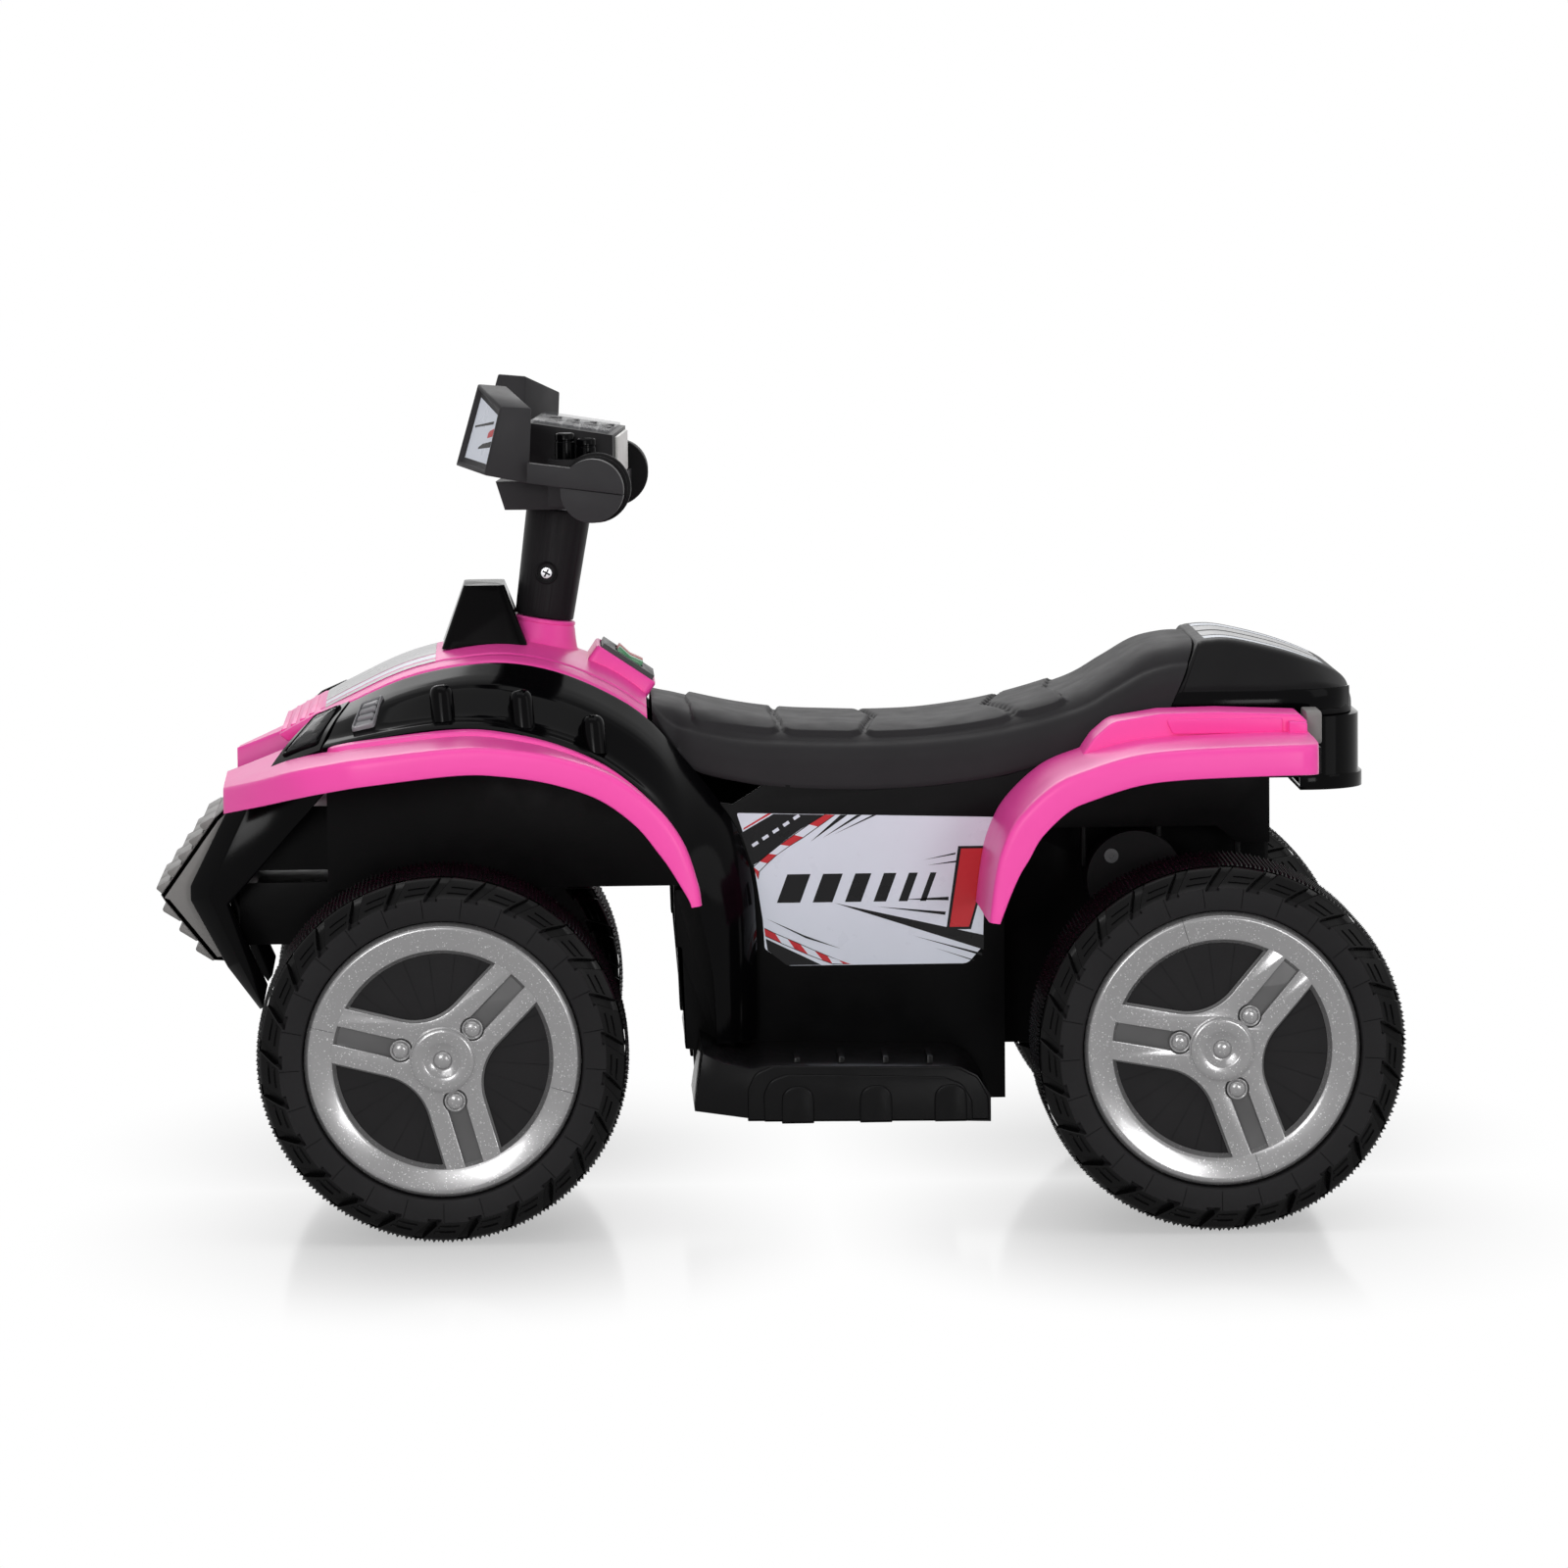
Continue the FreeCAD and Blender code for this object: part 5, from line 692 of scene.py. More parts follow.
def strip():
    """Gloss panel between hood and fender that turns into the leg down to the footboard."""
    sheet = Sheet(STRIP_ROWS, STRIP_STEPS, STRIP_SWELL, strip_form)
    across = sorted({k / 30 for k in range(31)} | {v for v, _ in STRIP_FORM})
    sections = []
    for u in range(len(sheet.rows)):
        leg = step(u / STRIP_STEPS, LEG_FROM, LEG_TO)
        outer = [sheet.point(u, v, 0.0 if v else -STRIP_EDGE_ROLL) for v in across]
        inward = sheet.normal(u) * -STRIP_THICK
        back = [(end + inward).lerp(Vector((end.x, LEG_BACK_Y, end.z)), leg) for end in (outer[-1], outer[0])]
        sections.append(outer + back)
    bm = bmesh.new()
    skin(bm, sections)
    both("shroud", bm, "black_gloss", ["left_front_shroud"], ["right_front_shroud"], 42.0)
    bm = bmesh.new()
    for x in VENT_X:
        foot = sheet.point(sheet.at_x(x, VENT_AT_SHARE), VENT_AT_SHARE) - Vector((0.0, VENT_SUNK, 0.0))
        revolve(bm, [(VENT_R * r, VENT_HEIGHT * h) for r, h in VENT_SHARES], foot, VENT_AXIS, 40)
    both("vents", bm, "black_gloss")
    bm = bmesh.new()
    place = (sheet.at_x(LOUVRE_X, LOUVRE_X_SHARE), LOUVRE_AT_SHARE)
    on_sheet(bm, sheet, *place, rounded(LOUVRE_OUTLINE, 2.0), LOUVRE_RINGS)
    for k in range(SLATS):
        slat = [(p, q + SLAT_FROM + SLAT_PITCH * k) for p, q in SLAT_OUTLINE]
        on_sheet(bm, sheet, *place, rounded(slat, 1.2), SLAT_RINGS)
    both("louvre", bm, "louvre_grey")


# Headlight, which carries the strip round the nose: rows as the strip's, outlines and rings as the louvre's
LIGHT_ROWS = ((251, 70.5, 279.6, 276, 122, 255), (243, 72.6, 283.2, 262, 126.5, 260),
              (233.2, 74.3, 287, 248.4, 128, 265))
LIGHT_STEPS, LIGHT_SWELL, LIGHT_THICK = 8, 1.8, 3.0
LIGHT_FRAME = ((-9.0, -25.0), (9.0, -27.0), (9.0, 22.0), (-9.0, 23.0))
LIGHT_FRAME_RINGS = ((1.0, -0.4), (0.99, 1.1), (0.95, 1.5), (0.9, 1.1), (0.88, 0.2))
LENS = ((-7.4, -23.0), (7.4, -24.6), (7.4, 19.8), (-7.4, 20.6))
LENS_RINGS = ((1.0, 0.3), (0.98, 1.0), (0.9, 1.5), (0.5, 1.9), (0.2, 2.0))
REFLECTOR_Q = (-12.0, 0.0, 12.0)
REFLECTOR_HALF_LONG, REFLECTOR_HALF = 5.5, 4.6
REFLECTOR_RINGS = ((1.0, 0.1), (0.85, 0.55), (0.6, 0.3))


def box(a, b, middle=0.0):
    """Corners of a rectangle of half sizes a and b, with its middle at a place along the second axis."""
    return [(-a, middle - b), (a, middle - b), (a, middle + b), (-a, middle + b)]


def headlights():
    """Smoked lens in a gloss frame, with three reflectors behind it."""
    sheet = Sheet(LIGHT_ROWS, LIGHT_STEPS, LIGHT_SWELL)
    sections = []
    for u in range(len(sheet.rows)):
        inward = sheet.normal(u) * -LIGHT_THICK
        outer = [sheet.point(u, k / 16) for k in range(17)]
        sections.append(outer + [outer[-1] + inward, outer[0] + inward])
    bm = bmesh.new()
    skin(bm, sections)
    on_sheet(bm, sheet, LIGHT_STEPS, 0.5, rounded(LIGHT_FRAME, 2.5), LIGHT_FRAME_RINGS)
    both("light_frame", bm, "black_gloss")
    bm = bmesh.new()
    on_sheet(bm, sheet, LIGHT_STEPS, 0.5, rounded(LENS, 2.0), LENS_RINGS)
    both("lens", bm, "smoked", ["left_headlight"], ["right_headlight"])
    bm = bmesh.new()
    for q in REFLECTOR_Q:
        reflector = rounded(box(REFLECTOR_HALF_LONG, REFLECTOR_HALF, q), 3.0)
        on_sheet(bm, sheet, LIGHT_STEPS, 0.48, reflector, REFLECTOR_RINGS)
    both("reflectors", bm, "grey")


# Fenders: x and z of the crease, outer y, depth of the skirt, rise of the inner side
FENDER_ROWS = (
    (302, 244, 124, 15, 4.2), (281, 251.3, 157, 15, 4.7), (262, 258, 178, 15, 4.7),
    (240, 262.8, 187, 15, 4.7), (221, 265.8, 190, 15, 4.7), (173, 270.8, 190, 15, 4.7),
    (145, 269.8, 190, 15, 2.8), (116, 264.8, 190, 15, -0.9), (88, 254.8, 190, 15, -5.6),
    (65, 237.8, 190, 15, -8), (50, 217.9, 190, 14.3, -7), (42, 195, 190, 9, -4.7),
    (40, 182.8, 190, 5.3, -2.4))
REAR_FENDER_ROWS = (
    (-117, 172, 195, 5.8, 2), (-120, 194.8, 195, 11.5, 2), (-124.2, 211.9, 195, 15.7, 2),
    (-133.3, 229, 195, 16.5, 2), (-152.3, 246.6, 195, 16.5, 2), (-172.2, 255.1, 195, 16.5, 2),
    (-196.1, 262.1, 195, 16.5, 2), (-221, 265.1, 195, 16.5, 2), (-258, 266.5, 195, 16.5, 2),
    (-284, 267, 195, 16.5, 2), (-292, 267, 193.6, 16.5, 2), (-296.6, 267, 190.2, 16.5, 2),
    (-298, 267, 185, 16.5, 2))
FLANGE_Y = 92.3
SHELL = 3.0
FLANGE_DROP = SHELL + 0.2
HORN_INNER, HORN_DROP = 66.8, 14.0
HORN_X, HORN_BLEND = 247.0, 9.0
LEDGE_HEIGHT, LEDGE_FROM, LEDGE_BLEND = 1.6, 253.0, 2.0
UPRIGHT_FROM, UPRIGHT_TO = 258.0, 296.0
# Section of a fender: inner edge, shares across the deck and of the ledge's height, crease, lip and inside
INNER_EDGE = ((0.0, -2.0), (0.6, -0.6), (2.0, 0.0))
DECK_SHARES = ((0.1, 1.0), (0.44, 1.0), (0.46, 0.8), (0.475, -0.4), (0.51, -0.4), (0.53, 0.0))
DECK_CROWN_SHARE, DECK_CROWN = 0.7, 0.4
CREASE = ((-6.0, 0.35), (-3.2, 0.1), (-1.8, -0.3), (-0.8, -1.0), (-0.2, -2.0), (0.1, -3.4), (0.3, -5.2))
SKIRT_LIP = ((0.5, 1.4), (0.2, 0.4), (-0.6, 0.0), (-2.4, 0.0), (-3.0, 0.6))
SKIRT_INSIDE = ((-3.0, -5.0), (-5.0, -3.4))
SKIRT_LEAST = 5.6
# Raised forms on the rear fender, in side view
REAR_LEDGE = (
    (-171, 253.5), (-179.4, 266), (-189.4, 274.6), (-216.6, 279), (-249, 279.6), (-293.5, 277.8),
    (-297.6, 274), (-297.6, 264), (-225, 262))
REAR_LEDGE_ROUND = (2, 14, 14, 20, 20, 4, 2, 1, 1)
REAR_PLATE = ((-219, 276.0), (-284, 276.0), (-284, 267.6), (-223, 267.6))
REAR_END = ((-287, 274.6), (-297.2, 273.6), (-297.2, 265), (-287, 265))
REAR_BACKING = ((-296, 264), (-300.2, 264), (-300.2, 249.6), (-296, 249.6))
REAR_LEDGE_Y, REAR_BACKING_Y = 127.0, 176.0


def away(points):
    """Unit normals of a side-view curve that runs rearward, pointing away from the wheel."""
    found = []
    for i in range(len(points)):
        a = Vector(points[max(i - 1, 0)][:2])
        b = Vector(points[min(i + 1, len(points) - 1)][:2])
        run = (b - a).normalized()
        found.append((run.y, -run.x))
    return found


def horn(x):
    """Inner edge, depth of the wall under it and ledge of the front fender: a wall beside the open nose."""
    share = step(x, HORN_X - HORN_BLEND, HORN_X)
    inner = FLANGE_Y + (HORN_INNER - FLANGE_Y) * share
    ledge = LEDGE_HEIGHT * step(-x, -LEDGE_FROM, LEDGE_BLEND - LEDGE_FROM)
    return inner, FLANGE_DROP + (HORN_DROP - SHELL) * share, ledge


def flange(x):
    """Inner edge of the rear fender, which has neither wall nor ledge at any x."""
    return FLANGE_Y, FLANGE_DROP, 0.0


def arch(rows, inside):
    """Fender sections: deck with a stepped ledge, rounded crease, skirt with a rolled lip, underside."""
    dense = smooth(rows, 8)
    sections = []
    for (x, z, outer, skirt, rise), (nx, nz) in zip(dense, away(dense)):
        inner, drop, ledge = inside(x)
        nx = nx * (1 - step(x, UPRIGHT_FROM, UPRIGHT_TO))
        width = outer - inner
        lower = max(skirt, SKIRT_LEAST)
        line = [(inner + SHELL, rise - drop), (inner + 0.5, rise - drop), (inner, rise - drop + 0.5)]
        line += [(inner + y, rise + n) for y, n in INNER_EDGE]
        line += [(inner + width * share, rise * (1 - share) + ledge * part) for share, part in DECK_SHARES]
        line.append((inner + width * DECK_CROWN_SHARE, rise * (1 - DECK_CROWN_SHARE) + DECK_CROWN))
        line += [(outer + y, n) for y, n in CREASE]
        line.append((outer + SKIRT_LIP[0][0], (CREASE[-1][1] - lower) / 2))
        line += [(outer + y, n - lower) for y, n in SKIRT_LIP]
        line += [(outer + y, n) for y, n in SKIRT_INSIDE]
        line.append((inner + SHELL, rise - SHELL))
        sections.append([(x + nx * n, y, z + nz * n) for y, n in line])
    return sections


def drawn_in(outline, depth):
    """Closed outline moved in by a depth along its own normals."""
    count = len(outline)
    turn = sum(a[0] * b[1] - b[0] * a[1] for a, b in zip(outline, list(outline[1:]) + [outline[0]]))
    found = []
    for i in range(count):
        here = Vector(outline[i])
        before = (here - Vector(outline[i - 1])).normalized()
        after = (Vector(outline[(i + 1) % count]) - here).normalized()
        run = (before + after).normalized()
        found.append(here + Vector((-run.y, run.x)) * (depth if turn > 0 else -depth))
    return found


def side_form(name, outline, low, high, style, width):
    """Side-view outline drawn out between two places across, with a rounded outer edge, on both sides."""
    bm = bmesh.new()
    turns = [math.pi * k / 8 for k in range(5)]
    levels = [(low, 0.0)] + [(high - width * (1 - math.sin(a)), width * (1 - math.cos(a))) for a in turns]
    skin(bm, [[(x, y, z) for x, z in drawn_in(outline, depth)] for y, depth in levels])
    both(name, bm, style, angle=40.0)


def fenders():
    bm = bmesh.new()
    skin(bm, arch(FENDER_ROWS, horn))
    both("fender", bm, "pink", ["left_front_fender"], ["right_front_fender"], 44.0)
    bm = bmesh.new()
    skin(bm, arch(REAR_FENDER_ROWS, flange))
    both("rear_guard", bm, "pink", ["left_rear_fender"], ["right_rear_fender"], 44.0)
    y = REAR_LEDGE_Y
    side_form("rear_ledge", rounded(REAR_LEDGE, REAR_LEDGE_ROUND, 5), FLANGE_Y, y, "pink", 1.4)
    side_form("rear_plate", rounded(REAR_PLATE, 2.0), y - 0.6, y + 1.6, "pink", 0.6)
    side_form("rear_end", rounded(REAR_END, 1.6), y - 8.0, y + 7.0, "pink", 1.0)
    side_form("rear_backing", REAR_BACKING, FLANGE_Y, REAR_BACKING_Y, "black_satin", 0.5)


# Hood: x, height of the edge, crown, half width
HOOD_ROWS = (
    (250, 279, 4.4, 68.8), (231.7, 287, 6.2, 73.8), (203, 299.4, 7, 73.8), (174, 306, 8, 73.8),
    (145, 308, 8.5, 73.8), (115, 302, 9.3, 73.8), (86, 289, 11, 73.8), (67, 276, 10.6, 73.8))
# Shares of the half width at which the hood has points: its plain middle, then a groove and a rolled edge
HOOD_MIDDLE_SHARE = 0.75
HOOD_EDGE_SHARES = (0.765, 0.78, 0.795, 0.81, 0.86, 0.95, 0.985, 1.0)
HOOD_SUNK_SHARES = (0.78, 0.795, 1.0)
HOOD_UNDER_SHARES = (1.0, 0.6, 0.2, -0.2, -0.6, -1.0)
HOOD_SUNK = 0.9
# Inner and outer y of the stripes on the hood
HOOD_STRIPES = ((0.0, 36.0, "film_grey"), (38.0, 48.0, "film_white"), (50.5, 57.0, "film_grey"))
HOOD_STRIPE_FROM, HOOD_STRIPE_LONG = 247.0, 62.0
STRIPE_LIFT = 0.12
AXIS_POINT = Vector((123.8, 0.0, 327.0))
AXIS_RAKE = math.radians(8.5)
AXIS = Vector((-math.sin(AXIS_RAKE), 0.0, math.cos(AXIS_RAKE)))
# Collar round the steering column, as radius and place along the axis
COLLAR_FORM = (
    (5.2, -24), (27, -24), (26.4, -19.5), (23.2, -17.2), (21, -14.5), (19.6, -10), (18.3, -4.5), (17.6, -2.6),
    (18.0, -2.2), (18.0, -0.8), (17.3, -0.2), (14.5, 0.0), (5.2, 0.0), (5.2, -24))
# Sloping plate at the nose and the slats on it, as x and z
NOSE_TOP, NOSE_FOOT, NOSE_BACK = Vector((249.5, 281.0)), Vector((273.0, 268.0)), Vector((-5.0, -4.0))
NOSE_HALF, NOSE_SLAT_HALF = 65.5, 56.0
NOSE_SLATS, NOSE_SLAT_TOP, NOSE_SLAT_PITCH = 4, 278.4, 2.9
NOSE_SLAT = ((-1.0, 0.8), (1.8, 0.3), (2.2, -0.9), (-0.4, -1.3))


def hood_height(dense, x, y):
    """Height of the hood's surface over a place."""
    for (x0, z0, c0, h0), (x1, z1, c1, h1) in zip(dense, dense[1:]):
        if x1 <= x <= x0:
            t = (x0 - x) / (x0 - x1)
            edge, crown, half = z0 + (z1 - z0) * t, c0 + (c1 - c0) * t, h0 + (h1 - h0) * t
            return edge + crown * (1 - (y / half) ** 2)
    raise ValueError("no hood at x %.1f" % x)


def hood():
    """Hood panel, collar, nose plate with its slats, and stripes."""
    dense = smooth(HOOD_ROWS, 6)
    middle = [HOOD_MIDDLE_SHARE * (k / 8 - 1) for k in range(17)]
    spread = [-share for share in HOOD_EDGE_SHARES[::-1]] + middle + list(HOOD_EDGE_SHARES)
    sections = []
    for x, edge, crown, half in dense:
        top = []
        for s in spread:
            sunk = HOOD_SUNK if abs(s) in HOOD_SUNK_SHARES else 0.0
            top.append((x, half * s, edge + crown * (1 - s * s) - sunk))
        low = [(x, half * s, edge + crown * (1 - s * s) - SHELL) for s in HOOD_UNDER_SHARES]
        sections.append(top + low)
    bm = bmesh.new()
    skin(bm, sections)
    piece("hood", bm, "pink", "chassis", ["front_cowl"], 44.0)
    bm = bmesh.new()
    revolve(bm, COLLAR_FORM, AXIS_POINT, AXIS, 72)
    piece("collar", bm, "pink", "chassis", (), 32.0)
    bm = bmesh.new()
    prism(bm, [NOSE_TOP, NOSE_FOOT, NOSE_FOOT + NOSE_BACK, NOSE_TOP + NOSE_BACK], -NOSE_HALF, NOSE_HALF)
    soften(bm, 1.0)
    piece("nose_plate", bm, "pink")
    bm = bmesh.new()
    for k in range(NOSE_SLATS):
        down = (NOSE_TOP.y - NOSE_SLAT_TOP + NOSE_SLAT_PITCH * k) / (NOSE_TOP.y - NOSE_FOOT.y)
        place = NOSE_TOP.lerp(NOSE_FOOT, down)
        prism(bm, [place + Vector(p) for p in NOSE_SLAT], -NOSE_SLAT_HALF, NOSE_SLAT_HALF)
    soften(bm, 0.4)
    piece("nose_slats", bm, "pink")
    stations = [HOOD_STRIPE_FROM - HOOD_STRIPE_LONG * k / 20 for k in range(21)]
    for number, (y0, y1, style) in enumerate(HOOD_STRIPES, 1):
        bm = bmesh.new()
        for sign in SIDES.values():
            ys = [(y0 + (y1 - y0) * k / 6) * sign for k in range(7)]
            rows = [[(x, y, hood_height(dense, x, y) + STRIPE_LIFT) for y in ys] for x in stations]
            skin(bm, rows, False, False)
        piece("hood_stripe_%d" % number, bm, style)


CONSOLE = Vector((81.0, 0.0, 296.5))
CONSOLE_SLOPE = math.radians(34.0)
CONSOLE_HALF_LENGTH, CONSOLE_HALF = 17.3, 24.3
BEZEL_LOW, BEZEL_TOP = -7.0, 6.4
# Bezel: distance out from the panel and level, round the section
BEZEL_FORM = ((2.6, BEZEL_LOW), (2.6, BEZEL_TOP - 1.2), (2.1, BEZEL_TOP - 0.3), (1.4, BEZEL_TOP),
              (0.7, BEZEL_TOP), (0.0, BEZEL_TOP - 0.7), (0.0, BEZEL_LOW))


def console_bezel():
    """Pink frame round the switch panel."""
    along = Vector((math.cos(CONSOLE_SLOPE), 0.0, math.sin(CONSOLE_SLOPE)))
    up = Vector((-math.sin(CONSOLE_SLOPE), 0.0, math.cos(CONSOLE_SLOPE)))
    rims = []
    for wide, level in BEZEL_FORM:
        outline = rounded(box(CONSOLE_HALF_LENGTH + wide, CONSOLE_HALF + wide), 1.0 + wide)
        rims.append([CONSOLE + along * a + Vector((0.0, b, 0.0)) + up * level for a, b in outline])
    bm = bmesh.new()
    skin(bm, rims + rims[:1], True, False)
    bmesh.ops.remove_doubles(bm, verts=bm.verts, dist=0.01 * MM)
    piece("console_bezel", bm, "pink", "chassis", (), 40.0)


# Seat: x at the foot, top at the middle, shoulder, lower edge, half width there, lean of the section
SEAT_ROWS = (
    (64, 285.5, 281, 276, 66, 0), (53, 283.6, 271.5, 258.5, 74, 0), (41, 280.4, 268, 246.5, 84, 0),
    (14, 274.2, 263, 240, 91.5, 0), (-12, 270.6, 261.2, 236.4, 92, 0), (-40, 269.2, 260.2, 235.2, 92, 0),
    (-65, 268.6, 260.2, 235.2, 92, 0), (-95, 270, 261.8, 237, 92, 0), (-132, 276, 266.6, 242.2, 92, 0),
    (-172, 288.4, 277.4, 253, 90.6, 2), (-190, 300.4, 288, 260, 88.8, 6), (-203, 310.6, 297, 265.6, 87.6, 11),
    (-214, 314.4, 301.4, 270, 86.8, 16), (-222.5, 315, 302.4, 272.6, 86.2, 20))
SEAT_COLUMNS, SEAT_RIDGE_SHARE = 60, 0.8
# Side of the seat: share of the half width with the drop below the shoulder, then with the rise over the edge
SEAT_UPPER_SIDE = ((0.84, 0.9), (0.88, 2.4), (0.92, 4.8), (0.955, 8.2), (0.975, 11.5))
SEAT_BELLY_SHARE, SEAT_BELLY_DROP, SEAT_EDGE_ROLL = 0.99, 4.0, 0.8
SEAT_LOWER_RISES = (3.2, 0.8)
# Edges of the raised pads: x at the middle and slope across
PAD_EDGES = ((46, -0.05), (-5, -0.05), (-62.5, 0.13), (-126.5, -0.2), (-161, -0.12))
PAD_HALF, PAD_HEIGHT, PAD_GAP = 66.0, 2.2, 1.5
PAD_ROUND, PAD_CORNER = 2.0, 7.0


def pad_height(x, y):
    """Raised pads with rounded edges and corners and gaps between them."""
    inside = PAD_HALF - abs(y)
    for first, second in zip(PAD_EDGES, PAD_EDGES[1:]):
        front = first[0] + first[1] * abs(y) - PAD_GAP - x
        back = x - second[0] - second[1] * abs(y) - PAD_GAP
        end = min(front, back)
        gap = min(end, inside)
        if end < PAD_CORNER and inside < PAD_CORNER:
            gap = PAD_CORNER - math.hypot(PAD_CORNER - end, PAD_CORNER - inside)
        if gap > 0.0:
            return PAD_HEIGHT * math.sqrt(1 - (1 - min(gap / PAD_ROUND, 1.0)) ** 2)
    return 0.0


def seat():
    sections = []
    for x, top, shoulder, low, half, lean in smooth(SEAT_ROWS, 22):
        line = []
        for k in range(-SEAT_COLUMNS, SEAT_COLUMNS + 1):
            share = k / SEAT_COLUMNS
            y = half * SEAT_RIDGE_SHARE * share
            z = top - PAD_HEIGHT - (top - shoulder - PAD_HEIGHT) * abs(share) ** 5
            line.append((y, z + pad_height(x, y)))
        side = [(half * share, shoulder - drop) for share, drop in SEAT_UPPER_SIDE]
        side.append((half * SEAT_BELLY_SHARE, (shoulder + low) / 2 - SEAT_BELLY_DROP))
        side += [(half, low + rise) for rise in SEAT_LOWER_RISES]
        side.append((half - SEAT_EDGE_ROLL, low))
        line = [(-y, z) for y, z in side[::-1]] + line + side
        sections.append([(x - lean * (z - low) / (top - low), y, z) for y, z in line])
    bm = bmesh.new()
    skin(bm, sections)
    piece("seat_shell", bm, "seat_black", "chassis", ["seat"], 50.0)


# Tail: x at the foot, half width, shoulder height, top height, lean of the front edge
TAIL_ROWS = (
    (-222.9, 85.6, 288.4, 312.6, 20), (-230.0, 86, 288.5, 314, 17.5), (-250.7, 86, 288.9, 314, 12),
    (-285.2, 84.3, 288.9, 307.6, 5), (-310, 79, 288.6, 300.6, 0), (-322, 70, 286, 294.8, 0),
    (-328, 60, 282.5, 289.2, 0), (-330.4, 50, 279, 283.4, 0))
TAIL_FOOT_Z = 272.4
TAIL_FLAT_SHARE = 0.72
TAIL_ROUND = (0.6, 0.6, 9, 14, 14, 9)
TAIL_SHOULDER_DROP = 3.0
# Seam to the seat: distance behind the tail's front edge and growth of its outline
SEAM_RINGS = ((-0.4, -1.5), (-0.4, 0.2), (0.2, 0.6), (1.4, 0.6), (2.0, 0.2), (2.0, -1.5))
# Band round the tail: x and y of its stations; height, distance out and share of the slant of its section
BAND_STATIONS = ((-223.5, 85.6), (-250, 86.4), (-280, 85.4), (-298, 82.6), (-312, 77.4), (-322, 69.4),
                 (-328.4, 58.6))
BAND_LOW, BAND_TOP, BAND_SLANT, BAND_SLANT_TO = 275.4, 287.4, 7.0, 8
BAND_FORM = ((BAND_LOW, -1.5, 0.0), (BAND_LOW, 0.5, 0.0), (BAND_LOW + 1.0, 1.1, 0.1),
             (BAND_LOW + 5.0, 1.3, 0.45), (BAND_TOP - 1.2, 0.9, 0.9), (BAND_TOP, 0.1, 1.0),
             (BAND_TOP, -1.5, 1.0))
# Stripes over the tail, as shares of its flat top
TAIL_STRIPE_SHARES = ((0.06, 0.5, "film_grey"), (0.56, 0.8, "film_white"))
TAIL_STRIPE_FROM, TAIL_STRIPE_TO = -229.0, -316.0


def tail_line(half, shoulder, top):
    flat = half * TAIL_FLAT_SHARE
    corners = ((-half, TAIL_FOOT_Z), (half, TAIL_FOOT_Z), (half, shoulder), (flat, top), (-flat, top),
               (-half, shoulder))
    return rounded(corners, TAIL_ROUND, 6)


def tail_section(x, lean, top, outline):
    """Section of the tail that leans back with its height."""
    return [(x - lean * (z - TAIL_FOOT_Z) / (top - TAIL_FOOT_Z), y, z) for y, z in outline]


def tail():
    """Tail shell with its seam to the seat, a gloss band low on each side, and stripes."""
    dense = smooth(TAIL_ROWS, 8)
    bm = bmesh.new()
    skin(bm, [tail_section(x, lean, top, tail_line(half, min(shoulder, top - TAIL_SHOULDER_DROP), top))
              for x, half, shoulder, top, lean in dense])
    piece("tail_shell", bm, "black_satin", "chassis", ["tail_cover"], 44.0)
    bm = bmesh.new()
    x, half, shoulder, top, lean = dense[0]
    skin(bm, [tail_section(x - back, lean, top, tail_line(half + grow, shoulder + grow, top + grow))
              for back, grow in SEAM_RINGS], True, False)
    piece("tail_seam", bm, "black_satin")
    sections = []
    for number, (x, y) in enumerate(smooth(BAND_STATIONS, 6)):
        slant = BAND_SLANT * (1 - step(number, 0, BAND_SLANT_TO))
        sections.append([(x - slant * share, y + out, z) for z, out, share in BAND_FORM])
    bm = bmesh.new()
    skin(bm, sections)
    both("tail_band", bm, "black_gloss", angle=44.0)
    covered = [row for row in dense if TAIL_STRIPE_TO < row[0] < TAIL_STRIPE_FROM]
    for number, (inner, outer, style) in enumerate(TAIL_STRIPE_SHARES, 1):
        bm = bmesh.new()
        for sign in SIDES.values():
            shares = [share * TAIL_FLAT_SHARE * sign for share in (inner, (inner + outer) / 2, outer)]
            skin(bm, [[(x - lean, half * share, top + STRIPE_LIFT) for share in shares]
                      for x, half, shoulder, top, lean in covered], False, False)
        piece("tail_stripe_%d" % number, bm, style)


# Side decal, all outlines as x and z
DECAL = ((18, 223.2), (-135.4, 218.8), (-120, 174), (-119, 146.7), (-110.6, 137), (-10, 137), (3, 146.7),
         (4, 163.4), (8.6, 194))
DECAL_ROUND = (1, 1, 6, 3, 6, 6, 3, 3, 6)
DECAL_Y, DECAL_THICK = 92.25, 0.24
FILM = 0.06
ROAD = ((15.6, 212), (-2.6, 222.4), (-31, 221.6), (-17.5, 213.6), (-5.8, 205.2), (3.8, 197), (9.6, 193.4))
ROAD_LINE = (Vector((-17.0, 221.5)), Vector((12.0, 203.0)))
ROAD_DASHES, ROAD_DASH_SHARE, ROAD_DASH_HALF = 5, 0.11, 0.9
ROAD_EDGE = ((14.4, 213.6), (-1.4, 222.6), (0.6, 222.7), (14.0, 214.8))
LOWER_CORNER = ((2.4, 152.4), (1.4, 145.6), (-9.4, 137.2), (-28.6, 137.2))
UPPER_KERB = (((-31, 221.8), (-37.2, 221.4)), ((-22, 216.4), (-27.8, 214.8)), ((-13.6, 210.6), (-19.6, 209)),
              ((-5.8, 205.2), (-11.6, 204.2)), ((0.6, 200.2), (-4.6, 199.4)), ((5.8, 196), (0.8, 194.6)),
              ((9, 193), (5.4, 190)), ((7.6, 189), (6.2, 185.6)))
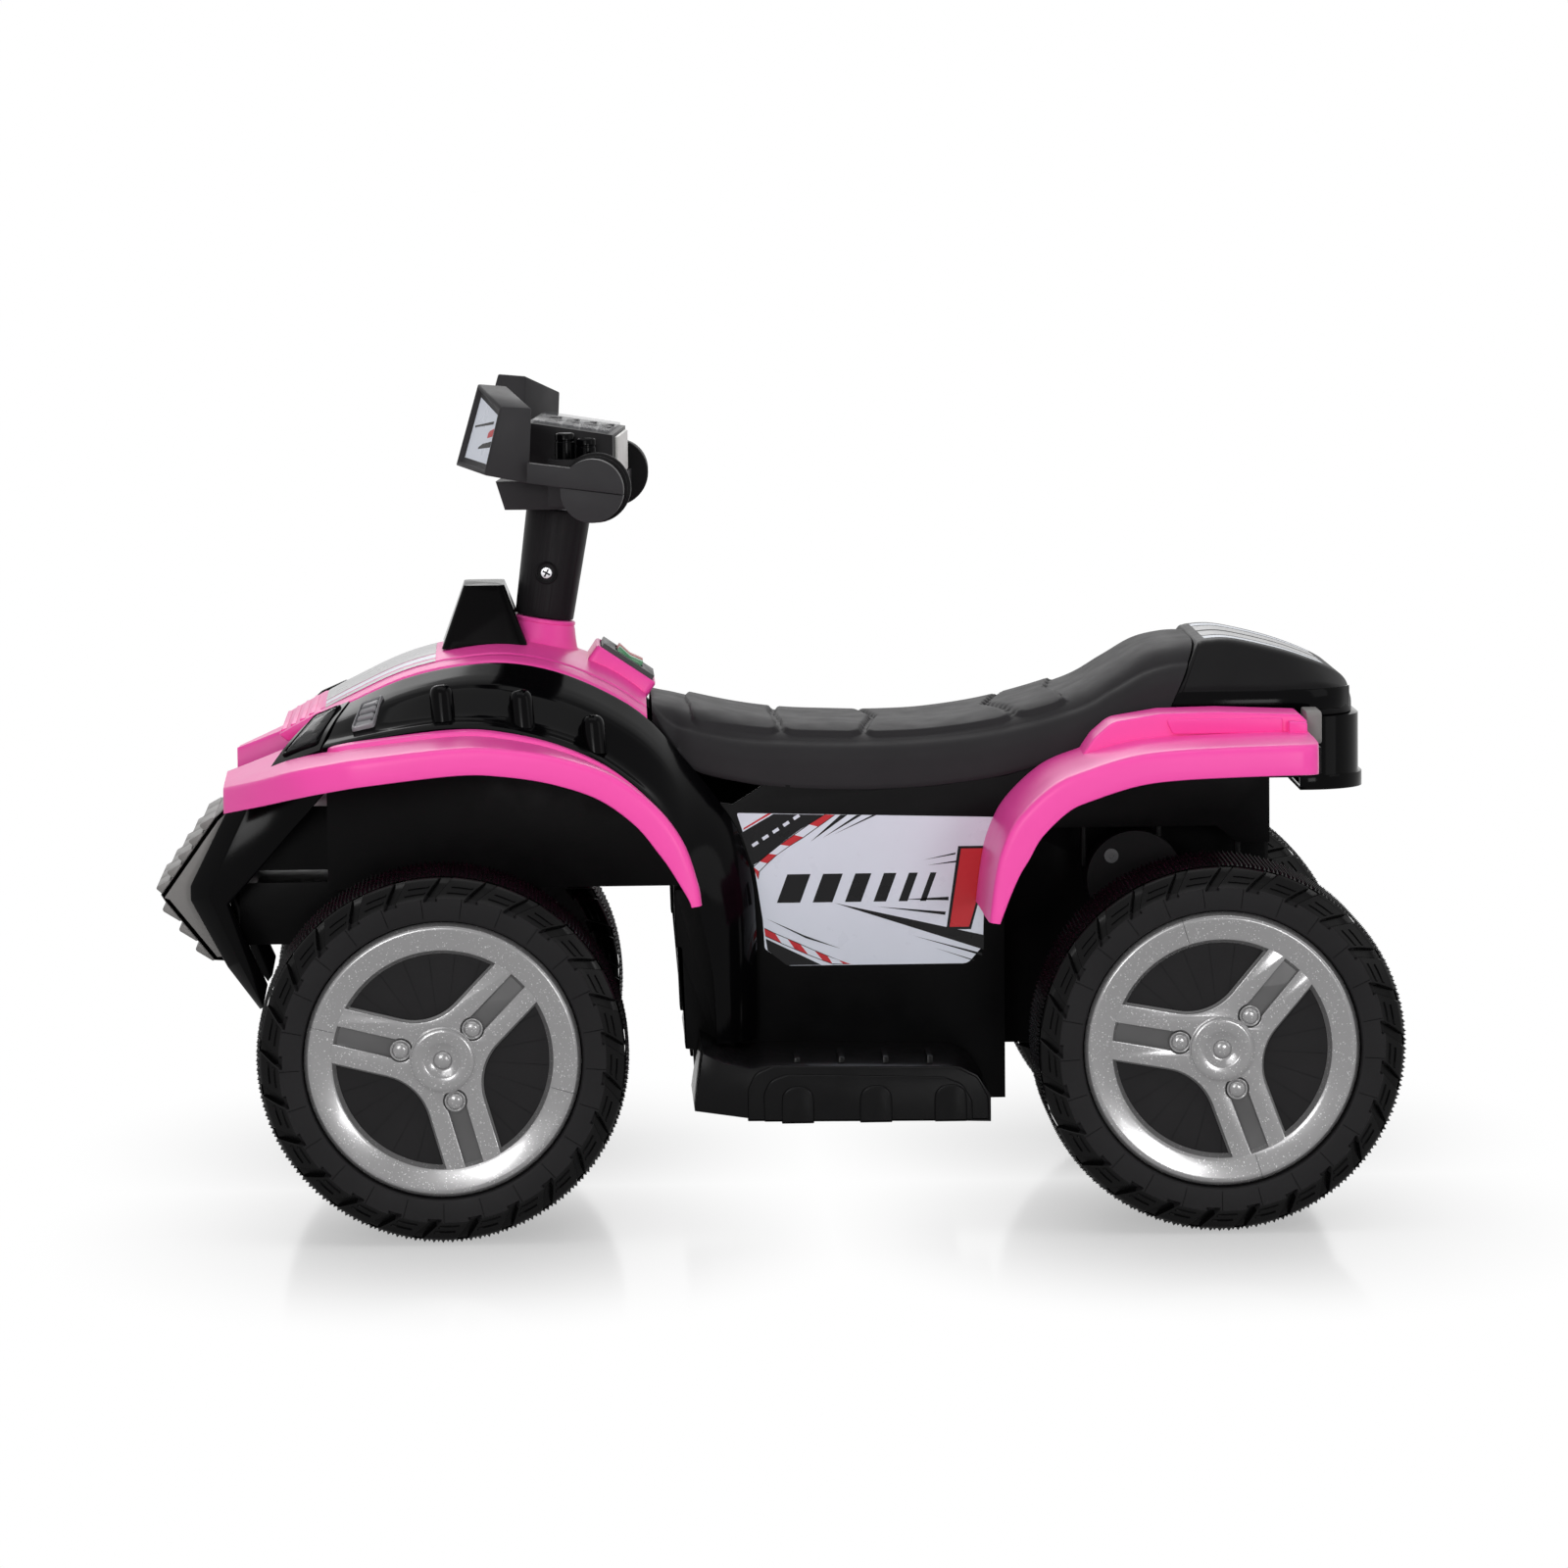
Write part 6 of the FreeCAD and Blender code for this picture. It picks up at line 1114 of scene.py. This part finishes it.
LOWER_KERB = (((3.2, 158.6), (2.6, 153.6)), ((-2.6, 155.6), (-6.8, 149.2)), ((-9.4, 152.6), (-14, 146)),
              ((-16.6, 149.4), (-21.6, 142.6)), ((-24.4, 145.8), (-29.6, 139.4)),
              ((-31.8, 142.6), (-35, 137.4)), ((-38, 140), (-41, 137.4)), ((-45, 137.4), (-47, 137.4)))
KERB_BORDER_SHARE = 0.1
# Front x and width of the slanted bars
SPEED_BARS = ((-4.0, 13.0), (-24.0, 11.0), (-42.0, 9.0), (-58.0, 7.0), (-72.0, 5.0), (-84.0, 3.4))
BAR_LOW, BAR_TOP, BAR_SLANT = 172.4, 188.4, 6.0
RED_BAR = ((-107.2, 201.6), (-124.0, 201.6), (-111.4, 157.6), (-100.4, 157.6))
BLACK_BAR = ((-105.6, 203.0), (-125.6, 203.0), (-112.4, 156.2), (-98.6, 156.2))
STREAKS = (
    ((-36, 172), (-119.6, 152.8), (-119.4, 144.6)), ((-60, 169.6), (-98, 164.4), (-98.4, 166.2)),
    ((-74, 173.4), (-100, 172.6), (-100, 174.6)), ((-86, 195.4), (-104, 198.4), (-104.2, 199.4)),
    ((-88, 192.4), (-105, 194), (-105.2, 195)), ((-44, 221.4), (-23, 206.4), (-40, 221.4)),
    ((-52, 221.2), (-30, 208.6), (-49, 221.2)), ((-60, 221), (-36, 210.4), (-57.6, 221)),
    ((-80, 153), (-118.6, 141.2), (-118.4, 142.6)), ((-92, 146), (-114.4, 138.8), (-113.6, 138.4)),
    ((2.6, 164), (-20, 152.4), (-40, 146), (-19, 154)))


def film(bm, outline, level, sign):
    """One printed patch, a layer or more over the white field."""
    y = (DECAL_Y + level * FILM) * sign
    bm.faces.new([bm.verts.new(Vector((x, y, z)) * MM) for x, z in outline])


def kerb(parts, pairs, sign):
    """Blocks of red and white between two curves, with a dark line along both."""
    film(parts["black"], [a for a, _ in pairs] + [b for _, b in pairs[::-1]], 1, sign)
    near, far = KERB_BORDER_SHARE, 1 - KERB_BORDER_SHARE
    for number, (first, second) in enumerate(zip(pairs, pairs[1:])):
        corners = []
        for (a, b), shares in ((first, (near, far)), (second, (far, near))):
            corners += [Vector(a).lerp(Vector(b), share) for share in shares]
        film(parts["white" if number % 2 else "red"], corners, 2, sign)


def road(parts, sign):
    """Dark road with a dashed white line and a red edge."""
    film(parts["black"], ROAD, 1, sign)
    start, end = ROAD_LINE
    across = (end - start).orthogonal().normalized() * -ROAD_DASH_HALF
    for k in range(ROAD_DASHES):
        a, b = (start.lerp(end, k / ROAD_DASHES + share) for share in (0.0, ROAD_DASH_SHARE))
        film(parts["white"], [a + across, b + across, b - across, a - across], 2, sign)
    film(parts["red"], ROAD_EDGE, 2, sign)


def decals():
    """White field with a dashed road, red and white kerbs, slanted bars and speed streaks."""
    field = rounded(DECAL, DECAL_ROUND, 3)
    for side, sign in SIDES.items():
        parts = {name: bmesh.new() for name in ("white", "black", "red")}
        prism(parts["white"], field, (DECAL_Y - DECAL_THICK) * sign, DECAL_Y * sign)
        road(parts, sign)
        kerb(parts, UPPER_KERB, sign)
        kerb(parts, LOWER_KERB, sign)
        film(parts["black"], LOWER_CORNER, 1, sign)
        for x, width in SPEED_BARS:
            top = x - BAR_SLANT
            bar = [(x, BAR_LOW), (top, BAR_TOP), (top - width, BAR_TOP), (x - width, BAR_LOW)]
            film(parts["black"], bar, 1, sign)
        for outline in STREAKS:
            film(parts["black"], outline, 1, sign)
        film(parts["black"], BLACK_BAR, 2, sign)
        film(parts["red"], RED_BAR, 3, sign)
        piece(side + "_decal_field", parts["white"], "film_white", "chassis", [side + "_side_decal"])
        piece(side + "_decal_black", parts["black"], "film_black")
        piece(side + "_decal_red", parts["red"], "film_red")


strip()
headlights()
fenders()
hood()
console_bezel()
seat()
tail()
decals()


# Handlebar: drawn straight ahead and then turned about the steering axis, as the photo shows it
BAR_TURN_DEG = -4.0
BAR_PIVOT = Matrix.Translation(AXIS_POINT * MM)
BAR_TURN = BAR_PIVOT @ Matrix.Rotation(math.radians(BAR_TURN_DEG), 4, AXIS) @ BAR_PIVOT.inverted()
# Corners of a hand guard as x and z: rear top, front top, front low and rear low, at its inner and outer end
GUARD_INNER = ((138, 461), (154, 462.4), (167, 417), (140, 416))
GUARD_OUTER = ((121, 450), (138, 451), (147.5, 413.4), (123, 408.6))
GUARD_INNER_Y, GUARD_OUTER_Y = 74.0, 116.0
GUARD_RIM, GUARD_SLOPE, GUARD_SUNK = 3.6, 1.2, 2.0
# Sticker on the guard's sunk panel: look, lift, and corners as shares of its width and height
GUARD_MARKS = (("film_white", 0.0, ((0.0, 0.0), (1.0, 0.0), (1.0, 1.0), (0.0, 1.0))),
               ("film_black", 0.1, ((0.25, 0.16), (0.98, 0.34), (0.98, 0.46), (0.25, 0.22))),
               ("film_red", 0.1, ((0.4, 0.34), (0.98, 0.56), (0.98, 0.72), (0.4, 0.42))),
               ("film_black", 0.2, ((0.1, 0.52), (0.9, 0.78), (0.9, 0.84), (0.1, 0.55))))
MARK_SHARE, MARK_LIFT = 0.86, 0.12
GRIP_X, GRIP_Z = 88.0, 404.6
# Grip as radius and y
GRIP_FORM = (
    (9.0, 82.6), (19.0, 83.0), (19.5, 83.8), (19.5, 87.2), (18.9, 88.0), (17.9, 88.2), (17.9, 91.4),
    (17.2, 92.2), (13.2, 92.6), (13.4, 95.0), (12.6, 95.6), (12.6, 96.6), (13.4, 97.2), (13.4, 100.0),
    (12.6, 100.6), (12.6, 101.6), (13.4, 102.2), (13.4, 105.0), (12.6, 105.6), (12.6, 106.6), (13.4, 107.2),
    (13.4, 112.0), (12.6, 118.6), (9.0, 118.6))
# End cap over the grip, split by a slanted line, with an arm to the guard
DISC_R, DISC_OUT, DISC_STEP, ARM_IN = 17.4, 124.6, 0.5, 114.0
SPLIT_RISE, SPLIT_HALF = 0.13, 0.2
ARM = ((123.6, 420.4), (100.4, 417.4))
ARM_FOOT = ((104.9, 406.8), (123.6, 409.4))
# Keys on the dash: half sizes, height at an x and slope, then share of the outline and lift of each ring
KEY_X, KEY_Y = (87.0, 97.0, 107.0, 117.0), (-16.0, 16.0)
KEY_HALF_LONG, KEY_HALF = 3.6, 6.0
KEY_Z, KEY_Z_AT_X, KEY_SLOPE = 440.0, 126.0, 0.15
KEY_RINGS = ((1.0, -2.0), (1.0, 0.5), (0.92, 1.2), (0.7, 1.3))
# Buttons: x and height of the top, then radius and depth below the top
BUTTONS = {"horn_button": (106.0, 434.4), "music_button": (94.0, 431.4)}
BUTTON_Y, BUTTON_R, BUTTON_FOOT_Z = 72.0, 5.5, 415.4
BUTTON_FORM = ((5.5, 5.0), (5.1, 4.6), (5.1, 4.0), (5.5, 3.6), (5.5, 1.0), (5.1, 0.4), (4.4, 0.0), (3.6, 0.2),
               (0.0, 0.5))
# Column screw and the well round it as radius and y, and its slot
SCREW_PLACE = Vector((121.0, 0.0, 353.0))
WELL_FORM = ((0.0, 16.9), (5.0, 16.9), (5.2, 18.3), (6.0, 18.5), (6.4, 18.1), (6.4, 15.0))
SCREW_FORM = ((3.4, 16.9), (3.4, 17.6), (3.0, 18.1), (1.9, 18.3), (0.0, 18.3))
SLOT_TURN, SLOT_HALF_LONG, SLOT_HALF = 0.5, 2.4, 0.45
SLOT_LOW, SLOT_TOP = 18.0, 18.45


def bar_piece(name, bm, style, side, nodes=()):
    """A piece of one side of the handlebar: mirrored for the right side, then turned with the bar."""
    flip = Matrix.Diagonal((1, SIDES[side], 1, 1))
    piece("%s_%s" % (side, name), bm, style, "steering", nodes, matrix=BAR_TURN @ flip)


def half_disc(upper):
    """Outline of the end cap above or below its slanted split, the upper one with the arm to the guard."""
    start = math.atan(SPLIT_RISE) + (0.0 if upper else math.pi)
    middle_z = GRIP_Z + (SPLIT_HALF if upper else -SPLIT_HALF)
    arc = [polar(DISC_R, start + math.pi * k / 28) for k in range(29)]
    outline = [(GRIP_X + x, middle_z + z) for x, z in arc]
    if upper:
        outline = [*ARM, *((x, z) for x, z in outline if x < ARM[1][0]), *ARM_FOOT]
    return outline


def hand_guard(side):
    """Wedge-shaped guard with a sunk front panel, and a plain striped sticker on it."""
    bm = bmesh.new()
    ends = ((GUARD_INNER, GUARD_INNER_Y), (GUARD_OUTER, GUARD_OUTER_Y))
    skin(bm, [[(x, y, z) for x, z in corners] for corners, y in ends])
    bmesh.ops.recalc_face_normals(bm, faces=bm.faces)
    front = max(bm.faces, key=lambda face: face.normal.x)
    bmesh.ops.inset_individual(bm, faces=[front], thickness=GUARD_RIM * MM, depth=0.0)
    bmesh.ops.inset_individual(bm, faces=[front], thickness=GUARD_SLOPE * MM, depth=-GUARD_SUNK * MM)
    panel = [vertex.co.copy() for vertex in front.verts]
    normal = front.normal.copy()
    soften(bm, 0.9)
    bar_piece("guard_shell", bm, "bar_black", side, [side + "_hand_guard"])
    middle = sum(panel, Vector()) / len(panel)
    corners = [middle + (corner - middle) * MARK_SHARE + normal * MARK_LIFT * MM for corner in panel]
    corners.sort(key=lambda corner: corner.z)
    base = sorted(corners[:2], key=lambda corner: corner.y)
    top = sorted(corners[2:], key=lambda corner: corner.y)
    for number, (style, lift, spots) in enumerate(GUARD_MARKS, 1):
        bm = bmesh.new()
        places = [base[0].lerp(base[1], a).lerp(top[0].lerp(top[1], a), b) for a, b in spots]
        bm.faces.new([bm.verts.new(place + normal * lift * MM) for place in places])
        bar_piece("guard_mark_%d" % number, bm, style, side)


def handlebar():
    """Hand guards, end caps, grips, dash keys and buttons."""
    for side in SIDES:
        hand_guard(side)
        bm = bmesh.new()
        prism(bm, half_disc(True), ARM_IN, DISC_OUT)
        prism(bm, half_disc(False), ARM_IN, DISC_OUT - DISC_STEP)
        soften(bm, 0.7)
        bar_piece("bar_end", bm, "bar_black", side)
        bm = bmesh.new()
        revolve(bm, GRIP_FORM, (GRIP_X, 0, GRIP_Z), (0, 1, 0), 48)
        bar_piece("grip_form", bm, "black_satin", side, [side + "_grip"])
    bm = bmesh.new()
    outline = rounded(box(KEY_HALF_LONG, KEY_HALF), 1.6)
    for x in KEY_X:
        z = KEY_Z + (x - KEY_Z_AT_X) * KEY_SLOPE
        for y in KEY_Y:
            skin(bm, [[(x + a * share, y + b * share, z + lift) for a, b in outline]
                      for share, lift in KEY_RINGS])
    piece("dash_keys", bm, "bar_black", "steering", (), 40.0, BAR_TURN)
    for name, (x, top) in BUTTONS.items():
        bm = bmesh.new()
        form = [(BUTTON_R, BUTTON_FOOT_Z)] + [(radius, top - depth) for radius, depth in BUTTON_FORM]
        revolve(bm, form, (x, BUTTON_Y, 0), (0, 0, 1), 36)
        piece(name + "_form", bm, "black_gloss", name, [name], 40.0, BAR_TURN)


def column_screw():
    """Screw with a cross slot in a sunk ring on each side of the column."""
    for side in SIDES:
        for name, style, form, steps in (("screw_well", "black_satin", WELL_FORM, 36),
                                         ("column_screw", "steel", SCREW_FORM, 28)):
            bm = bmesh.new()
            revolve(bm, form, SCREW_PLACE, (0, 1, 0), steps)
            bar_piece(name, bm, style, side)
        bm = bmesh.new()
        for turn in (SLOT_TURN, SLOT_TURN + math.pi / 2):
            c, s = polar(1.0, turn)
            bar = [(a * c - b * s, a * s + b * c) for a, b in box(SLOT_HALF_LONG, SLOT_HALF)]
            prism(bm, [(SCREW_PLACE.x + x, SCREW_PLACE.z + z) for x, z in bar], SLOT_LOW, SLOT_TOP)
        bar_piece("column_slot", bm, "black_satin", side)


# Bumper: skid plate with rows of teeth, and rails with a front facet, all as x and z
SKID_FACE = ((305.0, 231.8), (313.8, 223.3), (345.0, 179.6), (342.2, 170.9), (315.0, 136.9), (305.2, 135.2))
SKID_HALF, SKID_TOOTH, SKID_SHEET, SKID_WALL = 56.0, 4.4, 3.2, 4.0
SKID_COLUMNS = ((-55.6, -19.5), (-18.0, 18.0), (19.5, 55.6))
TOOTH_UPPER, TOOTH_LOWER = 5, 3
# Outline of a tooth: share of its length, distance past that, depth below the face
TOOTH_FORM = ((0.0, 0.3, SKID_TOOTH + 1.0), (0.0, 0.5, SKID_TOOTH - 0.8), (0.74, 0.0, 0.0), (0.84, 0.0, 0.5),
              (0.88, 0.0, SKID_TOOTH + 1.0))
RAIL_FRONT = ((303.0, 225.0), (324.0, 183.0), (324.0, 175.0), (304.0, 137.0), (286.0, 112.6))
RAIL_FACET = ((291.5, 227.0), (313.0, 182.0), (313.4, 177.0), (297.0, 141.0), (284.0, 114.6))
RAIL_BACK = ((281.8, 126.0), (302.4, 173.0), (247.4, 235.6))
RAIL_Y = (57.0, 63.5, 71.3)
RAIL_LAP = 2.0


def inset(points, depth):
    """An open side-view line moved in by a depth, away from the front."""
    return [Vector(point) + Vector(normal) * depth for point, normal in zip(points, away(points))]


def teeth(bm, start, end, count, low_first):
    """A run of teeth down one slope of the skid plate, in its columns."""
    run = (Vector(end) - Vector(start)) / count
    ahead = run.normalized()
    inward = Vector((ahead.y, -ahead.x))
    shape = [(run.length * share + past, depth) for share, past, depth in TOOTH_FORM]
    if low_first:
        shape = [(run.length - t, depth) for t, depth in shape[::-1]]
    for k in range(count):
        at = Vector(start) + run * k
        outline = [at + ahead * t + inward * depth for t, depth in shape]
        for low, high in SKID_COLUMNS:
            prism(bm, outline, low, high)


def bumper():
    face = inset(SKID_FACE, SKID_TOOTH)
    back = inset(SKID_FACE, SKID_TOOTH + SKID_SHEET)
    bm = bmesh.new()
    prism(bm, face + back[::-1], -SKID_HALF, SKID_HALF)
    rail = [(x - RAIL_LAP, z) for x, z in RAIL_FRONT[:4]]
    prism(bm, face + rail[::-1], SKID_HALF - SKID_WALL, SKID_HALF)
    prism(bm, face + rail[::-1], -SKID_HALF, SKID_WALL - SKID_HALF)
    teeth(bm, SKID_FACE[1], SKID_FACE[2], TOOTH_UPPER, False)
    teeth(bm, SKID_FACE[3], SKID_FACE[4], TOOTH_LOWER, True)
    soften(bm, 0.5)
    piece("skid", bm, "grey", "chassis", ["skid_plate"])
    bm = bmesh.new()
    lines = (RAIL_FRONT + RAIL_BACK, RAIL_FRONT + RAIL_BACK, RAIL_FACET + RAIL_BACK)
    skin(bm, [[(x, y, z) for x, z in line] for line, y in zip(lines, RAIL_Y)])
    soften(bm, 0.7, 12.0)
    both("rail", bm, "black_gloss", ["front_bumper"], (), 40.0)


# Footboard: two arched plates on the outer face, one on the other, and pads on them
BOARD_Y, BOARD_SUNK, BOARD_LOW = 191.6, 3.0, 63.2
BOARD_ARCH = ((16.0, 64.4), (16.0, 82.0), (12.0, 91.0), (2.0, 95.0), (-99.0, 92.4), (-110.0, 87.0),
              (-115.6, 76.0), (-116.0, 63.0))
BOARD_ROUND = (0.5, 8, 8, 8, 8, 8, 6, 0.5)
BOARD_MIDDLE = Vector((-50.0, 62.8))
BOARD_INSET, BOARD_PLATE = 9.0, 1.4
BOARD_PAD_X = (-11.3, -54.0, -94.9)
BOARD_PAD_HALF, BOARD_PAD_TOP, BOARD_PAD_PROUD = 8.8, 83.6, 4.4
# Leg liner as x and z, and ribs on the tub as x and height of the top
LINER = ((53.4, 181.0), (52.6, 148.0), (50.0, 147.6), (48.0, 91.0), (43.6, 90.6), (42.4, 64.0), (20.0, 64.0),
         (20.0, 181.0))
LINER_IN, LINER_OUT = 70.0, 93.0
TUB_RIBS = ((226.0, 236.0), (196.0, 236.0), (150.0, 236.0), (112.0, 236.0), (-176.0, 240.0), (-218.0, 240.0),
            (-262.0, 240.0))
TUB_RIB_HALF, TUB_RIB_LOW = 1.6, 190.0
TUB_RIB_IN, TUB_RIB_OUT = 86.0, 89.4


def board_plate(name, outline, proud):
    side_form(name, outline, BOARD_Y - BOARD_SUNK, BOARD_Y + proud, "board_black", 1.1)


def footboards():
    arms = [Vector(point) - BOARD_MIDDLE for point in BOARD_ARCH]
    for level, edge in enumerate((0.0, BOARD_INSET), 1):
        shrunk = [BOARD_MIDDLE + arm.normalized() * (arm.length - edge) for arm in arms]
        outline = rounded([(x, max(z, BOARD_LOW)) for x, z in shrunk], BOARD_ROUND, 4)
        board_plate("board_arch_%d" % level, outline, BOARD_PLATE * level)
    half = BOARD_PAD_HALF
    for number, x in enumerate(BOARD_PAD_X, 1):
        front, rear = x + half, x - half
        corners = ((front, BOARD_LOW), (front, BOARD_PAD_TOP), (rear, BOARD_PAD_TOP), (rear, BOARD_LOW))
        board_plate("board_pad_%d" % number, rounded(corners, (0.5, half, half, 0.5), 8), BOARD_PAD_PROUD)


def leg_liners():
    """Stepped inner panel beside the leg, behind the front wheel."""
    side_form("leg_liner", rounded(LINER, 0.8, 3), LINER_IN, LINER_OUT, "tub_black", 0.8)


def tub_ribs():
    """Upright ribs on the body's side inside the wheel arches."""
    for number, (x, top) in enumerate(TUB_RIBS, 1):
        half = (top - TUB_RIB_LOW) / 2
        corners = [(x + a, z) for a, z in box(TUB_RIB_HALF, half, TUB_RIB_LOW + half)]
        side_form("tub_rib_%d" % number, rounded(corners, 1.2), TUB_RIB_IN, TUB_RIB_OUT, "tub_black", 0.8)


handlebar()
column_screw()
tub_ribs()
bumper()
footboards()
leg_liners()

# Other solids that are seen: look and width of the rounded edges
FORMS = (
    ("chassis_tub", "tub_black", 1.2), ("intake_cover", "intake_black", 2.4),
    ("rear_panel", "black_gloss", 1.2), ("switch_base", "panel_grey", 1.0), ("power_rocker", "red", 0.4),
    ("direction_rocker", "green", 0.4), ("steering_column", "column_black", 0.8),
    ("handlebar_lower", "bar_black", 1.0),
    ("handlebar_upper", "column_black", 1.0), ("dash_lens", "clear", 0.3), ("dash_panel", "white", 0.6),
    ("accelerator_pedal", "black_satin", 0.8), ("left_tail_light", "grey", 0.8),
    ("left_footboard", "board_black", 0.8), ("right_tail_light", "grey", 0.8),
    ("right_footboard", "board_black", 0.8))
for name, style, width in FORMS:
    dressed(name, style, width)

# Working parts inside the body keep their solids
INSIDE = {
    "battery": "case", "motor": "steel", "gearbox_inner": "black_satin", "gearbox_outer": "black_satin",
    "front_axle_beam": "tub_black", "rear_axle": "steel", "case_screws": "dark_steel",
    "steering_rod": "steel", "tie_rod": "steel", "left_knuckle": "steel", "right_knuckle": "steel",
    "motor_pinion": "nylon", "idler_gear": "nylon", "output_gear": "nylon"}
for name, style in INSIDE.items():
    materials = frame["nodes"][name].data.materials
    materials.clear()
    materials.append(LOOKS[style][0])


# Floor, light and camera, in metres and watts
WHITE = (1.0, 1.0, 1.0, 1.0)
SOFT_STRENGTH = 0.3
FLOOR_HALF, FLOOR_COLOUR, FLOOR_ROUGH, FLOOR_SPECULAR = 6.0, (0.86, 0.86, 0.86, 1.0), 0.1, 0.5
GLOW_FROM, GLOW_TO, GLOW_NEAR = 0.03, 0.24, 0.45
SPOT_STRETCH = 0.72


def maths(tree, kind, first, second=0.0):
    """One step of arithmetic on two values."""
    return node(tree, "ShaderNodeMath", {0: first, 1: second}, "Value", operation=kind)


def seen_rays(tree):
    """1 for rays that show the background: from the camera, off gloss and through glass."""
    found = node(tree, "ShaderNodeLightPath", {}, "Is Camera Ray")
    kinds = found.node.outputs
    for kind in ("Is Glossy Ray", "Is Transmission Ray"):
        found = maths(tree, "MAXIMUM", found, kinds[kind])
    return found


def contact_distance(tree):
    """Distance on the floor from the nearest of the four places where the wheels stand."""
    x = node(tree, "ShaderNodeSeparateXYZ", {"Vector": place_of(tree)}, "X")
    y = x.node.outputs["Y"]
    middle = (FRONT_AXLE_X + REAR_AXLE_X) / 2 * MM
    half = (FRONT_AXLE_X - REAR_AXLE_X) / 2 * MM
    along = maths(tree, "SUBTRACT", maths(tree, "ABSOLUTE", maths(tree, "SUBTRACT", x, middle)), half)
    across = maths(tree, "SUBTRACT", maths(tree, "ABSOLUTE", y), WHEEL_Y * MM)
    inputs = {"X": along, "Y": maths(tree, "MULTIPLY", across, SPOT_STRETCH)}
    way = node(tree, "ShaderNodeCombineXYZ", inputs, "Vector")
    return node(tree, "ShaderNodeVectorMath", {0: way}, "Value", operation="LENGTH")


def floor():
    """White floor: it glows to the camera, and less so near the wheels, where their shadows show."""
    bm = bmesh.new()
    bmesh.ops.create_grid(bm, x_segments=2, y_segments=2, size=FLOOR_HALF)
    mesh = bpy.data.meshes.new("floor")
    bm.to_mesh(mesh)
    bm.free()
    ground = bpy.data.objects.new("floor", mesh)
    bpy.context.scene.collection.objects.link(ground)
    material = bpy.data.materials.new("floor_white")
    material.use_nodes = True
    tree = material.node_tree
    shader = tree.nodes["Principled BSDF"]
    shader.inputs["Base Color"].default_value = FLOOR_COLOUR
    shader.inputs["Roughness"].default_value = FLOOR_ROUGH
    shader.inputs["Specular IOR Level"].default_value = FLOOR_SPECULAR
    reach = {"Value": contact_distance(tree), "From Min": GLOW_FROM, "From Max": GLOW_TO, "To Min": GLOW_NEAR}
    share = node(tree, "ShaderNodeMapRange", reach, "Result", interpolation_type="SMOOTHSTEP")
    glow = node(tree, "ShaderNodeEmission", {}, "Emission")
    inputs = {"Fac": maths(tree, "MULTIPLY", share, seen_rays(tree)), 1: shader.outputs["BSDF"], 2: glow}
    mixed = node(tree, "ShaderNodeMixShader", inputs, "Shader")
    tree.links.new(mixed, tree.nodes["Material Output"].inputs["Surface"])
    mesh.materials.append(material)


def backdrop():
    """World that is white to the camera and in reflections, and softer as a lamp."""
    world = bpy.data.worlds.new("studio")
    bpy.context.scene.world = world
    world.use_nodes = True
    tree = world.node_tree
    soft = tree.nodes["Background"]
    soft.inputs["Color"].default_value = WHITE
    soft.inputs["Strength"].default_value = SOFT_STRENGTH
    white = node(tree, "ShaderNodeBackground", {"Color": WHITE, "Strength": 1.0}, "Background")
    inputs = {"Fac": seen_rays(tree), 1: soft.outputs["Background"], 2: white}
    mixed = node(tree, "ShaderNodeMixShader", inputs, "Shader")
    tree.links.new(mixed, tree.nodes["World Output"].inputs["Surface"])


def lamp(name, place, target, size, power):
    data = bpy.data.lights.new(name, "AREA")
    data.shape = "RECTANGLE"
    data.size, data.size_y = size
    data.energy = power
    shown = bpy.data.objects.new(name, data)
    bpy.context.scene.collection.objects.link(shown)
    shown.location = place
    aim = Vector(target) - Vector(place)
    shown.rotation_euler = aim.to_track_quat("-Z", "Y").to_euler()


floor()
backdrop()
lamp("top_softbox", (0.1, 0.5, 2.3), (0, 0, 0.2), (2.4, 1.4), 17.0)
lamp("camera_softbox", (0.9, 3.2, 1.4), (0, 0, 0.2), (1.6, 1.4), 20.0)
lamp("rear_softbox", (-2.2, 1.2, 1.3), (0, 0, 0.2), (1.0, 1.4), 6.0)
lamp("far_softbox", (0.3, -2.6, 1.7), (0, 0, 0.2), (1.8, 1.2), 14.0)
lamp("front_panel", (0.7, 2.8, 0.68), (0.1, 0, 0.2), (0.5, 0.5), 9.0)
lamp("rear_panel", (-0.9, 2.8, 0.42), (-0.1, 0, 0.2), (0.6, 0.5), 10.0)

# Camera of the photo, its place in millimetres
CAMERA_YAW_DEG = -1.79
CAMERA_PITCH_DEG = 5.88
CAMERA_ROLL_DEG = -0.58
CAMERA_PLACE = Vector((119.3, 4186.7, 661.0))
SENSOR = 36.0
FOCAL_SHARE = 4.711


def camera():
    yaw, pitch, roll = (math.radians(a) for a in (CAMERA_YAW_DEG, CAMERA_PITCH_DEG, CAMERA_ROLL_DEG))
    ahead = Vector((math.sin(yaw) * math.cos(pitch), -math.cos(yaw) * math.cos(pitch), -math.sin(pitch)))
    right = ahead.cross(Vector((0, 0, 1))).normalized()
    up = right.cross(ahead)
    right, up = (right * math.cos(roll) + up * math.sin(roll), up * math.cos(roll) - right * math.sin(roll))
    data = bpy.data.cameras.new("photo_camera")
    data.sensor_width = SENSOR
    data.sensor_fit = "HORIZONTAL"
    data.lens = SENSOR * FOCAL_SHARE
    shown = bpy.data.objects.new("photo_camera", data)
    bpy.context.scene.collection.objects.link(shown)
    turn = Matrix((right, up, -ahead)).transposed().to_4x4()
    shown.matrix_world = Matrix.Translation(CAMERA_PLACE * MM) @ turn
    bpy.context.scene.camera = shown


camera()
bpy.context.scene.view_settings.view_transform = "Standard"
